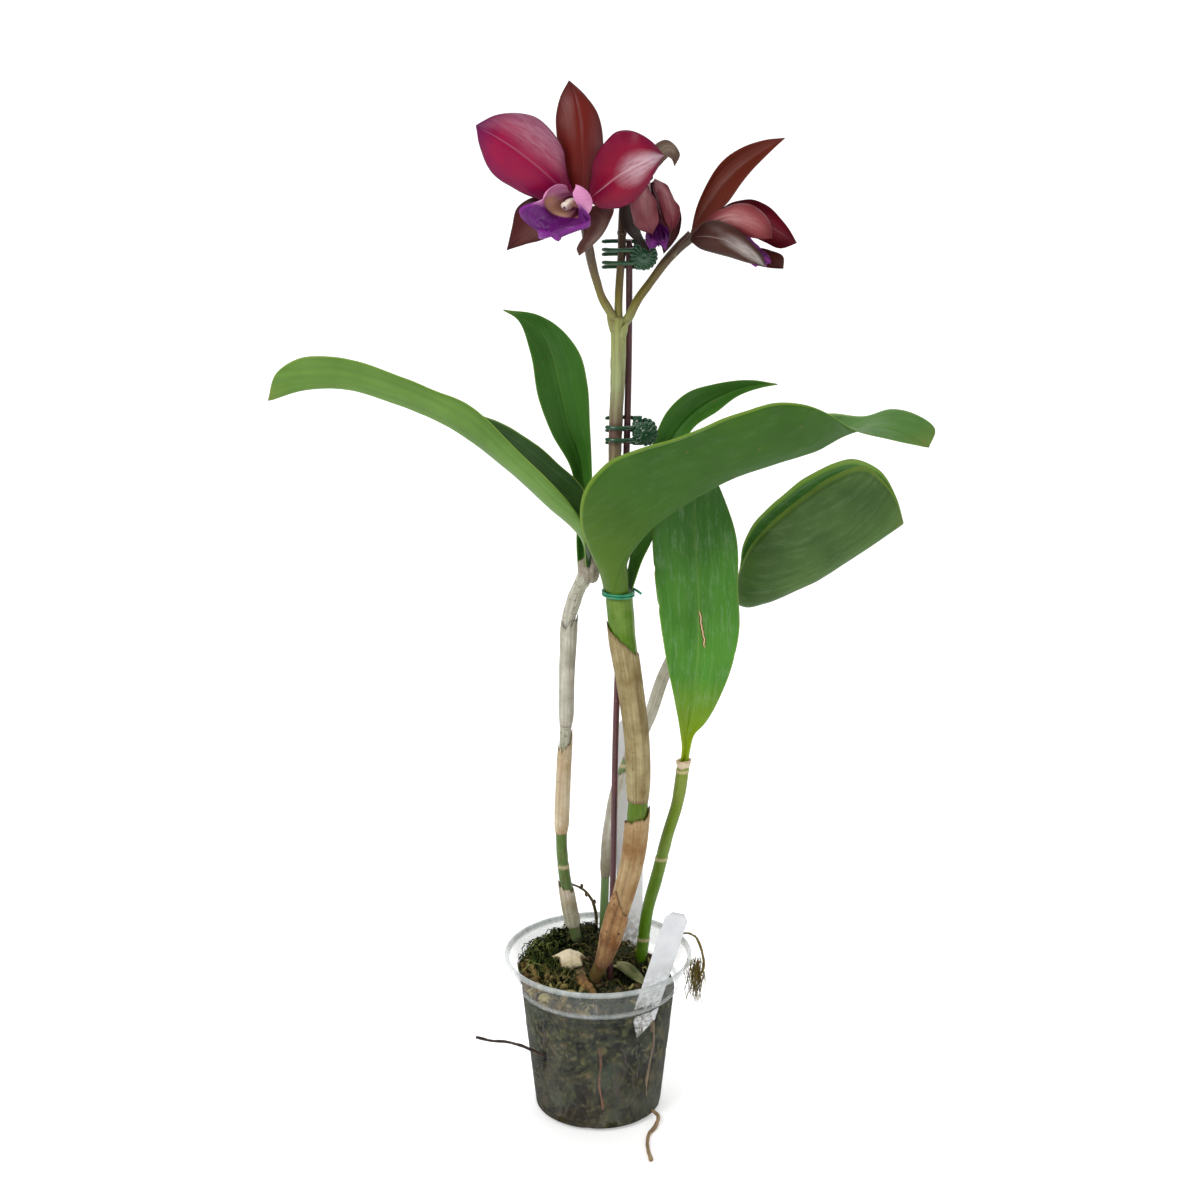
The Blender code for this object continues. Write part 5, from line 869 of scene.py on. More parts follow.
# Sepals and petals: left margin, midrib and right margin, from the base to the tip
TEPALS = {
    "bloom_1_dorsal_sepal": (mm((-8.7, -23.6, 487.8), (-11, -24, 496), (-15.5, -23, 506), (-18.5, -22, 515.5),
        (-19.5, -20, 525.5), (-17.5, -18, 533.5), (-13.5, -15, 541)),
        mm((-7, -24, 487.6), (-6.5, -27, 500), (-7.5, -27, 511.5), (-8.5, -24, 524), (-10.5, -20, 533.5),
        (-13.5, -15, 541)),
        mm((-5.3, -23.6, 487.8), (-1, -24, 498), (2, -23, 506), (2.5, -22, 514), (0, -20, 526),
        (-6.5, -18, 535), (-13.5, -15, 541))),
    "bloom_1_left_petal": (mm((-9.7, -25.4, 487.9), (-14, -29, 498), (-16, -31, 510), (-21, -33, 518.5),
        (-28.5, -34, 525), (-39.5, -35, 527), (-48.5, -36, 525.5), (-56, -37, 521.5)),
        mm((-10.7, -25.6, 486.9), (-19.5, -33, 495.5), (-29, -37, 504), (-39.5, -39, 512),
        (-48.5, -39, 517.5), (-56, -37, 521.5)),
        mm((-11, -25.3, 485.8), (-21.5, -29, 486.5), (-30.5, -31, 488.5), (-40.5, -33, 493.5),
        (-49, -35, 500), (-54, -36, 510.5), (-56, -37, 521.5))),
    "bloom_1_right_petal": (mm((-5, -25.4, 488), (-3, -29, 497), (-1.5, -32, 506.5), (3.5, -34, 514),
        (9.5, -36, 519), (15.5, -37, 519), (24, -38, 515), (30.5, -36, 508)),
        mm((-4.3, -25.6, 487), (2.5, -32, 493), (10, -36, 499), (18.5, -39, 504), (25, -39, 507),
        (30.5, -36, 508)),
        mm((-4, -25.3, 485.8), (2.5, -29, 483), (11, -32, 484), (17.5, -34, 487.5), (22.5, -36, 493.5),
        (26.5, -37, 501), (30.5, -36, 508))),
    "bloom_1_left_sepal": (mm((-11.6, -23.6, 483.5), (-19.5, -24, 487), (-30, -23, 488), (-38, -21, 483),
        (-41, -19, 472.5), (-43.5, -16, 462.5)),
        mm((-10.9, -24, 482), (-19.5, -26, 481), (-28.5, -25, 476), (-36.5, -21, 469.5), (-43.5, -16, 462.5)),
        mm((-9.8, -23.6, 481), (-16.5, -24, 473.5), (-25, -22, 468.5), (-34.5, -19, 465.5),
        (-43.5, -16, 462.5))),
    "bloom_1_right_sepal": (mm((-3.2, -23.4, 483.8), (2.5, -20, 484.5), (7.5, -17, 482.5), (6, -17, 477),
        (2.5, -18, 470.5), (-3.5, -19, 464.5), (-9, -21, 460.5)),
        mm((-4, -24, 481.8), (2, -23, 478.5), (1.5, -24, 473.5), (-2.5, -24, 467.5), (-9, -21, 460.5)),
        mm((-5.2, -24.4, 480.8), (-5.5, -27, 475.5), (-7, -27, 470), (-10, -25, 464.5), (-9, -21, 460.5))),
    "bloom_2_dorsal_sepal": (mm((23.2, -1.4, 496.4), (24.5, 3, 503), (27.5, 4, 510.5), (31.5, 2, 513),
        (36.5, -3, 511), (39, -6, 506.5), (36.5, -7, 501)),
        mm((24.7, -2.2, 496.6), (28, -0.5, 503), (31, -1, 508), (34.5, -4, 509.5), (36.5, -7, 507.5),
        (36.5, -7, 501)),
        mm((26.2, -1.8, 496), (29, -3, 500.5), (32, -5, 504), (33.5, -8, 505.5), (35, -9, 504.5),
        (36.5, -7, 501))),
    "bloom_2_left_petal": (mm((20.7, 0.8, 495), (18, -3, 489), (15.5, -4, 482), (16.2, -5.4, 476),
        (20, -8.4, 471.5), (26, -12, 469.5)),
        mm((21, -0.5, 493.9), (21.5, -8, 487.5), (22.3, -11.4, 481), (23.4, -12.8, 475.5), (26, -12, 469.5)),
        mm((21.7, -1.5, 493.2), (26, -11, 488), (28.5, -14, 482.5), (29, -14.5, 477), (26, -12, 469.5))),
    "bloom_2_right_petal": (mm((26.6, -0.8, 494), (27.5, -8, 488.5), (29.5, -9.5, 483), (31.5, -10, 477),
        (35, -8, 470)),
        mm((26.9, 0.1, 494.2), (31, -6, 489), (33.5, -8, 482.5), (35, -8, 476), (35, -8, 470)),
        mm((27.4, 1.2, 494.8), (32, -2, 492.5), (36, -3, 487), (39, -4, 481), (39, -5, 475.5),
        (35, -8, 470))),
    "bloom_2_left_sepal": (mm((21, 2.7, 493.2), (14.5, 3, 487), (10.5, 3, 479.5), (11.5, 1, 473.5),
        (17, -4, 466.5), (25.5, -11, 460.5)),
        mm((21.3, 3.7, 492.4), (16, 7, 482.5), (16, 4, 474), (20, -3, 467), (25.5, -11, 460.5)),
        mm((22.5, 4.4, 491.7), (20, 8, 481), (20, 4, 472.5), (22.5, -5, 466), (25.5, -11, 460.5))),
    "bloom_2_right_sepal": (mm((25, 4.2, 492.2), (28, 7, 479.5), (29.5, 3, 470.5), (30.5, -5, 464),
        (31.5, -9, 460)),
        mm((26.1, 3.7, 492.9), (33.5, 7, 481.5), (36, 5, 473), (35, -2, 466), (31.5, -9, 460)),
        mm((26.9, 2.5, 493.5), (35.5, 3, 485.5), (40, 3, 478.5), (39.5, 0, 470), (36, -5, 464.5),
        (31.5, -9, 460))),
    "bloom_3_dorsal_sepal": (mm((44.6, 1.6, 470.5), (46.5, 3, 476.5), (48.5, 4, 483.5), (52.5, 5, 492),
        (59, 5, 502), (68.5, 4, 509), (80.5, 2, 513), (89.5, 0, 514)),
        mm((44.8, 0, 470.7), (51.5, 5, 480.5), (59.5, 7, 492), (70, 6, 502), (80.5, 3, 509), (89.5, 0, 514)),
        mm((45, -1.6, 470.4), (54.5, -2, 476.5), (62, -3, 483.5), (70.5, -4, 495.5), (79, -3, 504.5),
        (89.5, 0, 514))),
    "bloom_3_near_sepal": (mm((45.9, -4.2, 469.4), (51, -8, 475), (57, -10, 476), (62, -12, 474.5),
        (68.5, -13.5, 470.5), (75, -13.5, 464), (79, -11, 459.5), (81, -8, 453.5)),
        mm((45.3, -4, 467.2), (52.5, -11, 468.5), (61, -15, 467), (70.5, -14, 461.5), (81, -8, 453.5)),
        mm((44.9, -2.8, 465.2), (48.5, -6, 462.5), (54.5, -8, 460.5), (62.5, -9, 458.5), (71.5, -9, 456),
        (81, -8, 453.5))),
    "bloom_3_near_petal": (mm((48.4, -3, 470.8), (55, -4, 478.5), (61.5, -4, 482), (68, -4, 483.5),
        (75.5, -5, 482), (80.5, -6, 478), (83, -8, 473), (83.5, -9, 467.5)),
        mm((47.9, -4, 469.6), (56.5, -7, 475), (64.5, -9, 477.5), (72.5, -11, 475.5), (79, -11, 472),
        (83.5, -9, 467.5)),
        mm((47.5, -4.3, 468.2), (57, -7, 471), (66, -9, 470), (73, -10, 468), (78, -9.5, 467),
        (83.5, -9, 467.5))),
    "bloom_3_far_petal": (mm((47.6, 2.8, 470.8), (58, 5, 479.5), (67.5, 7, 483.5), (74.5, 8, 484.5),
        (81.5, 8, 482), (88.5, 7, 475.5), (93.5, 5, 469.5), (96.5, 2, 464)),
        mm((47.4, 3.7, 469.4), (60.5, 9, 474), (72, 12, 475.5), (81.5, 12, 473), (89.5, 8, 468.5),
        (96.5, 2, 464)),
        mm((47.2, 4.1, 468.1), (60.5, 8, 469.5), (72, 11, 467.5), (81.5, 10, 463.5), (89, 6, 461),
        (96.5, 2, 464))),
    "bloom_3_far_sepal": (mm((46, 4.2, 467.4), (59.5, 9, 465), (72, 11.5, 462), (84, 9, 460), (90.5, 6, 457),
        (90.5, 4, 451.5)),
        mm((45.8, 4, 465.8), (59, 11, 461), (70.5, 12, 456.5), (82, 9, 453.5), (90.5, 4, 451.5)),
        mm((45.6, 3, 464.6), (57, 8, 459), (69.5, 9, 455), (83, 7, 452), (90.5, 4, 451.5))),
}

# Lips: points along the floor of the throat and down the front lobe, the way up, the half width
# and half height of the throat along it, and how far each side wraps, in degrees
LIPS = {
    "bloom_1_lip": (mm((-8.2, -28.4, 483), (-10.5, -34, 480.5), (-13.5, -41, 478.5), (-16.5, -46, 475.5),
        (-19.5, -49.5, 471.5), (-22.4, -51, 468)), (0.05, 0.1, 1),
        mm(2.3, 5.2, 8.6, 11.4, 12.6, 13.6, 15.6, 15.5, 9.0),
        mm(2.8, 5.2, 7.4, 8.6, 9.0, 8.4, 6.0, 4.0, 2.0), (150, 160, 166, 160, 138, 96, 78, 72, 60)),
    "bloom_2_lip": (mm((24.4, 2.4, 491.6), (25, 2, 485), (26, -0.5, 477), (27.6, -5, 470), (28.6, -9, 465.5),
        (29, -12.6, 462.4)), (0.1, -0.85, 0.5),
        mm(2.2, 2.7, 3.2, 3.4, 3.5, 3.5, 4.2, 4.4, 3.0),
        mm(2.5, 2.9, 3.4, 3.8, 4.0, 3.8, 3.0, 2.0, 1.0), (150, 160, 160, 150, 130, 100, 80, 70, 60)),
    "bloom_3_lip": (mm((48.6, 0, 465.4), (56, 0.5, 463.5), (65, 1, 461), (72.5, 0, 458), (78, -1.5, 454.5),
        (80.5, -3, 450.5)), (0.25, 0, 1),
        mm(2.2, 3.8, 5.0, 5.8, 6.0, 6.2, 6.8, 6.6, 4.2),
        mm(2.2, 3.6, 4.8, 5.6, 6.0, 6.0, 5.0, 3.6, 1.8), (150, 158, 160, 150, 125, 100, 85, 75, 60)),
}

# Columns: points from the foot to the cap, and radii
COLUMNS = {
    "bloom_1_column": (mm((-7.8, -26.8, 484.9), (-9.4, -31.5, 485.4), (-12.2, -37, 486.6),
        (-14.2, -41, 485.6)),
        mm(1.3, 1.7, 2.1, 2.4)),
    "bloom_2_column": (mm((24.1, 1.6, 494.3), (24.5, 0.2, 491), (24.8, -0.9, 487.6), (25.4, -2.2, 483.5)),
        mm(1.0, 1.1, 1.4)),
    "bloom_3_column": (mm((48, 0, 467.8), (53, 0.1, 467.2), (59, 0.5, 466.4)), mm(1.2, 1.5, 1.9)),
}

# %% Supports, rootstock, litter and loose roots
# Stake
STAKE = mm((5, -5, 20), (6, -3, 68), (8, -1, 139), (9, 1, 206), (11, 4, 273), (13, 5.2, 325),
    (14.5, 4.4, 371), (15.2, 7, 411), (15.3, 7.7, 440), (15.2, 7, 465))

# Clips: place of the hinge pin, how far the fingers reach, grip radius, grip offset, petals
CLIPS = {
    "lower_clip": (mm(19.2, 2.4, 371), 15.5 * MM, 6.2 * MM, 4.4 * MM, 14),
    "upper_clip": (mm(20.3, 6.0, 457.8), 18.4 * MM, 6.9 * MM, 2.0 * MM, 18),
}

# Labels: foot, top, and the turn of the strip's face about the upright
LABEL_FOOT, LABEL_TOP = mm(20.3, -31, 54), mm(42, -17, 119)
LABEL_TURN = math.radians(27)
REAR_LABEL_FOOT, REAR_LABEL_TOP = mm(17.3, 29.5, 52), mm(17.3, 50.5, 203)
RHIZOME = mm((-13, 11, 77), (-11.5, 3, 77.5), (-9.5, -4, 78), (-9.4, -11, 79.5))
RHIZOME_RADII = mm(3.0, 4.2, 3.7, 4.1, 3.2)
ROOT_TIP = mm((-9.5, -9, 79), (-8, -14.5, 78.5), (-5, -18.5, 77), (-1.5, -21, 74))
ROOT_TIP_RADII = mm(2.4, 2.6, 2.2, 1.4)
SCRAP_AXIS = mm((-20, -3.5, 84.8), (-14, -3, 85.6), (-8.5, -4.5, 85.8))
OLD_BRACT = (mm((9.5, 3.5, 77.6), (13, -1.5, 78), (18, -5, 75.6), (25, -7.5, 73)),
    mm((10.5, 6.5, 77), (14.5, 3, 79.2), (19.5, -1.5, 77.2), (25, -7.5, 73)),
    mm((12.5, 9, 77.6), (17, 6, 78), (22, 1, 75.6), (25, -7.5, 73)))
TWIG = mm((-1, 34.5, 82.4), (-1.5, 35, 96), (-4, 34.5, 104), (-9, 34, 110), (-15.5, 33, 113.5))
# Loose roots: points and radii of the root through the pot's wall, of the root on the floor, and
# of the loop of dead moss over the rim
SIDE_ROOT = mm((-28.6, -26.8, 41.2), (-33, -28, 44.2), (-41, -28, 48), (-48, -28, 50), (-57, -30, 52),
    (-64, -32, 55))
SIDE_ROOT_RADII = mm(0.9, 0.95, 0.8, 0.75, 0.9)
TABLE_ROOT = mm((29.2, -19, 4.3), (32, -22, 3.2), (31, -29, 1.6), (27, -38, 1.3), (26, -52, 1.3),
    (27.5, -63, 1.3))
TABLE_ROOT_RADII = mm(1.2, 1.25, 1.2, 1.0, 1.25)
MOSS_LOOP = mm((37.5, 13.5, 73), (40.5, 15, 82), (43.6, 15.6, 89.6), (48, 16.4, 91.6), (52.5, 16, 90),
    (56, 14.5, 83), (57.5, 13, 74), (55, 12, 66))
print("leaves:", len(LEAVES), "canes:", len(CANES), "sepals and petals:", len(TEPALS))

# %% [markdown]
# ## 6. Leaves
#
# A leaf spans two margins and a midrib. With v from -1 to 1 across it, the surface is the arch
# `middle + v (right - left) / 2 + |v|^fold ((right + left) / 2 - middle)`. A fold near 1.5 gives
# the keeled leaf of a cattleya. The midrib is pressed in by a narrow bell curve, the margins
# wave a little, and small bites are taken out of them.


# %% Blade surface
def blade(rails, rows, columns, fold, thickness, facing=None, ruffle=(0, 0), frill=(0, 0),
          crease=0.0, bite=0.0, dimple=0.0, seed=0):
    """A closed leaf or petal between three rails, with value upper = 1 on its inner face.

    The lift along the normal is  h |s|^3 sin(2 pi n u + s) sin(pi u)  for the ruffle, the same
    with |s|^5 for the frill, minus the crease times exp(-(s / 0.07)^2), plus a soft noise.
    Without a facing, the inner face is the one that the margins fold towards.
    """
    left, middle, right = (rail(points, rows + 1)[:-1] for points in rails)
    normal = unit(np.cross(right - left + 1e-9, unit(np.gradient(middle, axis=0))))
    half, arch = (right - left) / 2, (right + left) / 2 - middle
    towards = arch if facing is None else np.array(facing)
    sign = 1.0 if (normal * towards).sum() > 0 else -1.0
    u, v = grid_of(rows, columns)
    swell = np.sin(math.pi * u)
    edge_run = np.stack([u * 9 + 0 * v, np.sign(v) * 3 + 0 * u, 0 * u * v], axis=-1)
    s = v * (1 - np.clip(layered(edge_run, 0.35, 2, seed) - 0.62, 0, 1) * bite * swell)
    grid = middle[:, None] + s[..., None] * half[:, None] + (np.abs(s) ** fold)[..., None] * arch[:, None]
    lift = ruffle[0] * np.abs(s) ** 3 * np.sin(math.tau * ruffle[1] * u + s) * swell
    lift += frill[0] * np.abs(s) ** 5 * np.sin(math.tau * frill[1] * u + 2.2 * np.sign(s)) * np.sqrt(swell)
    lift += dimple * layered(grid, 0.016, 3, seed + 5) * swell
    lift -= sign * crease * np.exp(-((s / 0.07) ** 2)) * np.sqrt(swell)
    taper = np.interp(u, [0, 0.08, 0.8, 1], [1.0, 1.0, 0.85, 0.5])
    made = sheet(grid + lift[..., None] * normal[:, None], thickness * taper, tip=np.array(rails[1][-1]))
    if sign < 0:
        made["upper"] = 1 - made["upper"]
    return made


# %% Make the leaves
# Upper face and its light patches, lower face and its light patches, then what is special
LEAF_TONES = {
    "leaf_long_left": ((34, 68, 26), (50, 88, 36), (80, 118, 38), (102, 140, 56)),
    "leaf_upright": ((46, 98, 26), (60, 114, 38), (70, 112, 34), (108, 142, 62)),
    "leaf_front": ((72, 112, 50), (92, 132, 66), (40, 80, 8), (56, 96, 20), 0.18),
    "leaf_rear": ((50, 102, 28), (66, 120, 38), (80, 126, 40), (106, 146, 62)),
    "leaf_centre_right": (
        (54, 116, 20), (76, 140, 42), (74, 116, 34), (112, 150, 60),
        0.9, (0.0533, 0.2683, 0.0095), 0.45, 0.5),
    "leaf_far_right": (
        (46, 98, 26), (62, 112, 38), (54, 84, 32), (80, 110, 50), 0.0, None, 0.24),
}
BITES = {"leaf_centre_right": 0.06, "leaf_rear": 0.07, "leaf_upright": 0.02}
for seed, (name, (left, middle, right, fold)) in enumerate(LEAVES.items()):
    made = blade(
        (left, middle, right), 110, 37, fold, 1.5 * MM, ruffle=(0.45 * MM, 3), frill=(0.1 * MM, 9),
        crease=0.55 * MM, bite=BITES.get(name, 0.0), dimple=0.3 * MM, seed=seed)
    put(name + "_blade", made, leaf_paint("skin_" + name, *LEAF_TONES[name]), [name], "leaf_green")
print("leaves:", len(LEAVES), "triangles:", sum(count for _, count in made_pieces))

# %% [markdown]
# ## 7. Canes and their dry sheaths
#
# A cane is a round body swept along its rail, with shallow grooves that run up it and a raised
# ring at each node. A sheath is a sleeve of the same rail: one skin goes up outside, turns over
# a frayed, slanted mouth, and comes back down inside.


# %% Canes
def bells(height, places, width):
    """A sum of bell curves:  exp(-((height - place) / width)^2)."""
    return sum(np.exp(-(((height - place) / width) ** 2)) for place in places)


def cane(name, rows=240, sides=40):
    """A grooved cane:  r (1 - 0.045 groove - 0.05 neck + 0.07 ring), with a soft noise.

    The groove is a cosine of the angle, and the rings and necks are bell curves of the height.
    """
    points, radii, count = CANES[name]
    radius = eased(rows, np.linspace(0, 1, count), profile(radii, count))
    radius = radius * eased(rows, [0, 0.985, 1], [1, 1, 0.86])
    rings = np.array(RINGS[name]) * MM

    def bump(at, angle):
        height = at[..., 2]
        grooves = 0.5 - 0.5 * np.cos(11 * angle + 2 * noise(at, 0.03, 4))
        swell, neck = bells(height, rings, 0.9 * MM), bells(height, rings + 2.6 * MM, 1.8 * MM)
        worn = np.clip((height - 0.2) / 0.08, 0, 1) * (0.16 if name == "cane_left" else 0.0)
        rough = (0.03 + worn) * layered(at, 0.009, 3, 3)
        return -0.045 * grooves - 0.05 * neck + 0.07 * swell + rough - 0.02 + 0.3 * worn

    made = tube(rail(points, rows), radius, sides, bump)
    made["mark"] = np.clip(bells(made["points"][:, 2], rings, 0.8 * MM), 0, 0.8)
    return made


# Heights of the node rings in millimetres
RINGS = {
    "cane_left": (100, 131, 162), "cane_front": (96, 136, 181),
    "cane_right": (89, 138, 190), "cane_back": (120, 180, 232, 266),
}
# Colour at the foot, in the middle and at the top, the heights of foot and top, and the flecks
CANE_TONES = {
    "cane_left": ((88, 104, 62), (84, 114, 44), (190, 186, 170), 0.09, 0.22, 0.58),
    "cane_front": ((92, 60, 32), (88, 104, 22), (78, 118, 2), 0.09, 0.2),
    "cane_right": ((84, 128, 12), (94, 128, 14), (122, 140, 34), 0.08, 0.195),
    "cane_back": ((92, 120, 66), (118, 140, 92), (146, 158, 118), 0.08, 0.27),
}
for name in CANES:
    put(name + "_body", cane(name), cane_paint("skin_" + name, *CANE_TONES[name]), [name], "cane_green")

# The left cane ends in a wrinkled knot of old paper
knot = ball(CANES["cane_left"][0][-1] + mm(-0.6, -1.2, -0.8), mm(5.4, 4.6, 6.8), 44, 60, 0.1, 2)
wrinkles = 0.9 * MM * layered(knot["points"] * (1, 1, 0.45), 0.0016, 4, 8)
knot["points"] += unit(knot["points"] - knot["points"].mean(axis=0)) * wrinkles[:, None]
knot_paint = dry_paint("knot_paper", (232, 228, 216), (178, 170, 152), (112, 98, 80), 0.6)
put("cane_left_knot", knot, knot_paint, (), "sheath_white")

# The right cane ends in a papery collar that stands round the foot of its leaf
collar = turned(mm((2.3, -2.6), (3.3, -2.4), (3.9, 0.4), (4.1, 1.5), (3.5, 1.9), (2.9, 0.6)), 48)
collar["points"][:, 2] += 0.9 * MM * layered(collar["points"], 0.004, 2, 3) + 0.12 * collar["points"][:, 0]
collar["points"] += np.array(CANES["cane_right"][0][-1])
collar_paint = plain_paint(
    "collar_paper", (226, 210, 182), (188, 160, 122), 300, 0.7, bump=0.0003,
    specks=(500, 0.7, (110, 62, 34)))
put("leaf_collar", collar, collar_paint, (), "sheath_tan")


# %% Sheaths
def sleeve(on, low, high, lift, tilt, facing, point, flare, fray, settle, seed, rows=64, sides=48):
    """A papery sleeve round a cane between two shares of its length.

    Its mouth stands tilt * cos(a - facing) + point * max(0, cos)^8 higher, plus a frayed noise.
    The radius is that of the cane plus lift, with folds that run up the sleeve.
    """
    points, radii, count = CANES[on]
    fine = 600
    path, places = rail(points, fine), np.arange(fine)
    thick = eased(fine, np.linspace(0, 1, count), profile(radii, count))
    along = unit(np.gradient(path, axis=0))
    right = unit(np.array([1.0, 0, 0]) - along * along[:, :1])
    length = run_length(path)[-1]
    u, angle = np.linspace(0, 1, rows)[:, None], turns(sides)[None, :]
    towards = np.cos(angle - facing)
    circle = np.stack([np.cos(angle), np.sin(angle), 0 * angle], axis=-1)
    torn = layered(circle + seed, 0.28, 3, seed) * fray - 0.4 * fray
    hem = layered(circle + seed + 3, 0.4, 2, seed) * 0.5 * MM - 0.3 * MM
    mouth = tilt * towards + point * np.maximum(0, towards) ** 8 + torn
    at = low + (high - low) * u + mouth / length * u**2 + hem / length * (1 - u) ** 2
    at = np.clip(at, 0, 1) * (fine - 1)
    radius = np.interp(at, places, thick) + lift * np.interp(u, [0, settle], [-0.2, 1]) + flare * u**2
    rolled = np.stack([np.cos(angle) + 0 * u, np.sin(angle) + 0 * u, 0.5 * u + 0 * angle], axis=-1)
    folds = layered(2.2 * rolled + seed, 0.5, 3, seed + 2)
    seam = np.mod(angle - facing - 1.2, math.tau) / math.tau
    wall = SHEATH_WALL * (0.72 + 0.28 * folds + 0.45 * (seam - 0.5) * np.minimum(1, 1 - u**6))
    wall = np.maximum(wall, 0.2 * MM) * np.interp(u, [0, 0.08, 0.9, 1], [0.3, 1, 1, 0.35])
    way = np.cos(angle)[..., None] * read_at(at, places, right)
    way = way + np.sin(angle)[..., None] * read_at(at, places, np.cross(along, right))
    place = read_at(at, places, path)
    outer, inner = place + (radius + wall)[..., None] * way, place + radius[..., None] * way
    grain = np.stack([radius * np.cos(angle), radius * np.sin(angle), at / (fine - 1) * length], axis=-1)
    there, share = [outer, inner[::-1]], u + 0 * angle
    return plain(
        np.concatenate(there).reshape(-1, 3), loop_faces(2 * rows, sides),
        grain=np.concatenate([grain, grain[::-1]]).reshape(-1, 3),
        along=np.concatenate([share, share[::-1]]).reshape(-1),
        upper=np.repeat([1.0, 0.0], rows * sides),
    )


WHITE_DRY = dict(light=(206, 202, 188), dark=(158, 154, 136), spot=(112, 96, 74))
TAN_DRY = dict(light=(176, 162, 120), dark=(124, 106, 64), spot=(74, 50, 24))
PALE_TAN = dict(light=(214, 202, 176), dark=(176, 154, 118), spot=(124, 90, 60))
SOILED_WHITE = dict(light=(208, 202, 184), dark=(156, 140, 112), spot=(116, 88, 66))
WARM_TAN = dict(light=(188, 164, 122), dark=(140, 106, 64), spot=(88, 54, 28))
RED_TAN = dict(light=(190, 152, 104), dark=(120, 80, 44), spot=(50, 28, 14), spots=0.9)
WHITE, TAN = "sheath_white", "sheath_tan"
# Cane, lower and upper share, tilt, where the mouth is highest, point, flare, tones, dirt, slot
SLEEVES = {
    "sheath_left_top": ("cane_left", 0.62, 0.872, 2, 0.3, 0, 0, dict(WHITE_DRY, spots=0.3), None, WHITE),
    "sheath_left_middle": ("cane_left", 0.36, 0.575, 2, 0.2, 8, 0, PALE_TAN, None, TAN),
    "sheath_left_low": (
        "cane_left", 0.13, 0.235, 2, 2.6, 0, 0, SOILED_WHITE, (0.098, 0.114, (100, 112, 78)), WHITE),
    "sheath_front_top": ("cane_front", 0.512, 0.89, 8, 3.1, 3.6, 0, TAN_DRY, None, TAN),
    "sheath_front_middle": ("cane_front", 0.22, 0.475, 3, 0.1, 4, 0.5, WARM_TAN, None, TAN),
    "sheath_front_low": (
        "cane_front", 0.10, 0.245, 5, 3.9, 6, 0, RED_TAN, (0.082, 0.1, (116, 84, 60)), TAN),
    "sheath_back_top": ("cane_back", 0.53, 0.93, 0, 0, 0, 0, WHITE_DRY, None, WHITE),
    "sheath_back_low": (
        "cane_back", 0.24, 0.505, 2, 0.4, 2, 0, WHITE_DRY, (0.12, 0.15, (120, 112, 90)), WHITE),
}
for seed, (name, sizes) in enumerate(SLEEVES.items()):
    on, low, high, tilt, facing, point, flare, tones, dirt, slot = sizes
    lift = {"sheath_front_low": 1.4, "sheath_back_top": 0.7}.get(name, 0.4)
    fray = 2.6 if on == "cane_left" else 1.5
    settle = 0.5 if name == "sheath_front_low" else 0.12
    made = sleeve(
        on, low, high, lift * MM, tilt * MM, facing, point * MM, flare * MM, fray * MM, settle, seed + 3)
    put(name + "_paper", made, dry_paint("paper_" + name, dirt=dirt, **tones), [name], slot)
print("sheaths:", len(SLEEVES))

# %% [markdown]
# ## 8. Flower stem
#
# The stalk and its three branches are tubes whose ends sink into one another. Small scale leaves
# hug the fork, a scar marks the middle branch, and each branch swells where a bloom sits on it.


# %% Flower stem
def stalk_bump(at, angle):
    """Layered noise, with five shallow grooves that wind up the stalk."""
    return 0.05 * layered(at, 0.006, 3, 8) - 0.03 + 0.02 * np.cos(5 * angle + at[..., 2] * 90)


def scale_leaf(turn, height, size, lean):
    """A small pointed bract: a blade whose margins hug the stem at its foot."""
    out = np.array([math.cos(turn), math.sin(turn), 0])
    side = np.array([-math.sin(turn), math.cos(turn), 0])
    up = np.array([0, 0, 1.0])
    foot = mm(10, 2.8, height) + out * 2.6 * MM
    top = foot + size * (up + lean * out)
    middle = [foot + 1.2 * MM * out, foot + 0.5 * size * (up + 0.7 * lean * out) + 1.4 * MM * out, top]
    left, right = (
        [foot + way * 3.1 * MM * side - 1.5 * MM * out, foot + way * 2.4 * MM * side + 0.5 * size * up, top]
        for way in (-1, 1))
    return blade((left, middle, right), 30, 15, 1.8, 0.9 * MM, facing=-out)


stem_parts = [tube(rail(STALK, 160), profile(STALK_RADII, 160), 26, stalk_bump)]
for points, radii in BRANCHES.values():
    stem_parts.append(tube(rail(points, 110), profile(radii, 110), 22, stalk_bump))
stem_parts += [
    scale_leaf(math.radians(200), 421, 9.5 * MM, 0.35), scale_leaf(math.radians(-40), 418, 8.5 * MM, 0.4)]
scar = rail(BRANCHES["branch_2"][0], 160)[78:84]
stem_parts.append(tube(scar, mm(2.05, 2.3, 2.42, 2.42, 2.3, 2.05), 30, stalk_bump))
put("flower_stem_skin", join(stem_parts), stalk_paint(), ["flower_stem"], "stalk_olive")

# %% [markdown]
# ## 9. Blooms
#
# Each bloom has three sepals, two petals, a lip rolled round the column, and the column with its
# white cap. The inner face of every sepal and petal is the one that looks the way the bloom
# faces. A scratched silvery sheen lies where the photographed petals catch the light.

# %% Sepals and petals
FACING = {"bloom_1": (-0.3, -0.9, -0.1), "bloom_2": (0.1, -0.55, -0.8), "bloom_3": (0.9, -0.4, -0.2)}
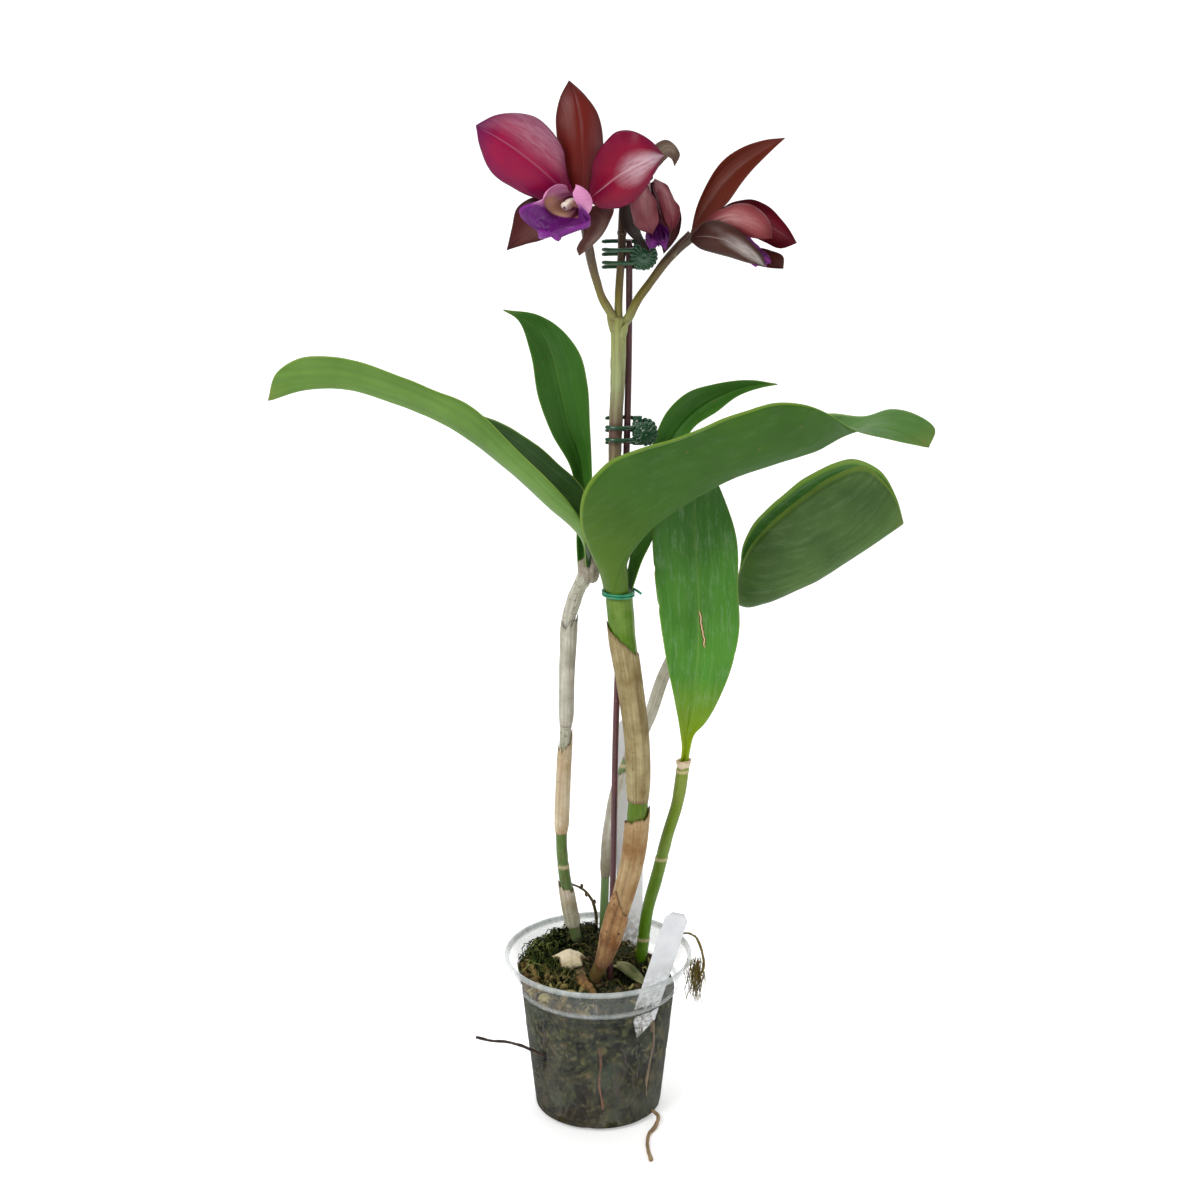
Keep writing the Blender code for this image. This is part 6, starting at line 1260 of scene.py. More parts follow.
# heart, body, margin, colour of the painted sheen highlight, its place (across, along), back, how strong the
# painted highlight is
TEPAL_TONES = {
    "bloom_1_dorsal_sepal": (
        (84, 18, 16), (108, 26, 18), (70, 12, 12), (206, 170, 186), (0.7, 0.3), (92, 40, 30), 0.1),
    "bloom_1_left_petal": (
        (110, 2, 58), (150, 6, 60), (86, 2, 68), (206, 170, 186), (-0.7, 0.55), (110, 30, 50), 0.42),
    "bloom_1_right_petal": (
        (96, 2, 40), (136, 4, 44), (92, 2, 48), (230, 206, 216), (0.1, 0.82), (110, 30, 50), 0.75),
    "bloom_1_left_sepal": (
        (52, 8, 10), (74, 14, 14), (50, 8, 8), (150, 110, 100), (0.2, 0.5), (84, 50, 46), 0.2),
    "bloom_1_right_sepal": (
        (54, 16, 16), (72, 30, 28), (88, 54, 44), (176, 156, 140), (0, 0.6), (84, 52, 42), 0.35),
    "bloom_2_dorsal_sepal": (
        (70, 48, 42), (92, 74, 60), (84, 60, 50), (176, 160, 140), (0, 0.5), (92, 70, 58), 0.35),
    "bloom_2_left_petal": (
        (96, 36, 46), (140, 74, 82), (96, 34, 46), (206, 160, 160), (0.2, 0.4), (128, 62, 72), 0.45),
    "bloom_2_right_petal": (
        (86, 22, 34), (124, 50, 60), (76, 20, 28), (206, 156, 160), (0.2, 0.4), (112, 44, 54), 0.45),
    "bloom_2_left_sepal": (
        (44, 34, 32), (58, 46, 42), (40, 30, 28), (150, 140, 130), (0, 0.4), (58, 46, 42), 0.3),
    "bloom_2_right_sepal": (
        (56, 20, 22), (82, 30, 32), (54, 20, 22), (170, 120, 116), (0.2, 0.5), (88, 36, 36), 0.3),
    "bloom_3_dorsal_sepal": (
        (98, 22, 12), (118, 30, 16), (56, 18, 14), (190, 130, 100), (0.4, 0.5), (104, 40, 26), 0.2),
    "bloom_3_near_sepal": (
        (56, 26, 22), (74, 40, 32), (46, 26, 22), (228, 218, 214), (-0.1, 0.76), (64, 44, 36), 0.66),
    "bloom_3_near_petal": (
        (104, 28, 36), (142, 62, 66), (96, 26, 32), (216, 166, 164), (0, 0.5), (134, 60, 62), 0.45),
    "bloom_3_far_petal": (
        (84, 12, 26), (112, 18, 34), (72, 10, 22), (176, 100, 110), (0, 0.6), (96, 24, 34), 0.3),
    "bloom_3_far_sepal": (
        (64, 26, 22), (88, 40, 30), (66, 28, 22), (170, 130, 110), (0.1, 0.5), (88, 48, 38), 0.3),
}
FOOT_DROPS = {"bloom_1_dorsal_sepal": 5.5 * MM, "bloom_3_dorsal_sepal": 3.2 * MM}
for seed, (name, rails) in enumerate(TEPALS.items()):
    petal = "petal" in name
    rails = [np.array(line) for line in rails]
    if name == "bloom_1_dorsal_sepal":
        rails[0] -= [(3.6 * MM * share, 0, 0) for share in (1, 1.3, 0.8, 0.2, 0, 0, 0)]
    for line in rails:
        line[0, 2] -= FOOT_DROPS.get(name, 0.0)
    paint = petal_paint("skin_" + name, *TEPAL_TONES[name])
    ruffle, frill = ((0.7 * MM, 2.5), (0.15 * MM, 6)) if petal else ((0, 0), (0.12 * MM, 4))
    if petal and name[6] == "1":
        frill = (0.45 * MM, 6)
    made = blade(
        rails, 72, 37, 2.0, 0.85 * MM, facing=FACING[name[:7]], ruffle=ruffle, frill=frill,
        crease=0.4 * MM, dimple=0.35 * MM, seed=seed)
    put(name + "_skin", made, paint, [name], "petal_crimson" if petal else "sepal_maroon")


# %% Lips and columns
def lip(floor, upward, widths, heights, wraps, skirt, rise, corners, neck, rows=80, columns=81):
    """A throat rolled round the column that opens into a frilled front lobe.

    A point lies at  floor + a sin(w v) right + b (1 - cos(w v)) up. Towards the front the rim
    waves by a coarse sine and a fine one, each growing with |v|, and the skirt spreads it. The
    lobe stands up to rise higher, its two corners are drawn out sideways, and a narrow neck
    lies between hood and lobe.
    """
    path = rail(floor, rows)
    along = unit(np.gradient(path, axis=0))
    up = unit(np.array(upward) - along * (along @ np.array(upward))[:, None])
    right = np.cross(along, up)
    u, v = grid_of(rows, columns)
    a = profile(widths, rows)[:, None] * (1 - neck * bells(u, [0.54], 0.08))
    turn = np.radians(profile(wraps, rows))[:, None] * v
    front = np.clip((u - 0.45) / 0.55, 0, 1)
    waves = 2.3 * MM * front * np.abs(v) * np.sin(11 * math.pi * (v + 1) / 2 + 3 * u)
    waves += 0.95 * MM * front * np.abs(v) ** 1.5 * np.sin(36 * v + 24 * u)
    run = 1.5 * MM * front**3 * (np.sin(15 * v + 1) + 0.6 * np.sin(41 * v) + 0.4 * np.sin(67 * v + 2))
    spread = skirt * np.clip((u - 0.55) / 0.25, 0, 1) ** 1.5 * v * np.abs(v)
    high = profile(heights, rows)[:, None] * (1 - np.cos(turn)) + waves
    high = high - (0.2 if corners else 0.7) * np.abs(spread)
    grid = path[:, None] + run[..., None] * along[:, None]
    grid = grid + (a * np.sin(turn) + spread)[..., None] * right[:, None] + high[..., None] * up[:, None]
    grid[..., 2] += rise * np.clip((u - 0.5) / 0.5, 0, 1) ** 1.3
    bell = corners * np.sin(math.pi * np.clip((u - 0.54) / 0.42, 0, 1)) ** 1.3
    for way, pull in ((v, (-0.7, 0, 0.9)), (-v, (0.6, 0, 0.15))):
        grid = grid + (bell * np.maximum(0, way) ** 2)[..., None] * np.array(pull)
    return sheet(grid, 0.8 * MM)


# Throat, hood, hood inside, lobe, lobe margin and where the hood ends
LIP_TONES = {
    "bloom_1_lip": ((110, 14, 70), (222, 140, 190), (228, 186, 146), (84, 0, 92), (140, 28, 150), 0.31),
    "bloom_2_lip": ((60, 20, 26), (104, 44, 48), (126, 62, 62), (78, 2, 82), (128, 30, 136), 0.42),
    "bloom_3_lip": ((70, 14, 40), (120, 44, 110), (170, 110, 120), (90, 4, 92), (142, 40, 146), 0.2),
}
# Skirt, rise and corners in millimetres, and the share that the neck is narrower
LIP_FORMS = {
    "bloom_1_lip": (3.6, 5.3, 5.4, 0.26), "bloom_2_lip": (1.5, 3, 0, 0), "bloom_3_lip": (4.2, 6, 0, 0)}
for name, measures in LIPS.items():
    *form, neck = LIP_FORMS[name]
    paint = lip_paint("skin_" + name, *LIP_TONES[name])
    put(name + "_skin", lip(*measures, *mm(*form), neck), paint, [name], "lip_violet")
column_skin = column_paint()
for name, (points, radii) in COLUMNS.items():
    path, last = rail(points, 40), radii[-1]
    end, way = path[-1], unit(path[-1] - path[-4])
    cap = ball(end + way * 0.4 * MM, np.array([1, 1, 0.85]) * last * 1.04, 14, 22, 0.12, 3)
    cap["along"] += 1
    dot = ball(end + way * (0.5 * MM + last * 0.86), mm(0.75, 0.6, 0.7), 8, 12)
    dot["upper"] *= 0
    stem = tube(path, profile(radii, 40) * eased(40, [0, 0.9, 1], [1, 1, 0.7]), 28)
    put(name + "_body", join([stem, cap, dot]), column_skin, [name], "column_cream")
print("blooms done, pieces so far:", len(made_pieces))

# %% [markdown]
# ## 10. Pot
#
# The pot is turned from one outline: up the outside with its ledge and collar, over the rolled
# rim, and down the inside to a flat floor. Eight oval drainage holes and a slit are cut out of
# it, and a moulded rib stands on the front of its collar.


# %% Clear pot
def pot_radius(height):
    """Outer radius of the pot's body below its ledge, which widens evenly with height."""
    return BASE_RADIUS + (LEDGE_RADIUS - BASE_RADIUS) * height / LEDGE_HEIGHT


def to_object(name, part):
    data = bpy.data.meshes.new(name)
    data.from_pydata(part["points"].tolist(), [], part["quads"].tolist() + part["triangles"].tolist())
    data.update()
    return added(name, data)


def beside(radius, *steps):
    """Outline corners given as (millimetres outwards from a radius, height in millimetres)."""
    return [(radius + outwards * MM, height * MM) for outwards, height in steps]


wall_low = pot_radius(2 * MM) - WALL
outline = [
    (8 * MM, 0.9 * MM), (8.5 * MM, 0.2 * MM),
    *beside(BASE_RADIUS, (-5, 0.2), (-4.6, 0), (-1, 0), (-0.25, 0.3)),
    *[(pot_radius(z), z) for z in np.linspace(1, 71.4, 36) * MM],
    *beside(LEDGE_RADIUS, (0.1, 71.7), (0.9, 72), (1.15, 72.5), (1.1, 73.2)),
    *beside(LEDGE_RADIUS, *[(1.1 + 4.9 * t, 73.2 + 12.6 * t) for t in np.linspace(0.08, 0.96, 12)]),
    *beside(RIM_RADIUS, (-1.25, 86), (-0.4, 86.2), (0, 86.8), (0, 88.3), (-0.25, 88.8), (-0.7, 89)),
    *beside(RIM_RADIUS, (-1.5, 88.85), (-2, 88.2), (-2.4, 86.4)),
    *beside(LEDGE_RADIUS, *[(5.0 * t - 0.1, 73 + 13 * t) for t in np.linspace(0.94, 0.04, 12)]),
    *beside(LEDGE_RADIUS, (-0.4, 72.4), (-1, 71.6)),
    *[(pot_radius(z) - WALL, z) for z in np.linspace(70, 3.4, 36) * MM],
    (wall_low - 0.4 * MM, 2.0 * MM), (wall_low - 1.4 * MM, FLOOR), (8 * MM, FLOOR),
]
shell = to_object("pot_shell", turned(outline, 128))
cutters = bpy.data.collections.new("pot_cutters")


def cutter(name, angle, half_width, half_height, height, power, radius, depth, sides):
    """A hole's plug: an outline |cos|^power, |sin|^power swept outwards through the wall."""
    turn = turns(sides)
    x, z = (np.sign(way) * np.abs(way) ** power for way in (np.cos(turn), np.sin(turn)))
    ring = np.outer(x, [-math.sin(angle), math.cos(angle), 0]) * half_width
    ring = ring + np.outer(z, [0, 0, 1.0]) * half_height + [0, 0, height]
    out = np.array([math.cos(angle), math.sin(angle), 0])
    k = np.arange(sides)
    fan = [np.stack([0 * k[2:], k[2:], k[1:-1]], axis=1),
           np.stack([0 * k[2:], k[1:-1], k[2:]], axis=1) + sides]
    points = np.concatenate([ring + out * (radius - depth), ring + out * (radius + depth)])
    cutters.objects.link(to_object(name, bundle(points, ring_faces(2, sides), np.concatenate(fan))))


for k in range(DRAIN_COUNT):
    angle = DRAIN_FIRST_ANGLE + math.tau / DRAIN_COUNT * k
    cutter(
        "drain_cutter", angle, DRAIN_HALF_WIDTH, DRAIN_HALF_HEIGHT, DRAIN_HEIGHT, 1, BASE_RADIUS, 4 * MM, 40)
slit_height = (SLIT_LOW + SLIT_HIGH) / 2
cutter(
    "slit_cutter", SLIT_ANGLE, SLIT_WIDTH / 2, (SLIT_HIGH - SLIT_LOW) / 2, slit_height, 0.4,
    pot_radius(slit_height), 3 * MM, 32)
holes = shell.modifiers.new("holes", "BOOLEAN")
holes.operation, holes.operand_type, holes.solver = "DIFFERENCE", "COLLECTION", "EXACT"
holes.collection = cutters
graph = bpy.context.evaluated_depsgraph_get()
cut = bpy.data.meshes.new_from_object(shell.evaluated_get(graph))
for helper in [shell, *cutters.objects]:
    bpy.data.objects.remove(helper)
bpy.data.collections.remove(cutters)
cut.name = "clear_pot_shell"
cut.materials.clear()
plastic = pot_paint()
cut.materials.append(plastic)
cut.shade_smooth()
cut.set_sharp_from_angle(angle=math.radians(42))
pot_triangles = sum(len(face.vertices) - 2 for face in cut.polygons)
ride(added("clear_pot_shell", cut), pot_triangles, ["clear_pot"])
print("pot faces:", len(cut.polygons))

# A thin disc closes the middle of the floor, and a moulded rib stands on the front of the collar
hub = turned(mm((0.02, 0.9), (8.2, 0.9), (8.2, 1.4), (0.02, 1.4)), 48)
rib_angle, t = math.radians(-91), np.linspace(0.1, 0.62, 12)
away = LEDGE_RADIUS + (1.5 + 4.9 * t) * MM
rib_line = [away * math.cos(rib_angle), away * math.sin(rib_angle), LEDGE_HEIGHT + (1.2 + 12.6 * t) * MM]
rib = tube(np.stack(rib_line, axis=1), profile(mm(0.3, 0.7, 0.7, 0.3), 12), 12)
put("pot_rib_and_hub", join([hub, rib]), plastic, (), "clear_plastic")

# %% [markdown]
# ## 11. Growing mix, bark, moss and roots
#
# The mix fills the pot up to a mounded top. Its wall is pressed against the plastic, so it is
# smooth there with small hollows. Lumps of bark and thin moss threads are scattered on top by a
# seeded rule, thicker on the left where the photograph shows a dark green tangle.


# %% Mix body
def mix_height(x, y):
    """Height of the mix: a level, low mounds round the canes, and lumps of two sizes."""
    xm, ym = x / MM, y / MM
    height = 1.3 * np.sin(0.45 * xm + 1.0) * np.cos(0.52 * ym + 0.4)
    height = height + 0.7 * np.sin(1.1 * xm + 0.3 * ym) * np.sin(0.9 * ym - 0.5)
    for middle_x, middle_y, rise, spread in MOUNDS:
        height = height + rise * np.exp(-((xm - middle_x) ** 2 + (ym - middle_y) ** 2) / (2 * spread**2))
    return MIX_LEVEL + height * MM * np.clip((LEDGE_RADIUS - np.hypot(x, y)) / (8 * MM), 0, 1)


def label_ways(foot, top, roll):
    """The directions up a label, across it, and out of its face."""
    up = unit(top - foot)
    across = np.array([math.cos(roll), math.sin(roll), 0])
    across = unit(across - up * (across @ up))
    return up, across, np.cross(across, up)


def behind_label(points):
    """Points in front of the label's lower part move back to 0.8 mm behind its plane."""
    up, across, facing = label_ways(LABEL_FOOT, LABEL_TOP, LABEL_TURN)
    from_foot = points - LABEL_FOOT
    depth, aside, rise = from_foot @ facing, from_foot @ across, from_foot @ up
    near = (np.abs(aside) < LABEL_WIDTH / 2 + 0.6 * MM) & (rise > -0.5 * MM) & (rise < 40 * MM)
    push = np.where(near, np.maximum(0, depth + 0.8 * MM), 0)
    return points - push[:, None] * facing


turn = turns(240)
rings = []
for height in np.linspace(0.002, 0.0675, 60):
    radius = pot_radius(height) - WALL - 0.3 * MM
    ring = np.stack([radius * np.cos(turn), radius * np.sin(turn), height + 0 * turn], axis=1)
    hollow = 0.6 * MM * np.clip(layered(ring, 0.007, 3, 4), 0, 1) ** 1.2
    ring[:, :2] *= (1 - hollow / radius)[:, None]
    rings.append(behind_label(ring))
edge_radius = pot_radius(MIX_LEVEL) - WALL - 0.35 * MM
for share in np.linspace(1, 0.02, 60):
    x, y = edge_radius * share * np.cos(turn), edge_radius * share * np.sin(turn)
    ring = np.stack([x, y, mix_height(x, y)], axis=1)
    ring[:, 2] += 1.3 * MM * layered(ring, 0.006, 4, 9) * min(1, (1 - share) * 12)
    rings.append(ring)
put("growing_mix_body", closed_rings(np.array(rings)), mix_paint(), ["growing_mix"], "bark_moss")


# %% Bark lumps
def chunk(middle, size, turn, tip, seed):
    """A rough flat lump, turned about the upright and then tipped."""
    made = ball((0, 0, 0), size, 7, 11, 0.35, seed)
    points = np.sign(made["points"]) * np.abs(made["points"] / size) ** 0.8 * size
    points = points + 0.12 * size * layered(points + seed, 0.003, 2, seed)[:, None]
    c, s = math.cos(tip), math.sin(tip)
    points = points @ np.array([[1, 0, 0], [0, c, s], [0, -s, c]])
    c, s = math.cos(turn), math.sin(turn)
    made["points"] = points @ np.array([[c, s, 0], [-s, c, 0], [0, 0, 1]]) + middle
    made["tone"] = np.full(len(points), (seed * 0.618) % 1.0)
    return made


draw = np.random.default_rng(7)
lumps = []
for number in range(150):
    away, angle = 39 * MM * math.sqrt(draw.random()), draw.uniform(0, math.tau)
    size = np.array([draw.uniform(1.4, 4.2), draw.uniform(1.2, 3.0), draw.uniform(0.8, 1.8)]) * MM
    away *= min(1, (40.2 * MM - size[0]) / max(away, 1e-6))
    x, y = away * math.cos(angle), away * math.sin(angle)
    middle = (x, y, float(mix_height(x, y)) + draw.uniform(-0.3, 0.9) * MM)
    lumps.append(chunk(middle, size, draw.uniform(0, 6.3), draw.uniform(-0.6, 0.6), number))
bark = moss_paint("bark_lump", (40, 30, 20), (72, 56, 36), (112, 96, 66))
put("bark_lumps", join(lumps), bark, (), "bark_moss")


# %% Moss threads
def cap_quads(sides, start):
    """Four-cornered faces that close an end ring: each spans two steps of the ring."""
    step = np.arange(0, sides - 2, 2)
    cap = np.stack([0 * step, step + 1, step + 2, np.minimum(step + 3, sides - 1)], axis=1)
    return (cap if start else cap[:, ::-1]) + start


def threads(paths, radii, tones, sides=3):
    """Many thin closed threads in one bundle: a ring of corners swept along each path."""
    count, rows = paths.shape[:2]
    along = unit(np.gradient(paths, axis=1))
    right = unit(np.cross(along, np.array([0.31, 0.2, 0.93])))
    angle = turns(sides)[:, None]
    ring = np.cos(angle) * right[:, :, None] + np.sin(angle) * np.cross(along, right)[:, :, None]
    points = (paths[:, :, None] + radii[:, :, None, None] * ring).reshape(-1, 3)
    size = rows * sides
    shift = (np.arange(count) * size)[:, None, None]
    faces, caps = ring_faces(rows, sides), np.zeros((0, 3), int)
    if sides == 3:
        caps = np.array([[2, 1, 0], [size - 3, size - 2, size - 1]])
    else:
        faces = np.concatenate([faces, *(cap_quads(sides, start) for start in (0, size - sides))])
    along = np.tile(np.repeat(np.linspace(0, 1, rows), sides), count)
    return plain(points, faces + shift, caps + shift, along=along, tone=np.repeat(tones, size))


def tangle(starts, reach, rise, radius, tones, seed, rows=8, sides=3):
    """Curled paths that leave each start, wander by a noise, and sink back.

    A path is  start + reach (t - 0.5) heading + rise sin(pi t) up + wander(t).
    """
    made = np.random.default_rng(seed)
    count = len(starts)
    heading, bend = made.uniform(0, math.tau, count), made.uniform(-2.4, 2.4, count)
    t = np.linspace(0, 1, rows)[None, :]
    way = heading[:, None] + bend[:, None] * (t - 0.5)
    step = (reach / rows)[:, None]
    x, y = np.cumsum(np.cos(way) * step, axis=1), np.cumsum(np.sin(way) * step, axis=1)
    lift = rise[:, None] * np.sin(math.pi * (0.12 + 0.8 * t)) ** 1.2
    wander = made.normal(0, 1, (count, rows, 3)) * (reach * 0.035)[:, None, None]
    curl = np.stack([x - x.mean(axis=1, keepdims=True), y - y.mean(axis=1, keepdims=True), lift], axis=-1)
    width = radius[:, None] * eased(rows, [0, 0.5, 1], [1, 0.9, 0.35])
    return threads(starts[:, None] + curl + wander, width, tones, sides)


def scatter(count, seed, low_angle, high_angle, low, high, bias=0.5):
    """Random starts on the mix, between two angles and two radii, resting on its surface."""
    made = np.random.default_rng(seed)
    angle = np.radians(made.uniform(low_angle, high_angle, count))
    away = (low + (high - low) * made.random(count) ** bias) * MM
    x, y = away * np.cos(angle), away * np.sin(angle)
    return np.stack([x, y, mix_height(x, y)], axis=1)


def drawn(starts, reach, rise, radius, power, seed, rows=8, sides=3):
    """A tangle whose reach, rise and radius are drawn between two lengths in millimetres."""
    count = len(starts)
    sizes = [draw.uniform(low, high, count) * MM for low, high in (reach, rise, radius)]
    return tangle(starts, *sizes, draw.random(count) ** power, seed, rows, sides)


def kept_inside(moss):
    """Draws points that pass the pot's inner wall back to it."""
    points = moss["points"]
    most = np.interp(points[:, 2], [0.066, 0.072, 0.088], [0.0405, 0.0412, 0.0462])
    points[:, :2] *= np.minimum(1, most / np.maximum(np.hypot(points[:, 0], points[:, 1]), 1e-9))[:, None]
    return moss


def put_moss(name, moss, dark, mid, light, paint_name=None):
    put(name, moss, moss_paint(paint_name or name, dark, mid, light), (), "bark_moss")


draw = np.random.default_rng(21)
left_moss = drawn(scatter(820, 1, 95, 262, 4, 37), (4, 12), (0.8, 6.0), (0.16, 0.42), 1.4, 2)
right_moss = drawn(scatter(420, 3, -98, 95, 2, 37), (3, 9), (0.5, 3.0), (0.15, 0.36), 1.2, 4)
moss = join([kept_inside(left_moss), kept_inside(right_moss)])
put_moss("moss_threads", moss, (22, 28, 14), (56, 66, 26), (132, 128, 64), "moss_thread")
starts = np.concatenate([scatter(300, 15, 96, 196, 10, 37), scatter(420, 25, 92, 178, 26, 43)])
starts[300:, 2] += draw.uniform(0, 7, 420) * MM
tall_moss = kept_inside(drawn(starts, (7, 17), (3, 11), (0.2, 0.5), 1.3, 16, 12))
starts = np.concatenate([scatter(50, 17, 128, 268, 17, 38, 0.45), scatter(90, 19, 160, 248, 35, 41)])
starts[50:, 2] += draw.uniform(0, 8, 90) * MM * np.interp(starts[50:, 1], [-0.036, -0.012], [0.2, 1])
heap = kept_inside(drawn(starts, (6, 12), (1, 5), (0.9, 2.2), 1, 18, 16, 6))
for moss in (tall_moss, heap):
    moss["points"][:, 2] = np.minimum(moss["points"][:, 2], 0.088)
heap["points"] += 0.35 * MM * layered(heap["points"], 0.0022, 3, 5)[:, None]
put_moss("tall_moss", tall_moss, (22, 34, 8), (62, 82, 20), (150, 156, 80))
put_moss("moss_heap", heap, (58, 42, 20), (124, 102, 54), (176, 162, 104))
fuzz = drawn(scatter(1500, 5, 0, 360, 1, 39.5), (1.2, 3.4), (0.3, 1.6), (0.09, 0.2), 1, 6, 5)
put_moss("moss_fuzz", fuzz, (34, 34, 16), (78, 78, 34), (160, 146, 86))
starts = np.concatenate([scatter(70, 8, 178, 262, 14, 37), scatter(26, 9, -95, 60, 10, 36)])
curls = kept_inside(drawn(starts, (5, 11), (1.5, 4.2), (0.5, 1.1), 1, 10, 12, 4))
put_moss("moss_curls", curls, (48, 38, 20), (110, 100, 48), (188, 180, 112), "moss_curl")


# %% Roots behind the wall
def wall_root(angles, heights, radius, seed, rows=40, sides=14):
    """A root that runs up between the mix and the wall, winding a little as it goes."""
    t = np.linspace(0, 1, rows)
    height = (heights[0] + (heights[1] - heights[0]) * t) * MM
    wind = np.radians(angles[0] + (angles[1] - angles[0]) * t) + 0.02 * np.sin(9 * t + seed)
    away = pot_radius(height) - WALL - radius * MM - 0.12 * MM
    path = np.stack([away * np.cos(wind), away * np.sin(wind), height], axis=1)
    thick = radius * MM * (1 + 0.12 * np.sin(17 * t + seed))
    thick = thick * eased(rows, [0, 0.06, 0.94, 1], [0.4, 1, 1, 0.4])
    return tube(path, thick, sides)


draw = np.random.default_rng(5)
left_roots = [wall_root((-137, -136), (46, 61), 0.8, 3)]
for number in range(26):
    low, start = draw.uniform(6, 40), draw.uniform(0, 360)
    angles, heights = (start, start + draw.uniform(-16, 16)), (low, low + draw.uniform(8, 26))
    left_roots.append(wall_root(angles, heights, draw.uniform(0.35, 0.7), number, 24, 8))
WALL_ROOTS = {  # piece, its material, the two tones and how rough it is
    "front_wall_root": (
        wall_root((-87, -89.5), (13, 54), 0.75, 1), "root_orange", (116, 70, 30), (76, 42, 18), 0.6),
    "right_wall_root": (
        wall_root((-44, -41), (14, 62), 1.5, 2), "root_tan", (112, 90, 60), (72, 54, 36), 0.7),
    "left_wall_root": (join(left_roots), "root_dark", (36, 26, 18), (66, 50, 32), 0.7),
}
for name, (part, paint_name, first, second, rough) in WALL_ROOTS.items():
    paint = plain_paint(paint_name, first, second, 300, rough, (1, 1, 0.25), 0.0002)
    put(name, part, paint, (), "root_brown")
print("mix done, pieces so far:", len(made_pieces))

# %% [markdown]
# ## 12. What lies on the mix and outside the pot
#
# The rootstock is ringed like old cane, with a stout root tip beside it. A curled paper scrap, a
# striped bract and a dead twig with buds lie round it. Outside the pot a thin root leaves the
# wall on the left, another rests on the floor, and dead moss hangs over the rim.


# %% Shapes of the litter
def rough_bump(share, size, layers, seed, less=0.0):
    """A share of layered noise, less a constant, as a tube's bump."""
    return lambda at, angle: share * layered(at, size, layers, seed) - less


def ringed(at, angle):
    """Scales that each step inwards over 2.6 mm, with a layered noise."""
    scales = np.mod(at[..., 1] / (2.6 * MM) + 0.15 * np.cos(angle), 1)
    return -0.16 * scales + 0.1 * layered(at, 0.004, 3, 2)


def curled_scrap(rows=50, columns=45):
    """A cone of dry paper: rings about an axis that open from -60 to 190 degrees."""
    path = rail(SCRAP_AXIS, rows)
    along = unit(np.gradient(path, axis=0))
    side = unit(np.cross(along, np.array([0, 0, 1.0])))
    u, v = grid_of(rows, columns, 0)
    angle = np.radians(-60 + 250 * v + 9 * np.sin(5 * u + 1) * (v - 0.5))
    shrink = 1 - 0.12 * v + 0.05 * np.sin(14 * u + 3 * v) * np.sin(math.pi * u)
    radius = profile(mm(3.4, 5.3, 5.6, 4.6, 3.0), rows)[:, None] * shrink
    torn = -4.4 * MM * np.exp(-(((v - 0.7) / 0.13) ** 2)) * (1 - u) ** 4 + 0.9 * MM * np.sin(7 * v + 1) * u**5
    grid = path[:, None] + torn[..., None] * along[:, None]
    grid = grid + (radius * np.cos(angle))[..., None] * side[:, None]
    return sheet(grid + (radius * np.sin(angle))[..., None] * np.cross(side, along)[:, None], 0.45 * MM)


def grown_bract(growth=1.22):
    """The bract's blade, its rails drawn larger about their middle."""
    middle = np.concatenate(OLD_BRACT).mean(axis=0)
    rails = [middle + growth * (np.array(line) - middle) for line in OLD_BRACT]
    return blade(rails, 60, 29, 1.6, 0.75 * MM, facing=(0, 0, 1), crease=0.5 * MM, dimple=0.3 * MM, seed=4)


def budded_twig():
    """A thin twig with four buds, each at a step of its rail and a heading round it."""
    parts = [tube(rail(TWIG, 120), profile(mm(0.9, 0.8, 0.6), 120), 14, rough_bump(0.2, 0.002, 2, 3))]
    knots = rail(TWIG, 40)
    for number, (k, heading) in enumerate(((20, 0.4), (26, 3.3), (32, 1.0), (39, 2.5))):
        aside = np.array([math.cos(heading), 0.3, math.sin(heading)]) * 0.7 * MM
        parts.append(ball(knots[k] + 1.3 * aside, mm(0.8, 0.7, 1.4), 12, 18, 0.25, number))
    return join(parts)


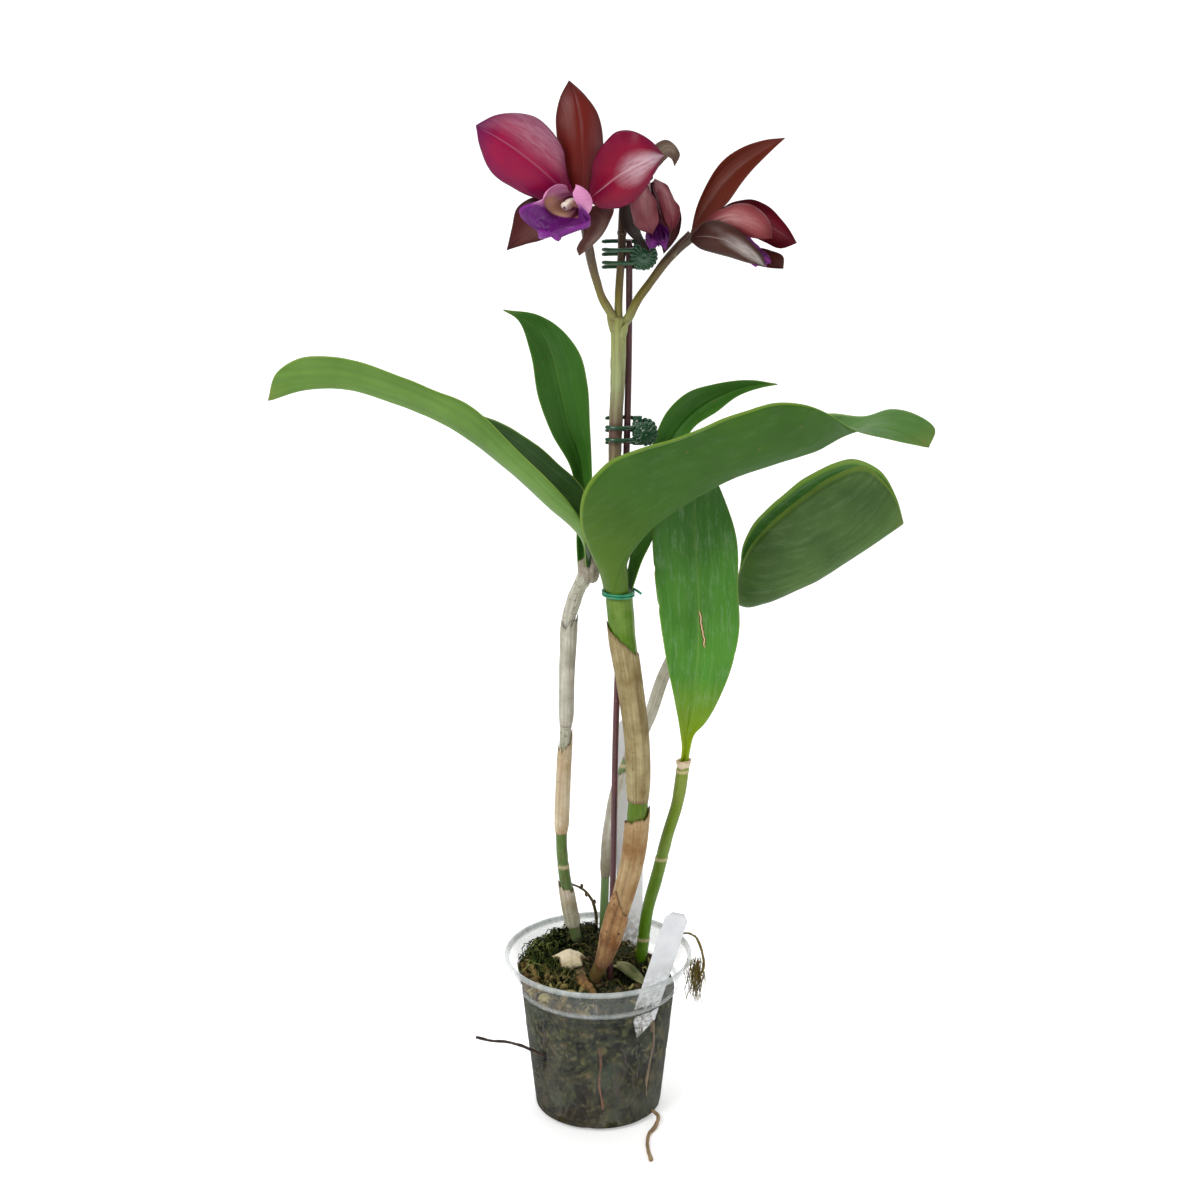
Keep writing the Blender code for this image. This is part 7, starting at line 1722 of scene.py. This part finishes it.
# %% Put the litter and the loose roots
wizened = rough_bump(0.16, 0.003, 3, 5, 0.05)
LITTER = {  # piece: its shape, its material, the node that it stands for and its slot
    "rootstock_body": (
        tube(rail(RHIZOME, 140), profile(RHIZOME_RADII, 140) * 1.04, 24, ringed),
        plain_paint(
            "rootstock_skin", (150, 126, 88), (92, 70, 44), 260, 0.8, (1, 0.35, 1), 0.0004,
            (700, 0.6, (60, 44, 28))),
        ["rhizome"], "root_brown"),
    "root_knob": (
        tube(rail(ROOT_TIP, 60), profile(ROOT_TIP_RADII, 60), 28, rough_bump(0.42, 0.0026, 3, 6, 0.02)),
        plain_paint(
            "root_knob_skin", (150, 114, 58), (78, 52, 24), 240, 0.75, (1, 1, 1), 0.0004,
            (600, 0.7, (46, 30, 16))),
        (), "root_brown"),
    "curled_scrap": (
        curled_scrap(),
        dry_paint("scrap_paper", (238, 230, 206), (208, 192, 154), (128, 100, 62), 0.3),
        ["papery_scrap"], WHITE),
    "striped_bract": (
        grown_bract(),
        dry_paint("bract_paper", (184, 178, 126), (66, 80, 36), (36, 40, 18), 0.7),
        ["dry_bract"], TAN),
    "budded_twig": (
        budded_twig(),
        plain_paint(
            "twig_skin", (112, 98, 62), (64, 50, 30), 500, 0.8, (1, 1, 0.4), 0.0003,
            (900, 0.5, (150, 128, 98))),
        ["dead_twig"], "root_brown"),
    "side_root_body": (
        tube(rail(SIDE_ROOT, 150), profile(SIDE_ROOT_RADII, 150), 18, wizened),
        plain_paint(
            "side_root_skin", (62, 42, 34), (36, 26, 22), 420, 0.75, (0.3, 1, 1), 0.0003,
            (900, 0.4, (116, 88, 66))),
        ["side_root"], "root_brown"),
    "floor_root_body": (
        tube(rail(TABLE_ROOT, 170), profile(TABLE_ROOT_RADII, 170) * 0.97, 18, wizened),
        plain_paint(
            "floor_root_skin", (172, 146, 108), (122, 96, 66), 420, 0.75, (1, 0.3, 1), 0.0003,
            (900, 0.4, (90, 66, 44))),
        ["table_root"], "root_brown"),
}
for name, made in LITTER.items():
    put(name, *made)

# %% Moss that hangs over the rim
draw = np.random.default_rng(12)
count, steps = 46, np.linspace(0, 1, 26)
starts, spans = draw.uniform(0, 0.55, count), draw.uniform(0.25, 0.45, count)
at = np.clip(starts[:, None] + spans[:, None] * steps, 0, 1) * 59
spin = draw.uniform(0, math.tau, count)[:, None] + 5 * steps
away = (np.interp(at / 59, [0, 0.6, 1], [0.5, 0.8, 1.2]) * MM) * draw.uniform(0.3, 1.0, (count, 1))
core = read_at(at, np.arange(60), rail(MOSS_LOOP, 60))
core = core + np.stack([np.cos(spin) * away, np.sin(spin) * away, np.cos(1.3 * spin) * away * 0.6], axis=-1)
width = draw.uniform(0.18, 0.34, (count, 1)) * MM * np.interp(steps, [0, 0.1, 0.9, 1], [0.5, 1, 1, 0.4])
loop_threads = threads(core, width, draw.random(count))

count, steps = 90, np.linspace(0, 1, 10)
first = [
    53.4 + draw.normal(0, 1.9, count), 12.6 + draw.normal(0, 1.4, count), 74 + draw.uniform(-5, 5, count)]
drop = draw.uniform(7, 20, count)
lean_x, lean_y = draw.uniform(-3.5, 1.5, count), draw.uniform(-2.2, 2.2, count)
number = np.arange(count)[:, None]
sway = np.stack(
    [
        lean_x[:, None] * steps + 0.7 * np.sin(7 * steps + spin[0, 0] + number),
        lean_y[:, None] * steps + 0.7 * np.cos(6 * steps + number),
        -drop[:, None] * steps,
    ],
    axis=-1,
)
hang = (np.stack(first, axis=1)[:, None] + sway) * MM
width = draw.uniform(0.2, 0.42, (count, 1)) * MM * np.interp(steps, [0, 0.2, 1], [0.7, 1, 0.3])
rim_paint = moss_paint("rim_moss_thread", (84, 72, 34), (130, 114, 58), (176, 160, 98))
rim_moss = join([loop_threads, threads(hang, width, draw.random(count))])
put("rim_moss_threads", rim_moss, rim_paint, ["rim_moss"], "root_brown")

# %% [markdown]
# ## 13. Stake, labels, tie and clips
#
# The supports are plain made things: a thin ribbed rod, two bare plastic strips, a coated wire
# and two claw clips with a grip shaped like a daisy. The front half of each clip swings on its
# pin, so it rides on its own body.


# %% Stake and tie
def rod_ribs(at, angle):
    """Nine shallow ribs along the rod, by a cosine of the angle."""
    return 0.035 * np.cos(9 * angle) - 0.02


stake_radius = STAKE_RADIUS * eased(120, [0, 0.004, 0.996, 1], [0.7, 1, 1, 0.75])
stake_paint = plain_paint(
    "stake_skin", (96, 50, 52), (66, 36, 40), 60, 0.42, (16, 16, 0.5), 0.0002,
    (600, 0.35, (136, 100, 92)))
put("stake_rod", tube(rail(STAKE, 120), stake_radius, 36, rod_ribs), stake_paint, ["stake"], "stake_maroon")


def tie_line():
    """A wire wound 2.2 times round cane and stake, like a belt round two pulleys, in millimetres."""
    cane_middle, cane_reach = np.array([10.2, -6.0]), 7.8
    stake_middle, stake_reach = np.array([11.5, 4.3]), 3.3
    low, pitch, count, steps = 288.6, 1.4, 2.2, 20
    lean = math.acos((cane_reach - stake_reach) / np.linalg.norm(stake_middle - cane_middle))
    angle = math.tau * np.arange(int(count * steps) + 1)[:, None] / steps
    near_stake = np.abs(np.remainder(angle + math.pi, math.tau) - math.pi) < lean
    middle = np.where(near_stake, stake_middle, cane_middle)
    reach = np.where(near_stake, stake_reach, cane_reach)
    round_them = middle + reach * np.concatenate([np.sin(angle), np.cos(angle)], axis=1)
    wound = np.concatenate([round_them, low + pitch * angle / math.tau], axis=1)
    tail = wound[-1] + [[1.8, -1.4, -0.6], [4.4, -2, -2.4]]
    return rail(np.concatenate([wound, tail]) * MM, 320)


tie_paint = plain_paint("tie_skin", (16, 140, 96), (10, 112, 76), 300, 0.35, Coat_Weight=0.4)
put("tie_wire", tube(tie_line(), 0.67 * MM, 10), tie_paint, ["twist_tie"], "tie_green")


# %% Labels
def label_strip(foot, top, roll, point=11 * MM, corner=3.5 * MM):
    """A flat strip whose half width is  min(w, y w / point, w - (y - y_corner))  up its length."""
    up, across, _ = label_ways(foot, top, roll)
    length, half = float(np.linalg.norm(top - foot)), LABEL_WIDTH / 2
    y = np.concatenate([np.linspace(0.25 * MM, length, 40), [point, length - corner]])
    y = np.unique(y)[:, None]
    wide = np.minimum(half, y * half / point)
    wide = np.minimum(wide, half - np.maximum(0, y - (length - corner)))
    grid = foot + y[..., None] * up + (wide * np.linspace(-1, 1, 25))[..., None] * across
    return sheet(grid, LABEL_THICKNESS * 0.98, edge=24)


LABELS = {  # foot, top, roll, then the material and the heights that its dirt spans
    "label_strip": (LABEL_FOOT, LABEL_TOP, LABEL_TURN, "label_front", 0.056, 0.094, "plant_label"),
    "rear_label_strip": (REAR_LABEL_FOOT, REAR_LABEL_TOP, 0.0, "label_rear", 0.07, 0.1, "rear_plant_label"),
}
for name, (foot, top, roll, *looks, node) in LABELS.items():
    put(name, label_strip(foot, top, roll), label_paint(*looks), [node], "label_white")


# %% Claw clips
def slab(low, high, soft=0.35 * MM, waves=0, depth=0.0):
    """A box with rounded edges, swept along its height, with ribs of this depth across it."""
    low, high = np.array(low), np.array(high)
    middle, half = (low + high) / 2, (high - low) / 2
    z, turn = np.linspace(-1, 1, 60 if waves else 24)[:, None], turns(32)[None, :]
    x, y = (np.sign(way) * np.abs(way) ** 0.28 for way in (np.cos(turn), np.sin(turn)))
    near_end = np.maximum(0, np.abs(z) * half[2] - half[2] + soft) / soft
    inset = soft * (1 - np.sqrt(np.maximum(0, 1 - near_end**2)))
    groove = depth * (0.5 - 0.5 * np.cos(math.tau * waves * (z + 1) / 2))
    shape = [x * (half[0] - inset - groove), y * (half[1] - inset), z * half[2] + 0 * turn]
    return closed_rings(middle + np.stack(shape, axis=-1))


def knuckle(low, high):
    """A hinge eye: a ring with softened edges and a bore for the pin."""
    soft, fine, outer, inner = 0.25 * MM, 0.1 * MM, KNUCKLE_RADIUS, KNUCKLE_BORE
    outside = [(outer - soft, low), (outer, low + soft), (outer, high - soft), (outer - soft, high)]
    bore = [(inner + fine, high), (inner, high - fine), (inner, low + fine), (inner + fine, low)]
    return turned(outside + bore, 48)


def daisy(radius, petals, y, side, offset):
    """A disc whose rim is a ring of beads and whose middle is raised, facing along Y."""
    thickness = 1.7 * MM
    parts = []
    bead = radius * math.sin(math.pi / petals) * 1.02
    reach = radius - bead
    for k in range(petals):
        angle = math.tau * (k + 0.5) / petals
        way = reach * np.array([math.cos(angle), 0, math.sin(angle)])
        parts.append(ball(way + [offset, y, 0], (bead, thickness / 2, bead), 8, 16))
        spoke = np.linspace(0.3, 0.92, 8)[:, None] * way + [offset, y + side * 0.35 * MM, 0]
        parts.append(tube(spoke, 0.42 * bead + 0.15 * MM, 8))
    rise = np.array([
        [0.02, 0], [0.35, 0], [0.6, 0], [1.0, 0], [1.0, 1],
        [0.62, 1], [0.52, 1.35], [0.3, 1.55], [0.02, 1.6]])
    steps = (rise - [0, 0.5]) * [radius - 1.1 * bead, thickness * 0.82]
    disc = turned(steps, 48)
    x, z, up = disc["points"].T
    disc["points"] = np.stack([offset + x, y + side * up, -side * z], axis=1)
    return parts + [disc]


def jaw_body(side, reach, grip_radius, offset, petals, fingers, knuckles, hinge):
    """Half of a clip round the origin: fingers, ribbed plate, hinge eyes and daisy, then moved."""
    parts = []
    bow = (0.2 * MM, 3.4), (-0.22 * reach, 5.4), (-0.52 * reach, 6.4), (-0.8 * reach, 5.7), (-reach, 3.2)
    for height in fingers:
        path = rail([(x, side * out * MM, height) for x, out in bow], 40)
        thick = FINGER_RADIUS * eased(40, [0, 0.2, 0.9, 0.97, 1], [1.1, 1.0, 1.0, 0.8, 0.35])
        parts.append(tube(path, thick, 16, squeeze=(1.0, 0.95)))
    tall = max(fingers) + 1.2 * MM
    inner, outer = sorted((side * 2.5 * MM, side * 4.7 * MM))
    parts.append(slab((-1.9 * MM, inner, -tall), (3.0 * MM, outer, tall), waves=6, depth=0.35 * MM))
    inner, outer = sorted((side * 1.4 * MM, side * 3.2 * MM))
    for low, high in knuckles:
        parts += [knuckle(low, high), slab((-1.2 * MM, inner, low), (1.2 * MM, outer, high))]
    made = join(parts + daisy(grip_radius, petals, side * 5.3 * MM, side, offset))
    made["points"] = made["points"] + hinge
    return made


clip_paint = plain_paint(
    "clip_plastic", (34, 84, 50), (26, 68, 40), 90, 0.26, bump=0.00008,
    specks=(900, 0.12, (120, 150, 120)), Coat_Weight=0.25)
pin_paint = plain_paint(
    "pin_metal", (170, 172, 174), (140, 142, 146), 300, 0.3, (1, 1, 0.1), 0.00005, Metallic=1.0)
HALVES = {  # side, finger heights in pitches, heights of the hinge eyes, and the end of the body's name
    "rear": (1, (-1, 0, 1), (mm(2.6, 4.8), mm(-4.8, -2.6)), None),
    "front": (-1, (-0.5, 0.5), (mm(-2.2, 2.2),), "_jaw"),
}
for name, (hinge, *grip) in CLIPS.items():
    for half, (side, fingers, eyes, ending) in HALVES.items():
        made = jaw_body(side, *grip, [share * FINGER_PITCH for share in fingers], eyes, hinge)
        body = name + ending if ending else PLANT
        put(f"{name}_{half}_half", made, clip_paint, [f"{name}_{half}_jaw"], "clip_green", body)
    pin_line = hinge + np.linspace(-6, 6, 20)[:, None] * mm(0, 0, 1)
    pin_radius = PIN_RADIUS * eased(20, [0, 0.03, 0.97, 1], [0.7, 1, 1, 0.7])
    put(name + "_hinge_pin", tube(pin_line, pin_radius, 24), pin_paint, [name + "_pin"], "pin_steel")

# %% [markdown]
# ## 14. Sizes and finish
#
# The outline of the dressed plant and the outline of its solids are printed side by side.

# %% Sizes and finish
new_low, new_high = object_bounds()
print("triangles in all:", sum(count for _, count in made_pieces), "pieces:", len(made_pieces))
print("largest:", sorted(made_pieces, key=lambda piece: -piece[1])[:5])
for axis, (low, high, new_l, new_h) in enumerate(zip(cad_low, cad_high, new_low, new_high)):
    print("xyz"[axis], "solids", round(low, 4), round(high, 4), "dressed", round(new_l, 4), round(new_h, 4))
